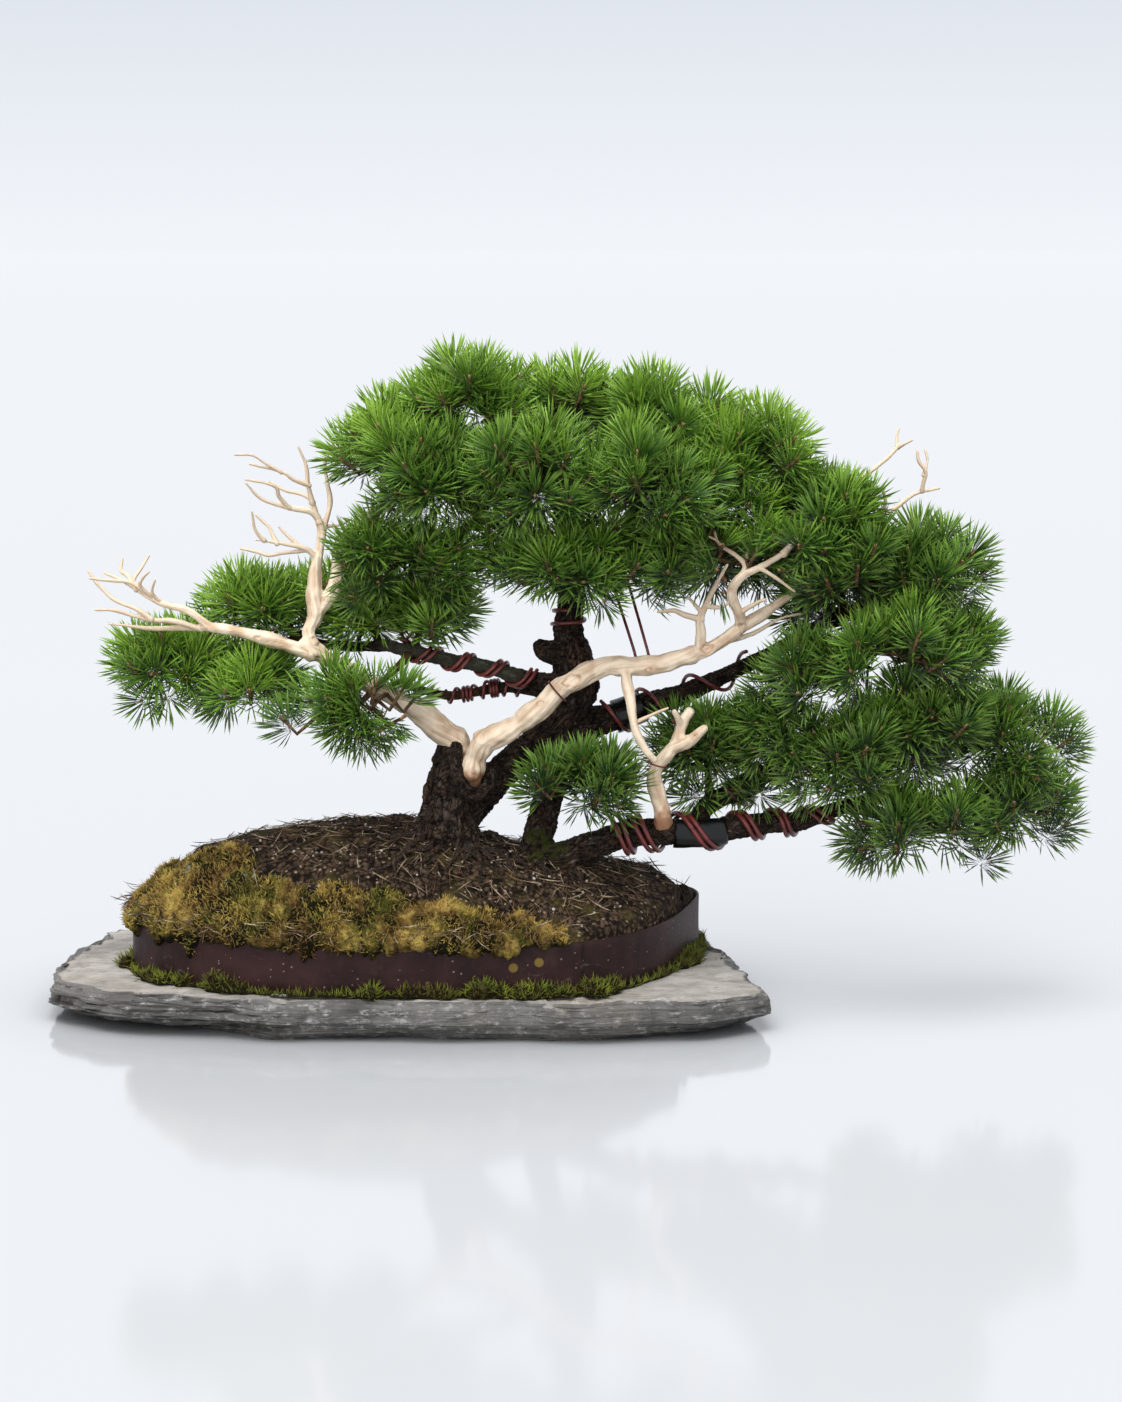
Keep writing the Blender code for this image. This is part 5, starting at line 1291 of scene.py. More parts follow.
def tie_mesh(name, centre, axis, radius, thick):
    """A ring of wire twisted tight round a limb."""
    axis = unit(axis)
    side = unit(np.cross(axis, (0.2, 1.0, 0.1)))
    up = np.cross(axis, side)
    turn = np.linspace(0, math.tau, 40, endpoint=False)[:, None]
    ray = np.cos(turn) * side + np.sin(turn) * up
    middle = np.array(centre) + ray * radius
    around = np.linspace(0, math.tau, 8, endpoint=False)
    rings = middle[:, None] + thick * (np.cos(around)[None, :, None] * ray[:, None]
                                       + np.sin(around)[None, :, None] * axis)
    skin = Skin()
    skin.add_rings(rings, round_rows=True)
    return skin.mesh(name)


def pad_mesh(name, limb, first, last, start, sweep):
    """A curved rubber pad between a limb and its wires, its cut edges softened and a little uneven."""
    steps, arc, thick = 18, 30, 1.6
    rings = []
    for k in range(steps + 1):
        t = k / steps
        spot, radius, front, top = limb_at(limb, first + (last - first) * t)
        ragged = 0.09 * math.sin(9 * t + first) + 0.05 * math.sin(23 * t)
        soft = 0.45 if k in (0, steps) else 0.0
        inner, outer = [], []
        for j in range(arc + 1):
            turn = start + ragged + (sweep - 1.6 * ragged) * j / arc
            ray = math.cos(turn) * front + math.sin(turn) * top
            edge = 0.5 if j in (0, arc) else 0.0
            wave = 0.18 * math.sin(turn * 3 + 6 * t)
            inner.append(spot + ray * (radius + 1.0 + soft + edge + wave))
            outer.append(spot + ray * (radius + 1.0 + thick - soft - edge + wave))
        rings.append(inner + outer[::-1])
    skin = Skin()
    skin.add_rings(np.array(rings))
    return skin.mesh(name)


# Sprays of needles ------------------------------------------------------------------------------------

def packed_tufts(node):
    """Centre and direction of each tuft of a packed spray, from its long clear needles."""
    work = bmesh.new()
    work.from_mesh(NODES[node].data)
    bmesh.ops.remove_doubles(work, verts=work.verts, dist=1e-5)
    needles = []
    for point in work.verts:
        if len(point.link_edges) != 3 or min(edge.calc_length() for edge in point.link_edges) < 0.011:
            continue
        foot = [edge.other_vert(point) for edge in point.link_edges]
        if max((a.co - b.co).length for a in foot for b in foot) < 0.008:
            needles.append((point.co / MM, [(v.index, v.co / MM) for v in foot]))
    groups = []
    for tip, foot in needles:
        own = {index for index, _ in foot}
        entry = [own, [(tip, foot)]]
        for other in [g for g in groups if g[0] & own]:
            entry[0] |= other[0]
            entry[1] += other[1]
            groups.remove(other)
        groups.append(entry)
    work.free()
    tufts = []
    for _, members in groups:
        feet = {index: place for _, foot in members for index, place in foot}
        centre = np.mean([list(place) for place in feet.values()], axis=0)
        lean = np.sum([unit(np.array(tip) - centre) for tip, _ in members], axis=0)
        if len(members) >= 4:
            tufts.append((centre, unit(lean)))
    return sorted(tufts, key=lambda t: tuple(t[0]))


def wood_table():
    """Samples of the wood that needles keep clear of."""
    rows = [np.array(r, float) for r in LIVE_LIMBS.values()]
    for limbs in (DEAD_LEFT, DEAD_RIGHT, DEAD_STUB):
        rows += [tapered(*limb) for limb in limbs]
    return np.vstack([smooth_rows(r, 4.0) for r in rows])


def wood_room(points, table):
    """Distance from points to the skin of the nearest wood."""
    result = np.empty(len(points))
    square = (table[:, :3] ** 2).sum(1)
    for i in range(0, len(points), 6000):
        part = points[i:i + 6000]
        apart = (part**2).sum(1)[:, None] + square - 2 * part @ table[:, :3].T
        result[i:i + 6000] = (np.sqrt(np.maximum(apart, 0)) - table[:, 3]).min(1)
    return result


# Tufts added beside a packed one: the most, the tries, and the room to other tufts and to wood. And how many tufts,
# darkened as painted shade, are added inside a spray, beyond its own number.
SIDE_TUFTS, SIDE_TRIES, TUFT_GAP, TUFT_ROOM, MORE_INSIDE = 3, 24, 16, 7, 3


def all_tufts(sprays, chance, wood):
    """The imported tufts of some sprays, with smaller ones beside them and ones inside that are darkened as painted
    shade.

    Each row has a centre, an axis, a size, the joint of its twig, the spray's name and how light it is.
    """
    rows, centres = [], []
    for spray in sprays:
        start = shoot_route(spray)[1]
        stem = np.array(SPRAYS[spray][2], float) - start
        for spot, axis in packed_tufts("spray_" + spray):
            share = np.clip((spot - start).dot(stem) / stem.dot(stem) - 0.25, 0.12, 1.0)
            rows.append((spot, unit(axis + (0, 0, 0.2)), 1.0, start + stem * share, spray, 0.0))
            centres.append(spot)
        for place, axis in FRONT_TUFTS.get(spray, ()):
            rows.append((np.array(place, float), unit(axis), 0.92, start + stem * 0.7, spray, 0.0))
            centres.append(np.array(place, float))
    for spot, axis, _, joint, spray, _ in list(rows):
        middle = np.array(SPRAYS[spray][2], float)
        added = 0
        for _ in range(SIDE_TRIES):
            side = unit(np.cross(axis, chance.normal(size=3)))
            place = spot + side * chance.uniform(16, 28) - axis * chance.uniform(0, 12)
            place += unit(middle - place) * 3
            if (min(np.linalg.norm(np.array(centres) - place, axis=1)) < TUFT_GAP
                    or wood_room(place[None], wood)[0] < TUFT_ROOM):
                continue
            lean = unit(axis + side * 0.35 + (0, 0, 0.15))
            rows.append((place, lean, 0.88 - 0.05 * added, spot + (joint - spot) * 0.45, spray, 0.0))
            centres.append(place)
            added += 1
            if added == SIDE_TUFTS:
                break
    for spray in sprays:
        _, _, centre, radii, count = SPRAYS[spray]
        start = shoot_route(spray)[1]
        for _ in range(count + MORE_INSIDE):
            off = unit(chance.normal(size=3)) * chance.uniform(0.1, 0.7)
            place = np.array(centre, float) + off * radii
            if wood_room(place[None], wood)[0] > 4:
                # Tufts deep inside the spray take a lightness of -0.45: painted shade.
                rows.append((place, unit(off + (0, 0, 0.4)), 1.05, start, spray, -0.45))
    return rows


def tuft_needles(spot, axis, size, count, chance):
    """Roots, directions, sizes and lightness of one tuft's needles, spread round the end of its twig."""
    k = np.arange(count)
    share = (k + 0.5) / count
    polar = np.radians(16 + 74 * share**0.7 + chance.uniform(-8, 8, count))
    turn = k * math.pi * (3 - math.sqrt(5)) + chance.uniform(-0.4, 0.4, count) + chance.uniform(0, math.tau)
    side = unit(np.cross(axis, (0.13, 0.9, 0.4)))
    up = np.cross(axis, side)
    ray = np.cos(turn)[:, None] * side + np.sin(turn)[:, None] * up
    ways = unit(np.cos(polar)[:, None] * axis + np.sin(polar)[:, None] * ray + (0, 0, 0.1))
    roots = spot + axis * (4 - 13 * share)[:, None] + ray * 1.2
    sizes = size * (0.88 + 0.14 * np.sin(math.pi * np.clip(share * 1.15, 0, 1)) + chance.uniform(-0.14, 0.06, count))
    # Needles that point up, and those in the middle of the tuft, are lighter: painted light. The random spread is the
    # needles' own.
    tones = 0.24 * (0.45 - share) + 0.2 * ways[:, 2] + chance.normal(scale=0.14, size=count)
    return roots, ways, sizes, np.broadcast_to(axis, ways.shape), tones


def clear_needles(roots, ways, bends, sizes, tones, length, wood):
    """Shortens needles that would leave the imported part's box, and drops those in the way.

    Dropped are those that would enter wood, and those in front of the bare limb's fork at the right.
    """
    low, high = (np.array(corner) / MM for corner in CAD_BOX)
    tips = roots + ways * (sizes * length)[:, None]
    for axis in range(3):
        over = np.maximum(tips[:, axis] - high[axis] + BOX_MARGIN, low[axis] + BOX_MARGIN - tips[:, axis])
        reach = np.abs(tips[:, axis] - roots[:, axis])
        sizes = sizes * np.where(over > 0, np.clip(1 - over / np.maximum(reach, 1), 0.3, 1), 1)
    clear = np.ones(len(roots), bool)
    for share in (0.35, 0.6, 0.8, 1.0):
        spots = roots + ways * (sizes * length * share)[:, None]
        clear &= wood_room(spots, wood) > 1.0
        for route, width in OPEN_FRONTS:
            line = smooth_rows(route, 3.0)
            apart = np.linalg.norm(spots[:, None, ::2] - line[None, :, ::2], axis=2)
            near = apart.argmin(1)
            clear &= (apart.min(1) > width) | (spots[:, 1] > line[near, 1])
    return roots[clear], ways[clear], bends[clear], sizes[clear], tones[clear]


MASSES = {
    "crown": ("canopy_crown_left", "canopy_crown", "canopy_crown_right", "canopy_left", "canopy_right"),
    "canopy_front": ("canopy_front_left", "canopy_front", "canopy_front_right", "canopy_under",
                     "canopy_left_under", "canopy_right_under", "canopy_right_end"),
    "canopy_back": ("canopy_back_left", "canopy_back_right", "canopy_back_under"),
    "left": ("left_tip", "left_low", "left_high", "left_inner", "left_middle", "left_bud"),
    "right_high": ("right_high_inner", "right_high_end", "right_middle", "right_middle_end",
                   "right_middle_inner", "right_back"),
    "right_low": ("right_low_inner", "right_low_high", "right_low_end", "right_low_tip", "right_low_under",
                  "right_low_back"),
    "centre": ("centre_left", "centre_right"),
}
# How light each mass's needles are: partly their own green, partly painted light and shade, lighter on the crown and
# the left, darker on the lower and inner masses.
SHADES = {"crown": 0.62, "canopy_front": 0.36, "canopy_back": 0.34, "left": 0.68, "right_high": 0.25,
          "right_low": 0.1, "centre": 0.05}
# Sprays whose needles are darkened further, as painted shade.
SPRAY_PAINTED_SHADE = {"left_inner": 0.3}
# How many needles have turned brown, and the tone that gives them that colour.
BROWN_SHARE, BROWN_TONE = 0.008, 0.01
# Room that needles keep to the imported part's box.
BOX_MARGIN = 3.5
# Tufts in front of a bare limb that foliage hides: place and direction, for each spray.
FRONT_TUFTS = {
    "canopy_front": [((104, -22, 408), (0.0, -0.9, 0.3))],
    "canopy_front_right": [((194, -22, 410), (0.0, -0.9, 0.3))],
    "canopy_right": [((272, -24, 418), (0.1, -0.8, 0.4))],
    "right_high_inner": [((326, -50, 356), (-0.3, -0.5, 0.8)), ((346, -48, 376), (-0.1, -0.4, 0.9)),
                         ((306, -72, 376), (-0.2, -0.9, 0.3)), ((324, -58, 394), (0.1, -0.8, 0.5)),
                         ((342, -46, 410), (0.2, -0.6, 0.7)), ((306, 18, 356), (-0.5, -0.5, 0.6)),
                         ((312, 10, 332), (-0.6, -0.6, 0.3))],
    "canopy_right_end": [((322, -36, 388), (-0.1, -0.5, 0.8)), ((352, -30, 396), (0.4, -0.3, 0.8))],
    "canopy_under": [((150, -56, 372), (0.1, -0.9, 0.1)), ((112, -54, 366), (-0.2, -0.9, 0.0))],
    "canopy_left_under": [((40, -50, 372), (0.2, -0.9, 0.2)), ((-28, -52, 372), (-0.2, -0.9, 0.3)),
                          ((66, -40, 384), (0.1, -0.8, 0.3))],
    "canopy_right_under": [((240, -48, 400), (0.0, -0.8, 0.5)), ((266, -42, 404), (0.2, -0.7, 0.5)),
                           ((216, -46, 396), (-0.2, -0.8, 0.4)),
                           ((270, 8, 362), (0.2, -0.8, -0.2)), ((252, 22, 356), (-0.1, -0.8, -0.3)),
                           ((288, 16, 372), (0.4, -0.7, -0.1))],
    "right_middle_inner": [((284, -20, 252), (-0.5, -0.6, 0.5)), ((300, -40, 232), (-0.3, -0.7, 0.4)),
                           ((272, -14, 230), (-0.6, -0.5, 0.5))],
    "centre_right": [((262, -12, 222), (-0.2, -0.7, 0.6)), ((214, -4, 226), (-0.5, -0.5, 0.7)),
                     ((246, -6, 190), (0.0, -0.8, 0.3)), ((276, -8, 196), (0.2, -0.8, 0.3)),
                     ((224, 6, 186), (-0.4, -0.7, 0.2)), ((292, 4, 214), (0.1, -0.8, 0.5))],
}
# Bare twigs that no needles hang in front of, and how wide they are kept open.
OPEN_FRONTS = [
    (DEAD_RIGHT[3][0], 7.0), (DEAD_RIGHT[4][0], 5.0), (DEAD_RIGHT[7][0], 7.0), (DEAD_RIGHT[9][0], 6.0),
    (DEAD_RIGHT[10][0], 5.0), (DEAD_RIGHT[12][0], 6.0), (DEAD_RIGHT[13][0], 5.0), (DEAD_RIGHT[0][0], 11.0),
    (DEAD_RIGHT[1][0][:4], 8.0), (DEAD_LEFT[11][0], 8.0), (DEAD_LEFT[0][0][:4], 9.0),
]


def twig_skin(skin, tufts, sprays):
    """Adds the stems of some sprays and the twigs that carry their tufts."""
    for spray in sprays:
        start = shoot_route(spray)[1]
        joints = [row[3] for row in tufts if row[4] == spray and row[2] == 1.0]
        if not joints:
            continue
        way = unit(np.array(SPRAYS[spray][2], float) - start)
        reach = max(max((joint - start).dot(way) for joint in joints), 8.0) + 2
        t = np.linspace(0, 1, 5)[:, None]
        rows = np.column_stack([start - way * 2 + way * (reach + 2) * t, 2.9 - 1.1 * t])
        skin.add_tube(smooth_rows(rows, 6.0), 7)
    for spot, axis, size, joint, _, light in tufts:
        if light < 0 or spot[2] < joint[2] - 14:
            continue
        bend = spot - axis * 15 * size
        rows = [(*joint, 1.9), (*(joint * 0.45 + bend * 0.55), 1.7), (*bend, 1.6), (*(spot + axis * 2), 1.5)]
        skin.add_tube(smooth_rows(rows, 9.0), 5, rounded=False)


# Finishes ---------------------------------------------------------------------------------------------

def slate_look(light, dark):
    """Slate: brown-grey in soft patches on top, paler there than on the sides partly as painted light, with thin dark
    and pale layers at its broken edges, the dark ones partly painted shade in their cracks.
    """
    n = look("slate", 0.62)
    place = n.place()
    patch = n.mottle(place, light, dark, 16.0, 260.0, 0.9)
    # Near black lines along the broken edges: partly the slate's dark layers, partly painted shade in the cracks
    # between them.
    layer = n.noise(n.stretched(place, (6, 6, 170)), 2.2, 6.0, 0.7, 0.6)
    layered = n.mix(n.times(n.ramp(layer, [(0.36, 1.0), (0.52, 0.0)]), 0.92), patch["Color"],
                    (0.016, 0.016, 0.017))
    toned = n.mix(n.times(n.value("shade"), 0.38), layered, (0.25, 0.24, 0.225))
    chalk = n.ramp(n.noise(n.stretched(place, (30, 12, 70)), 4.0, 6.0, 0.7), [(0.53, 0.0), (0.68, 0.75)])
    side = n.mix(chalk, toned, (0.42, 0.41, 0.39))
    # The top's colours are paler than the sides': partly the slate's own colour, partly painted light on the lit top.
    # The sides' darker colours are partly painted shade.
    upper = n.mottle(place, (0.44, 0.41, 0.37), (0.25, 0.228, 0.205), 11.0, 330.0, 0.8)
    washed = n.mix(n.ramp(n.noise(n.stretched(place, (1, 2.2, 1)), 34.0, 7.0, 0.72), [(0.45, 0.0), (0.66, 0.6)]),
                   upper["Color"], (0.095, 0.085, 0.078))
    both = n.mix(n.value("top"), side, washed)
    rust = n.ramp(n.noise(place, 9.0, 6.0, 0.66), [(0.54, 0.0), (0.7, 0.45)])
    dusted = n.mix(rust, both, (0.15, 0.115, 0.08))
    specks = n.specks(place, 120.0, 0.16, 0.17)
    n.colour(n.mix(n.times(specks, 0.6), dusted, (0.07, 0.055, 0.042)))
    n.rough(n.plus(0.4, n.times(patch["Grain"], 0.4)))
    height = n.plus(n.noise(place, 60.0, 9.0, 0.75), n.times(layer, 0.7))
    n.relief(height, 0.8, 0.0024)
    return n.made


def strip_look(colour):
    """Edging strip: dark maroon, mottled, with grit, soil near its edges, pale scuffs and a few ochre spots."""
    n = look("edging_strip", 0.5, 0.22)
    place = n.place()
    patch = n.mottle(place, scaled(colour, 1.6), scaled(colour, 0.7), 30.0, 500.0, 0.8)
    dirt = n.ramp(n.noise(n.stretched(place, (1, 1, 0.5)), 46.0, 7.0, 0.72), [(0.54, 0.0), (0.74, 0.6)])
    dirty = n.mix(dirt, patch["Color"], (0.06, 0.037, 0.026))
    dark = n.mix(n.ramp(n.noise(n.stretched(place, (1, 1, 0.3)), 18.0, 5.0, 0.6), [(0.5, 0.0), (0.68, 0.6)]), dirty,
                 scaled(colour, 0.4))
    specks = n.specks(place, 190.0, 0.3, 0.15)
    pale = n.mix(n.times(specks, 0.8), dark, (0.23, 0.17, 0.15))
    scuff = n.ramp(n.noise(n.stretched(place, (1, 1, 2.2)), 24.0, 8.0, 0.78), [(0.6, 0.0), (0.67, 0.6)])
    dots = n.add("ShaderNodeSeparateXYZ", {"Vector": place}).outputs
    marked = pale
    for x, z in ((0.084, 0.052), (0.104, 0.056)):
        aside, above = (n.times(n.minus(dots[axis], value), 1000.0) for axis, value in (("X", x), ("Z", z)))
        apart = n.plus(n.times(aside, aside), n.times(above, above))
        spot = n.times(n.ramp(n.times(apart, 0.05), [(0.45, 0.8), (0.8, 0.0)]),
                      n.math("LESS_THAN", dots["Y"], 0.0))
        marked = n.mix(spot, marked, (0.2, 0.135, 0.03))
    n.colour(n.mix(scuff, marked, (0.13, 0.09, 0.085)))
    n.rough(n.plus(0.34, n.times(patch["Grain"], 0.4)))
    n.relief(n.plus(patch["Grain"], specks), 0.3, 0.0008)
    return n.made


def soil_look(colour):
    """Peaty soil: brown crumbs, near black between them as painted shade, with pale bits of grit and rotted needles.
    """
    n = look("soil", 0.95, 0.2)
    place = n.place()
    patch = n.mottle(place, scaled(colour, 2.1), scaled(colour, 0.45), 60.0, 420.0, 1.3)
    crumbs = n.cells(place, 260.0)
    # Near black at the edges of the crumbs: painted shade in the gaps between them.
    dark = n.mix(n.ramp(crumbs["Distance"], [(0.3, 0.0), (0.65, 0.95)]), patch["Color"], (0.006, 0.004, 0.003))
    specks = n.specks(place, 260.0, 0.16, 0.3)
    mossy = n.ramp(n.noise(place, 26.0, 6.0, 0.7), [(0.5, 0.0), (0.64, 0.6)])
    greened = n.mix(mossy, dark, (0.085, 0.068, 0.018))
    n.colour(n.mix(specks, greened, (0.3, 0.22, 0.15)))
    height = n.minus(n.noise(place, 130.0, 7.0, 0.78), crumbs["Distance"])
    n.relief(height, 1.0, 0.003)
    return n.made


def straw_look():
    """Fallen needles and fine roots: from rotted brown to bleached straw."""
    n = look("dry_needles", 0.7)
    colour = n.ramp(n.value("tone"), [(0.0, (0.02, 0.012, 0.008)), (0.4, (0.075, 0.042, 0.022)),
                                      (0.75, (0.2, 0.125, 0.066)), (1.0, (0.56, 0.45, 0.31))])
    spotted = n.ramp(n.noise(n.place(), 420.0, 3.0), [(0.4, 0.0), (0.65, 0.5)])
    n.colour(n.mix(spotted, colour, (0.05, 0.03, 0.018)))
    n.rough(n.plus(0.55, n.times(n.noise(n.place(), 500.0), 0.4)))
    return n.made


def grit_look():
    n = look("grit", 0.85)
    colour = n.ramp(n.value("tone"), [(0.0, (0.1, 0.075, 0.055)), (0.5, (0.3, 0.25, 0.2)),
                                      (1.0, (0.55, 0.52, 0.46))])
    grain = n.noise(n.place(), 900.0, 3.0)
    n.colour(n.mix(n.ramp(grain, [(0.4, 0.0), (0.7, 0.5)]), colour, (0.12, 0.09, 0.07)))
    n.relief(grain, 0.5, 0.0005)
    return n.made


def moss_look(name, gold, green, brown):
    """Shaggy moss: gold and green on its crowns, paler there as painted light, rusty brown in patches, near black
    between the cushions as painted shade.
    """
    n = look(name, 0.95, 0.15)
    place = n.place()
    patch = n.mottle(place, gold, green, 24.0, 420.0, 1.4)
    rusty = n.ramp(n.noise(place, 30.0, 6.0, 0.7, 0.5), [(0.42, 0.0), (0.56, 0.9)])
    earthy = n.mix(rusty, patch["Color"], brown)
    strands = n.ramp(n.noise(n.stretched(place, (3.0, 3.0, 1.0)), 150.0, 5.0, 0.7, 0.8), [(0.38, 0.85), (0.52, 0.0)])
    stranded = n.mix(strands, earthy, (0.02, 0.014, 0.005))
    # Near black where the cushion sinks: painted shade in the hollows between the cushions.
    hollow = n.ramp(n.value("cushion"), [(0.15, 1.0), (0.72, 0.0)])
    shaded = n.mix(hollow, stranded, (0.014, 0.011, 0.004))
    # Paler gold where the cushion rises highest: painted light on its crowns.
    crown = n.ramp(n.value("cushion"), [(0.6, 0.0), (1.0, 0.6)])
    lit = n.mix(crown, shaded, paler(gold, 1.5, 0.02))
    lichen = n.specks(place, 40.0, 0.08, 0.33)
    fray = n.ramp(n.noise(place, 260.0, 4.0, 0.7), [(0.45, 0.0), (0.52, 0.9)])
    n.colour(n.mix(n.times(lichen, fray), lit, (0.3, 0.33, 0.25)))
    height = n.plus(n.noise(place, 260.0, 6.0, 0.85), n.times(n.cells(place, 330.0)["Distance"], -1))
    n.relief(height, 1.0, 0.0035)
    return n.made


def sprout_look(name, gold, green, brown):
    """Single sprouts of moss: dark at the root, in the colours of the cushion below."""
    n = look(name, 0.8, 0.2)
    patch = n.noise(n.place(), 24.0, 5.0, 0.6, 0.4)
    mask = n.plus(n.ranged(patch, 0.36, 0.64), n.times(n.minus(n.value("tone"), 0.5), 1.1), clamp=True)
    colour = n.mix(mask, scaled(green, 1.2), paler(gold, 1.35))
    rusty = n.ramp(n.noise(n.place(), 30.0, 6.0, 0.7, 0.5), [(0.44, 0.0), (0.6, 0.8)])
    mixed = n.mix(rusty, colour, scaled(brown, 1.4))
    shade = n.ramp(n.value("along"), [(0.0, 0.75), (0.8, 0.0)])
    n.colour(n.mix(shade, mixed, (0.02, 0.016, 0.006)))
    n.rough(n.plus(0.6, n.times(n.value("tone"), 0.3)))
    return n.made


def bark_look(colour):
    """Scaly bark: dark cracks, partly painted shade; flakes that differ one from the next; paler, greyer raised
    plates, partly wear and partly painted highlight; and younger red-brown shoots.
    """
    n = look("bark", 0.9, 0.25)
    place = n.place()
    patch = n.mottle(place, scaled(colour, 1.6), scaled(colour, 0.6), 85.0, 620.0, 1.2)
    flakes = n.add("ShaderNodeMix", {0: 0.22, 4: n.vector("flakes"), 5: n.add(
        "ShaderNodeTexNoise", {"Vector": n.vector("flakes"), "Scale": 3.0, "Detail": 4.0}).outputs["Color"]},
        data_type="VECTOR").outputs[1]
    edge = n.cells(flakes, 1.7, "DISTANCE_TO_EDGE")["Distance"]
    fine = n.cells(flakes, 4.2, "DISTANCE_TO_EDGE")["Distance"]
    each = n.add("ShaderNodeSeparateColor", {"Color": n.cells(flakes, 1.7)["Color"]}).outputs
    warm = n.mix(n.ramp(each["Red"], [(0.45, 0.0), (1.0, 0.7)]), patch["Color"], (0.13, 0.062, 0.034))
    grey = n.mix(n.ramp(each["Green"], [(0.55, 0.0), (1.0, 0.55)]), warm, (0.115, 0.098, 0.085))
    # Near black in the bark's low places and along the flakes' edges: partly the dark fissures, partly painted shade
    # in them.
    crack = n.larger(n.ramp(n.value("flake"), [(0.12, 1.0), (0.46, 0.0)]),
                   n.larger(n.ramp(edge, [(0.02, 0.95), (0.11, 0.0)]), n.ramp(fine, [(0.01, 0.6), (0.08, 0.0)])))
    cracked = n.mix(crack, grey, (0.007, 0.0045, 0.0035))
    # Paler grey-brown on the raised plates: partly worn bark, partly painted highlight.
    pale = n.ramp(n.times(n.value("flake"), n.noise(place, 260.0, 6.0, 0.78)), [(0.33, 0.0), (0.5, 0.7)])
    worn = n.mix(n.times(pale, n.ramp(edge, [(0.06, 0.0), (0.14, 1.0)])), cracked, (0.24, 0.19, 0.15))
    algae = n.times(n.value("green"), n.ramp(n.noise(place, 70.0, 5.0), [(0.3, 0.25), (0.6, 0.85)]))
    greened = n.mix(algae, worn, (0.115, 0.125, 0.088))
    mossed = n.mix(n.value("mossy"), greened, (0.05, 0.062, 0.01))
    shoot = n.mix(n.noise(place, 420.0, 4.0), (0.07, 0.036, 0.02), (0.17, 0.095, 0.05))
    n.colour(n.mix(n.value("young"), mossed, shoot))
    n.rough(n.minus(0.98, n.times(n.value("flake"), 0.2)))
    raised = n.plus(n.ramp(edge, [(0.0, 0.0), (0.16, 1.0)]), n.times(each["Blue"], 0.5))
    height = n.plus(n.noise(place, 330.0, 8.0, 0.8), n.plus(raised, n.ramp(fine, [(0.0, 0.0), (0.1, 0.4)])))
    n.relief(height, 1.0, 0.0018)
    return n.made


def deadwood_look(cream, stain):
    """Stripped wood: cream with long fine grain, honey brown in its furrows, knots, roots and thin ends; in the
    furrows the brown is partly stain and partly painted shade.
    """
    n = look("deadwood", 0.5, 0.45)
    grain = n.vector("grain")
    broad = n.noise(n.stretched(grain, (1.0, 3.0, 3.0)), 1.0, 5.0, 0.6, 0.5)
    fine = n.noise(n.stretched(grain, (2.6, 17, 17)), 1.0, 6.0, 0.72, 0.3)
    pink = tuple(c * k for c, k in zip(cream, (0.94, 0.87, 0.84)))
    base = n.mix(n.ramp(broad, [(0.36, 0.0), (0.6, 1.0)]), pink, tuple(min(c * 1.1, 0.95) for c in cream))
    honey_colour = tuple(0.5 * c + 0.5 * s for c, s in zip(cream, stain))
    streaked = n.mix(n.ramp(fine, [(0.3, 0.42), (0.44, 0.0)]), base, honey_colour)
    patch = n.ramp(n.noise(n.place(), 30.0, 6.0, 0.65), [(0.54, 0.0), (0.7, 0.6)])
    honey = n.mix(patch, streaked, honey_colour)
    # Stain colour in the sunk places: partly stain, partly painted shade.
    hollow = n.mix(n.times(n.value("furrow"), 0.6), honey, stain)
    thin = n.mix(n.ramp(n.times(n.value("girth"), 0.2), [(0.16, 0.62), (0.62, 0.0)]), hollow,
                 tuple(0.4 * c + 0.6 * s for c, s in zip(cream, stain)))
    orange = n.larger(n.value("rim"), n.times(n.value("root"), 0.85))
    edged = n.mix(orange, thin, (0.4, 0.16, 0.06))
    dark = n.mix(n.ramp(n.value("knot"), [(0.5, 0.0), (0.95, 0.75)]), edged, (0.16, 0.075, 0.035))
    n.colour(dark)
    n.rough(n.plus(0.38, n.times(fine, 0.3)))
    n.relief(n.plus(fine, n.times(broad, 0.5)), 0.4, 0.0009)
    return n.made


def wire_look(colour):
    n = look("training_wire", 0.28, 0.6)
    place = n.place()
    worn = n.noise(place, 90.0, 5.0, 0.65)
    coat = n.mix(n.ramp(worn, [(0.35, 0.0), (0.65, 1.0)]), scaled(colour, 0.6), scaled(colour, 1.5))
    n.colour(n.mix(n.ramp(n.noise(place, 700.0, 3.0), [(0.6, 0.0), (0.75, 0.4)]), coat, (0.2, 0.1, 0.085)))
    n.rough(n.plus(0.17, n.times(worn, 0.25)))
    n.relief(worn, 0.15, 0.0004)
    return n.made


def rubber_look(colour):
    n = look("rubber_pad", 0.5, 0.4)
    place = n.place()
    dust = n.noise(place, 60.0, 6.0, 0.7)
    n.colour(n.mix(n.ramp(dust, [(0.6, 0.0), (0.85, 0.2)]), colour, (0.06, 0.065, 0.065)))
    n.rough(n.plus(0.08, n.times(dust, 0.3)))
    n.relief(n.noise(place, 420.0, 4.0), 0.3, 0.0005)
    return n.made


def twig_look():
    n = look("twigs", 0.85, 0.25)
    place = n.place()
    scale = n.cells(n.stretched(place, (1, 1, 0.6)), 420.0)
    colour = n.mix(n.noise(place, 200.0, 4.0), (0.075, 0.043, 0.024), (0.2, 0.125, 0.065))
    n.colour(n.mix(n.ramp(scale["Distance"], [(0.4, 0.0), (0.8, 0.8)]), colour, (0.03, 0.018, 0.01)))
    n.relief(scale["Distance"], 0.8, 0.001)
    return n.made


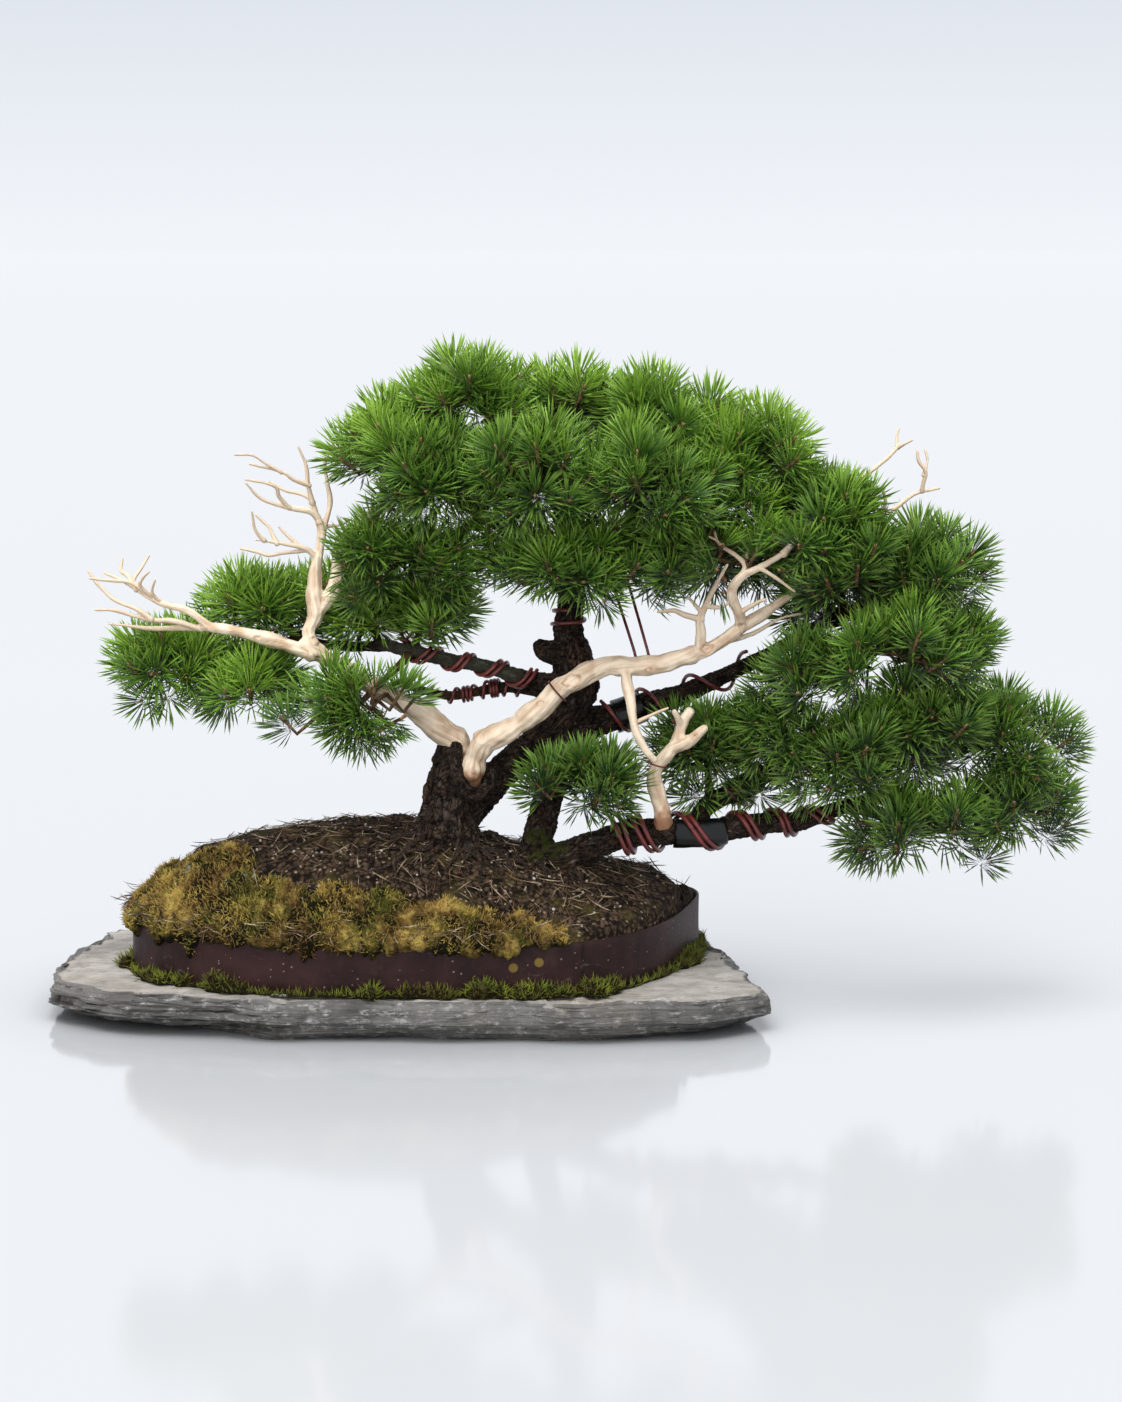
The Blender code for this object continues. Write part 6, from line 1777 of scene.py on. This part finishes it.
def bud_look():
    n = look("buds", 0.55)
    scale = n.cells(n.place(), 900.0)
    n.colour(n.mix(n.ramp(scale["Distance"], [(0.2, 0.0), (0.8, 0.8)]), (0.36, 0.2, 0.1), (0.13, 0.06, 0.03)))
    n.relief(scale["Distance"], 0.6, 0.0006)
    return n.made


def needle_look(deep, mid, bright):
    """Pine needles: deep green to yellow-green with their tone, which holds painted light and shade as well as their
    own colour; greyer at the sheath, partly its own colour and partly painted shade at the tuft's centre; lighter at
    the tip, partly painted light.
    """
    n = look("pine_needles", 0.4, 0.5)
    tone, along = n.value("tone"), n.value("along")
    green = n.ramp(tone, [(0.0, (0.12, 0.07, 0.03)), (0.03, (0.1, 0.09, 0.03)), (0.06, deep), (0.17, deep),
                          (0.56, mid), (1.0, bright)])
    # Lighter towards the tip: partly the needle's own colour, partly painted light.
    tip = n.mix(n.ramp(along, [(0.4, 0.0), (1.0, 0.5)]), green, paler(bright, 1.3, 0.03))
    # Grey-olive at the root: partly the sheath's colour, partly painted shade at the tuft's centre.
    sheath = n.mix(n.ramp(along, [(0.0, 0.9), (0.3, 0.0)]), tip, (0.045, 0.045, 0.015))
    uneven = n.noise(n.place(), 160.0, 3.0)
    n.colour(n.mix(n.times(uneven, 0.35), sheath, scaled(mid, 0.6)))
    n.rough(n.plus(0.28, n.times(uneven, 0.22)))
    return n.made


# Index of refraction of the floor near the slate and beyond it.
NEAR_GLOSS, FAR_GLOSS = 1.62, 1.2


def floor_look(colour, glow):
    """A pale floor: glossiest near the slate, smoothest far off, and darker where something stands close."""
    n = look("floor", 0.09)
    away = n.add("ShaderNodeVectorMath", {0: n.place()}, operation="LENGTH").outputs["Value"]
    rough = n.ranged(away, 1.3, 2.4, 0.09, 0.015)
    patch = n.noise(n.place(), 0.8, 3.0)
    pale = n.mix(n.times(patch, 0.12), colour, scaled(colour, 0.97))
    path = n.add("ShaderNodeLightPath").outputs
    seen = n.larger(path["Is Camera Ray"], path["Is Glossy Ray"])
    close = n.add("ShaderNodeAmbientOcclusion", {"Distance": 0.16}).outputs["AO"]
    lit = n.times(seen, n.ramp(close, [(0.45, 0.0), (1.0, 1.0)]))
    front = n.add("ShaderNodeBsdfPrincipled")
    for sockets, gloss in ((n.shader.inputs, NEAR_GLOSS), (front.inputs, FAR_GLOSS)):
        sockets["IOR"].default_value = gloss
        fresnel = n.add("ShaderNodeFresnel", {"IOR": gloss})
        n.set(sockets["Base Color"], pale)
        n.set(sockets["Roughness"], rough)
        facing = n.minus(1.0, fresnel.outputs[0])
        n.set(sockets["Emission Color"], n.mix(n.times(lit, facing), (0.0, 0.0, 0.0), glow))
        sockets["Emission Strength"].default_value = 1.0
    both = n.add("ShaderNodeMixShader", {0: n.ranged(away, 0.3, 0.5), 1: n.shader.outputs[0],
                                         2: front.outputs[0]}).outputs[0]
    n.set(n.tree.nodes["Material Output"].inputs["Surface"], both)
    return n.made


# Settings ---------------------------------------------------------------------------------------------

def colour_setting(name, description, default):
    return bpy.props.FloatVectorProperty(name=name, description=description, subtype="COLOR", size=3,
                                         min=0.0, max=1.0, default=default)


def length_setting(name, description, default):
    return bpy.props.FloatProperty(name=name, description=description, default=default, min=0.0,
                                   unit="LENGTH", precision=5)


class StageSettings(bpy.types.PropertyGroup):
    floor_colour: colour_setting("Floor", "Colour of the floor", (0.24, 0.245, 0.252))
    floor_glow: bpy.props.FloatProperty(name="Floor glow", description="Light of the floor's own, as a share of "
                                        "the background's", default=0.53, min=0.0, max=1.0, subtype="FACTOR")
    air_colour: colour_setting("Background", "Colour of the background and its light", (0.885, 0.915, 0.96))
    air_strength: bpy.props.FloatProperty(name="Even light", description="Share of the background that lights",
                                          default=0.46, min=0.0, max=1.0, subtype="FACTOR")
    key_power: bpy.props.FloatProperty(name="Main light", description="Strength of the soft light above",
                                       default=2.7, min=0.0)
    floor_radius: length_setting("Floor radius", "How far the floor reaches", 200.0)


class GroundSettings(bpy.types.PropertyGroup):
    slate_light: colour_setting("Slate light", "Colour of the slate's paler parts", (0.125, 0.121, 0.115))
    slate_dark: colour_setting("Slate dark", "Colour of the slate's darker parts", (0.04, 0.039, 0.039))
    strip_colour: colour_setting("Strip", "Colour of the edging strip", (0.023, 0.0095, 0.0095))
    soil_colour: colour_setting("Soil", "Colour of the soil", (0.064, 0.041, 0.027))
    moss_gold: colour_setting("Moss crowns", "Colour of the moss where the sun reaches it", (0.43, 0.3, 0.07))
    moss_green: colour_setting("Moss green", "Colour of the moss lower down", (0.085, 0.1, 0.014))
    moss_brown: colour_setting("Moss brown", "Colour of the moss where it has dried", (0.17, 0.09, 0.03))
    straws: bpy.props.IntProperty(name="Dry needles", description="Dry needles that lie on the soil",
                                  default=1700, min=0)
    rim_straws: bpy.props.IntProperty(name="Rim straws", description="Dry bits that hang over the moss at the rim",
                                      default=520, min=0)
    grit: bpy.props.IntProperty(name="Grit", description="Bits of grit on the soil", default=420, min=0)
    sprouts: bpy.props.IntProperty(name="Moss sprouts", description="Single sprouts that stand on the moss",
                                   default=9000, min=0)


class WoodSettings(bpy.types.PropertyGroup):
    bark_colour: colour_setting("Bark", "Colour of the bark", (0.075, 0.052, 0.039))
    cream: colour_setting("Bare wood", "Colour of the stripped wood", (0.9, 0.745, 0.575))
    stain: colour_setting("Bare wood stain", "Colour of its furrows and thin ends", (0.42, 0.22, 0.09))
    bark_voxel: length_setting("Bark grain size", "Size of the cells that the live wood is joined in", 0.0017)
    bare_voxel: length_setting("Bare wood grain size", "Size of the cells that the bare wood is joined in", 0.0011)
    bark_relief: bpy.props.FloatProperty(name="Bark relief", description="Height of the bark's plates, as a share",
                                         default=1.0, min=0.0, subtype="FACTOR")


class WireSettings(bpy.types.PropertyGroup):
    wire_colour: colour_setting("Wire", "Colour of the wire's coating", (0.13, 0.024, 0.022))
    rubber_colour: colour_setting("Rubber", "Colour of the pads", (0.004, 0.0042, 0.0046))
    sides: bpy.props.IntProperty(name="Wire sides", description="Flat sides round a wire", default=10, min=6)


class NeedleSettings(bpy.types.PropertyGroup):
    length: length_setting("Length", "Length of a full-grown needle", 0.032)
    thickness: length_setting("Thickness", "Half the width of a needle", 0.00125)
    bend: bpy.props.FloatProperty(name="Bend", description="How far a tip bends, as a share of the length",
                                  default=0.05, subtype="FACTOR")
    per_tuft: bpy.props.IntProperty(name="Needles a tuft", description="Needles in a full tuft", default=80, min=1)
    seed: bpy.props.IntProperty(name="Seed", description="Another seed lays the needles otherwise", default=5)
    deep: colour_setting("Deep green", "Colour of needles in the shade", (0.005, 0.022, 0.008))
    mid: colour_setting("Green", "Colour of most needles", (0.046, 0.142, 0.013))
    # The brightest tones are partly new growth and partly painted light on the lit tufts and tips.
    bright: colour_setting("Bright green", "Colour of new needles", (0.27, 0.46, 0.045))


# Operators --------------------------------------------------------------------------------------------

class BONSAI_OT_stage(bpy.types.Operator):
    """Sets the pale floor, the soft light and the camera"""

    bl_idname = "bonsai.stage"
    bl_label = "Stage"

    def execute(self, context):
        settings = context.scene.bonsai_stage
        scene = context.scene
        scene.view_settings.view_transform = "Standard"
        turns = np.linspace(0, math.tau, 96, endpoint=False)
        radius = settings.floor_radius
        mesh = bpy.data.meshes.new("floor")
        mesh.from_pydata([(radius * math.cos(t), radius * math.sin(t), 0.0) for t in turns], [],
                         [tuple(range(len(turns)))])
        glow = scaled(settings.air_colour, settings.floor_glow)
        mesh.materials.append(floor_look(tuple(settings.floor_colour), glow))
        linked("floor", mesh)
        world = bpy.data.worlds.new("studio")
        world.use_nodes = True
        n = Nodes(world.node_tree)
        height = n.add("ShaderNodeSeparateXYZ", {"Vector": n.add("ShaderNodeTexCoord").outputs["Generated"]})
        above = n.ranged(height.outputs["Z"], 0.0, 0.09)
        path = n.add("ShaderNodeLightPath").outputs
        seen = n.larger(path["Is Camera Ray"], path["Is Glossy Ray"])
        air = world.node_tree.nodes["Background"].inputs
        n.set(air["Color"], n.mix(n.times(above, path["Is Camera Ray"]), tuple(settings.air_colour),
                                  tuple(c * k for c, k in zip(settings.air_colour, UPPER_AIR))))
        n.set(air["Strength"], n.plus(settings.air_strength, n.times(seen, 1.0 - settings.air_strength)))
        scene.world = world
        for name, ways, share, spread in LAMPS:
            light = bpy.data.lights.new(name, "SUN")
            light.energy, light.angle = settings.key_power * share, math.radians(spread)
            lamp = linked(name, light)
            lamp.location = (0, -1, 2)
            lamp.rotation_euler = [math.radians(a) for a in ways]
            lamp.visible_glossy = False
        lens = bpy.data.cameras.new("camera")
        lens.sensor_width, lens.lens, lens.clip_end = 36.0, CAMERA_LENS, 1000.0
        camera = linked("camera", lens)
        camera.location = CAMERA_PLACE
        camera.rotation_euler = (CAMERA_TILT, 0, 0)
        scene.camera = camera
        return {"FINISHED"}


class BONSAI_OT_slate(bpy.types.Operator):
    """Makes the layered slate"""

    bl_idname = "bonsai.slate"
    bl_label = "Slate"

    def execute(self, context):
        settings = context.scene.bonsai_ground
        made = slate_look(tuple(settings.slate_light), tuple(settings.slate_dark))
        handed_over("slate", slate_mesh(), made, ["slate_slab"], smooth=False)
        return {"FINISHED"}


class BONSAI_OT_strip(bpy.types.Operator):
    """Makes the edging strip"""

    bl_idname = "bonsai.strip"
    bl_label = "Edging strip"

    def execute(self, context):
        made = strip_look(tuple(context.scene.bonsai_ground.strip_colour))
        handed_over("strip", strip_mesh(), made, ["edging_strip"])
        return {"FINISHED"}


class BONSAI_OT_soil(bpy.types.Operator):
    """Makes the mound of soil with the roots, dry needles and grit on it"""

    bl_idname = "bonsai.soil"
    bl_label = "Soil"

    def execute(self, context):
        settings = context.scene.bonsai_ground
        handed_over("soil", soil_mesh(), soil_look(tuple(settings.soil_colour)), ["soil_mound"])
        chance = np.random.default_rng(12)
        straw = straw_look()
        count = settings.straws
        spot = mound_spots(chance, count, 0.6, -9.0)
        heading = chance.uniform(0, math.tau, count)
        ahead = spot + 6 * np.column_stack([np.cos(heading), np.sin(heading)])
        roots = mound_point(*spot.T) - (0, 0, 0.6)
        ways = unit(mound_point(*ahead.T) - (0, 0, 0.4) - roots + np.array([[0, 0, 0.35]])
                    * chance.random(count)[:, None])
        grown("dry_needles", "blades", "pine_needles", straw,
              (roots, ways, any_side(ways, chance), chance.uniform(0.35, 1.0, count)),
              {"Length": 0.027, "Thickness": 0.0006, "Bend": 0.16, "Segments": 3}, tone=chance.random(count) ** 0.7)
        count = settings.rim_straws
        step = chance.uniform(20.6, 35.2, count)
        spot = ring_point(step, chance.uniform(-16, 3.6, count) * chance.random(count))
        out = ring_point(step, np.full(count, 30.0)) - ring_point(step, np.full(count, 0.0))
        heading = chance.normal(size=count)[:, None] * unit(np.column_stack([-out[:, 1], out[:, 0]])) * 0.9
        ways = unit(np.column_stack([unit(out) * 0.5 + heading, chance.uniform(-0.8, 0.25, count)]))
        roots = np.column_stack([spot, np.maximum(mound_height(*spot.T), BAND_TOP) + chance.uniform(4.5, 8.5, count)])
        grown("rim_straws", "blades", "pine_needles", straw,
              (roots, ways, any_side(ways, chance), chance.uniform(0.3, 1.0, count)),
              {"Length": 0.02, "Thickness": 0.0006, "Bend": 0.3, "Segments": 3}, tone=chance.random(count))
        skin = Skin()
        for x, y, bearing, length, thick in MOUND_ROOTS:
            for _ in range(3):
                t = np.linspace(0, 1, 18)
                turned = bearing + chance.uniform(-0.6, 0.6) + 1.3 * t * np.sin(
                    chance.uniform(3, 8) * t + chance.uniform(0, 6))
                reach = length * chance.uniform(0.55, 1.25) / 18
                line = np.array([x, y]) + chance.uniform(-7, 7, 2) + np.cumsum(
                    np.column_stack([np.cos(turned), np.sin(turned)]), 0) * reach
                radius = thick * chance.uniform(0.4, 0.85) * (1 - 0.7 * t)
                height = mound_height(*line.T) + radius * 0.5 - 0.6 - 2.0 * t**3 + 0.9 * np.sin(9 * t + x)
                skin.add_tube(np.column_stack([line, height, radius]), 6, rounded=False)
        mesh = skin.mesh("surface_roots")
        for key, value in (("flake", 0.6), ("young", 0.0), ("green", 0.0), ("mossy", 0.0)):
            store(mesh, key, np.full(len(mesh.vertices), value))
        store(mesh, "flakes", mesh_points(mesh) / 4)
        handed_over("surface_roots", mesh, bark_look(tuple(context.scene.bonsai_wood.bark_colour)))
        count = settings.grit
        spot = mound_spots(chance, count, 0.5, -8.0)
        ways = unit(chance.normal(size=(count, 3)))
        grown("grit", "grains", "soil", grit_look(),
              (mound_point(*spot.T) + (0, 0, 0.4), ways, any_side(ways, chance),
               chance.uniform(0.4, 1.3, count) ** 1.5),
              {"Radius": 0.0011, "Stretch": 0.7, "Sides": 5, "Rings": 3}, smooth=False, tone=chance.random(count))
        return {"FINISHED"}


class BONSAI_OT_moss(bpy.types.Operator):
    """Makes the cushions of moss on the mound and at the strip's foot"""

    bl_idname = "bonsai.moss"
    bl_label = "Moss"

    def execute(self, context):
        settings = context.scene.bonsai_ground
        colours = [tuple(c) for c in (settings.moss_gold, settings.moss_green, settings.moss_brown)]
        dim = [scaled(colour, k) for colour, k in zip(colours, FOOT_SHARES)]
        fresh = [tuple(c * k for c, k in zip(colours[1], tint)) for tint in FOOT_TINTS]
        mound = handed_over("moss_cushion", mound_moss_mesh(), moss_look("mound_moss", *colours),
                            ["mound_moss"])
        foot = handed_over("moss_foot", foot_moss_mesh(), moss_look("foot_moss", *dim), ["foot_moss"])
        for piece, count, seed, tones, long in ((mound, settings.sprouts, 31, colours, 0.0048),
                                                (foot, settings.sprouts // 2, 32, fresh, 0.0075)):
            made = sprout_look(piece.name + "_sprouts", *tones)
            spots, normals, chance = scattered(piece.data, count, seed, lambda c, way: way[:, 2] > -0.2)
            ways = unit(normals + chance.normal(scale=0.5, size=normals.shape) + (0, 0, 0.35))
            grown(made.name, "blades", "moss", made,
                  (spots - normals * 0.5, ways, any_side(ways, chance), chance.uniform(0.45, 1.2, count)),
                  {"Length": long, "Thickness": 0.0006, "Bend": 0.2, "Root": 1.0, "Segments": 1},
                  tone=chance.random(count))
        return {"FINISHED"}


class BONSAI_OT_live_wood(bpy.types.Operator):
    """Makes the trunks, branches and shoots with their flaking bark"""

    bl_idname = "bonsai.live_wood"
    bl_label = "Live wood"

    def execute(self, context):
        settings = context.scene.bonsai_wood
        mesh = bark_mesh(settings.bark_voxel / MM, settings.bark_relief)
        made = bark_look(tuple(settings.bark_colour))
        handed_over("bark", mesh, made, ["live_wood"])
        return {"FINISHED"}


class BONSAI_OT_dead_wood(bpy.types.Operator):
    """Makes the stripped limbs with their twigs"""

    bl_idname = "bonsai.dead_wood"
    bl_label = "Dead wood"

    def execute(self, context):
        settings = context.scene.bonsai_wood
        made = deadwood_look(tuple(settings.cream), tuple(settings.stain))
        for name, limbs, seed in (("deadwood_left", DEAD_LEFT, 3), ("deadwood_right", DEAD_RIGHT, 8),
                                  ("deadwood_stub", DEAD_STUB, 13)):
            mesh = bare_mesh(name, limbs, settings.bare_voxel / MM, seed, KNOTS[name])
            handed_over(name.replace("deadwood", "bare"), mesh, made, [name])
        return {"FINISHED"}


class BONSAI_OT_wires(bpy.types.Operator):
    """Makes the training wires, their rubber pads, the ties and the guy wires"""

    bl_idname = "bonsai.wires"
    bl_label = "Wires and pads"

    def execute(self, context):
        settings = context.scene.bonsai_wires
        made = wire_look(tuple(settings.wire_colour))
        routes = {}
        for name, (limb, keys, apart, radius) in COILS.items():
            routes[name] = doubled(limb, keys, apart) if apart else coil(limb, keys), radius
        for name, (place, foot) in GUYS.items():
            routes[name] = guy("canopy_right", place, foot, GUY_RADIUS), GUY_RADIUS
        for name, (route, radius) in routes.items():
            mesh = wire_mesh(name, route, radius, settings.sides)
            handed_over(name.replace("wire", "coat"), mesh, made, [name])
        for name, ring in TIES.items():
            handed_over(name.replace("wire", "coat"), tie_mesh(name, *ring), made, [name])
        rubber = rubber_look(tuple(settings.rubber_colour))
        for name, pad in PADS.items():
            handed_over(name.replace("rubber_", ""), pad_mesh(name, *pad), rubber, [name])
        return {"FINISHED"}


class BONSAI_OT_needles(bpy.types.Operator):
    """Grows the sprays of needles with their twigs and buds"""

    bl_idname = "bonsai.needles"
    bl_label = "Needles"

    def execute(self, context):
        settings = context.scene.bonsai_needles
        made = needle_look(tuple(settings.deep), tuple(settings.mid), tuple(settings.bright))
        wood = wood_table()
        chance = np.random.default_rng(settings.seed)
        twigs, buds = Skin(), []
        for mass, sprays in MASSES.items():
            tufts = all_tufts(sprays, chance, wood)
            parts = []
            for spot, axis, size, joint, spray, light in tufts:
                count = int(settings.per_tuft * (1.0 if size == 1.0 else 0.85 if light == 0 else 0.6))
                roots, ways, sizes, bends, uneven = tuft_needles(spot, axis, size, count, chance)
                _, _, centre, radii, _ = SPRAYS[spray]
                # Tufts high in their spray are lighter and low ones darker, and some sprays darker still: painted
                # light and shade.
                height = np.clip((spot[2] - centre[2]) / max(radii[2], 1), -1, 1)
                tone = SHADES[mass] + light + 0.2 * height + chance.normal(scale=0.11)
                tone -= SPRAY_PAINTED_SHADE.get(spray, 0.0)
                tones = np.clip(tone + uneven, 0.06, 1)
                tones[chance.random(count) < BROWN_SHARE] = BROWN_TONE
                parts.append((roots, ways, bends, sizes, tones))
                buds.append((spot + axis * 5, axis, size))
            joined = [np.concatenate(column) for column in zip(*parts)]
            *points, tones = clear_needles(*joined, settings.length / MM, wood)
            grown("needles_" + mass, "blades", "pine_needles", made, points,
                  {"Length": settings.length, "Thickness": settings.thickness, "Bend": settings.bend, "Segments": 2},
                  ["spray_" + spray for spray in sprays], smooth=False, tone=tones)
            twig_skin(twigs, tufts, sprays)
        handed_over("twigs", twigs.mesh("twigs"), twig_look())
        spots, axes, sizes = (np.array(column) for column in zip(*buds))
        grown("buds", "grains", "bark", bud_look(), (spots, axes, any_side(axes, chance), sizes),
              {"Radius": 0.0021, "Stretch": 2.1, "Sides": 4, "Rings": 3})
        return {"FINISHED"}


class BONSAI_PT_panel(bpy.types.Panel):
    """Lists the settings and the steps of the bonsai"""

    bl_idname = "BONSAI_PT_panel"
    bl_label = "Mountain pine bonsai"
    bl_space_type = "VIEW_3D"
    bl_region_type = "UI"
    bl_category = "Bonsai"

    def draw(self, context):
        layout = self.layout
        for title, group in GROUPS.items():
            box = layout.box()
            box.label(text=title)
            settings = getattr(context.scene, group[0])
            for name in group[1].__annotations__:
                box.prop(settings, name)
        for operator in OPERATORS:
            layout.operator(operator.bl_idname)


GROUPS = {
    "Stage": ("bonsai_stage", StageSettings),
    "Ground": ("bonsai_ground", GroundSettings),
    "Wood": ("bonsai_wood", WoodSettings),
    "Wires": ("bonsai_wires", WireSettings),
    "Needles": ("bonsai_needles", NeedleSettings),
}
OPERATORS = (BONSAI_OT_stage, BONSAI_OT_slate, BONSAI_OT_strip, BONSAI_OT_soil, BONSAI_OT_moss,
             BONSAI_OT_live_wood, BONSAI_OT_dead_wood, BONSAI_OT_wires, BONSAI_OT_needles)
TREES = {}


def register():
    for name, group in GROUPS.values():
        bpy.utils.register_class(group)
        setattr(bpy.types.Scene, name, bpy.props.PointerProperty(type=group))
    for operator in OPERATORS:
        bpy.utils.register_class(operator)
    bpy.utils.register_class(BONSAI_PT_panel)


def unregister():
    bpy.utils.unregister_class(BONSAI_PT_panel)
    for operator in reversed(OPERATORS):
        bpy.utils.unregister_class(operator)
    for name, group in GROUPS.values():
        delattr(bpy.types.Scene, name)
        bpy.utils.unregister_class(group)


def main():
    register()
    TREES["blades"] = point_tree("Blades", BLADE_INPUTS, blade)
    TREES["grains"] = point_tree("Grains", GRAIN_INPUTS, grain)
    for operator in OPERATORS:
        family, step = operator.bl_idname.split(".")
        getattr(getattr(bpy.ops, family), step)()


if __name__ == "__main__":
    main()
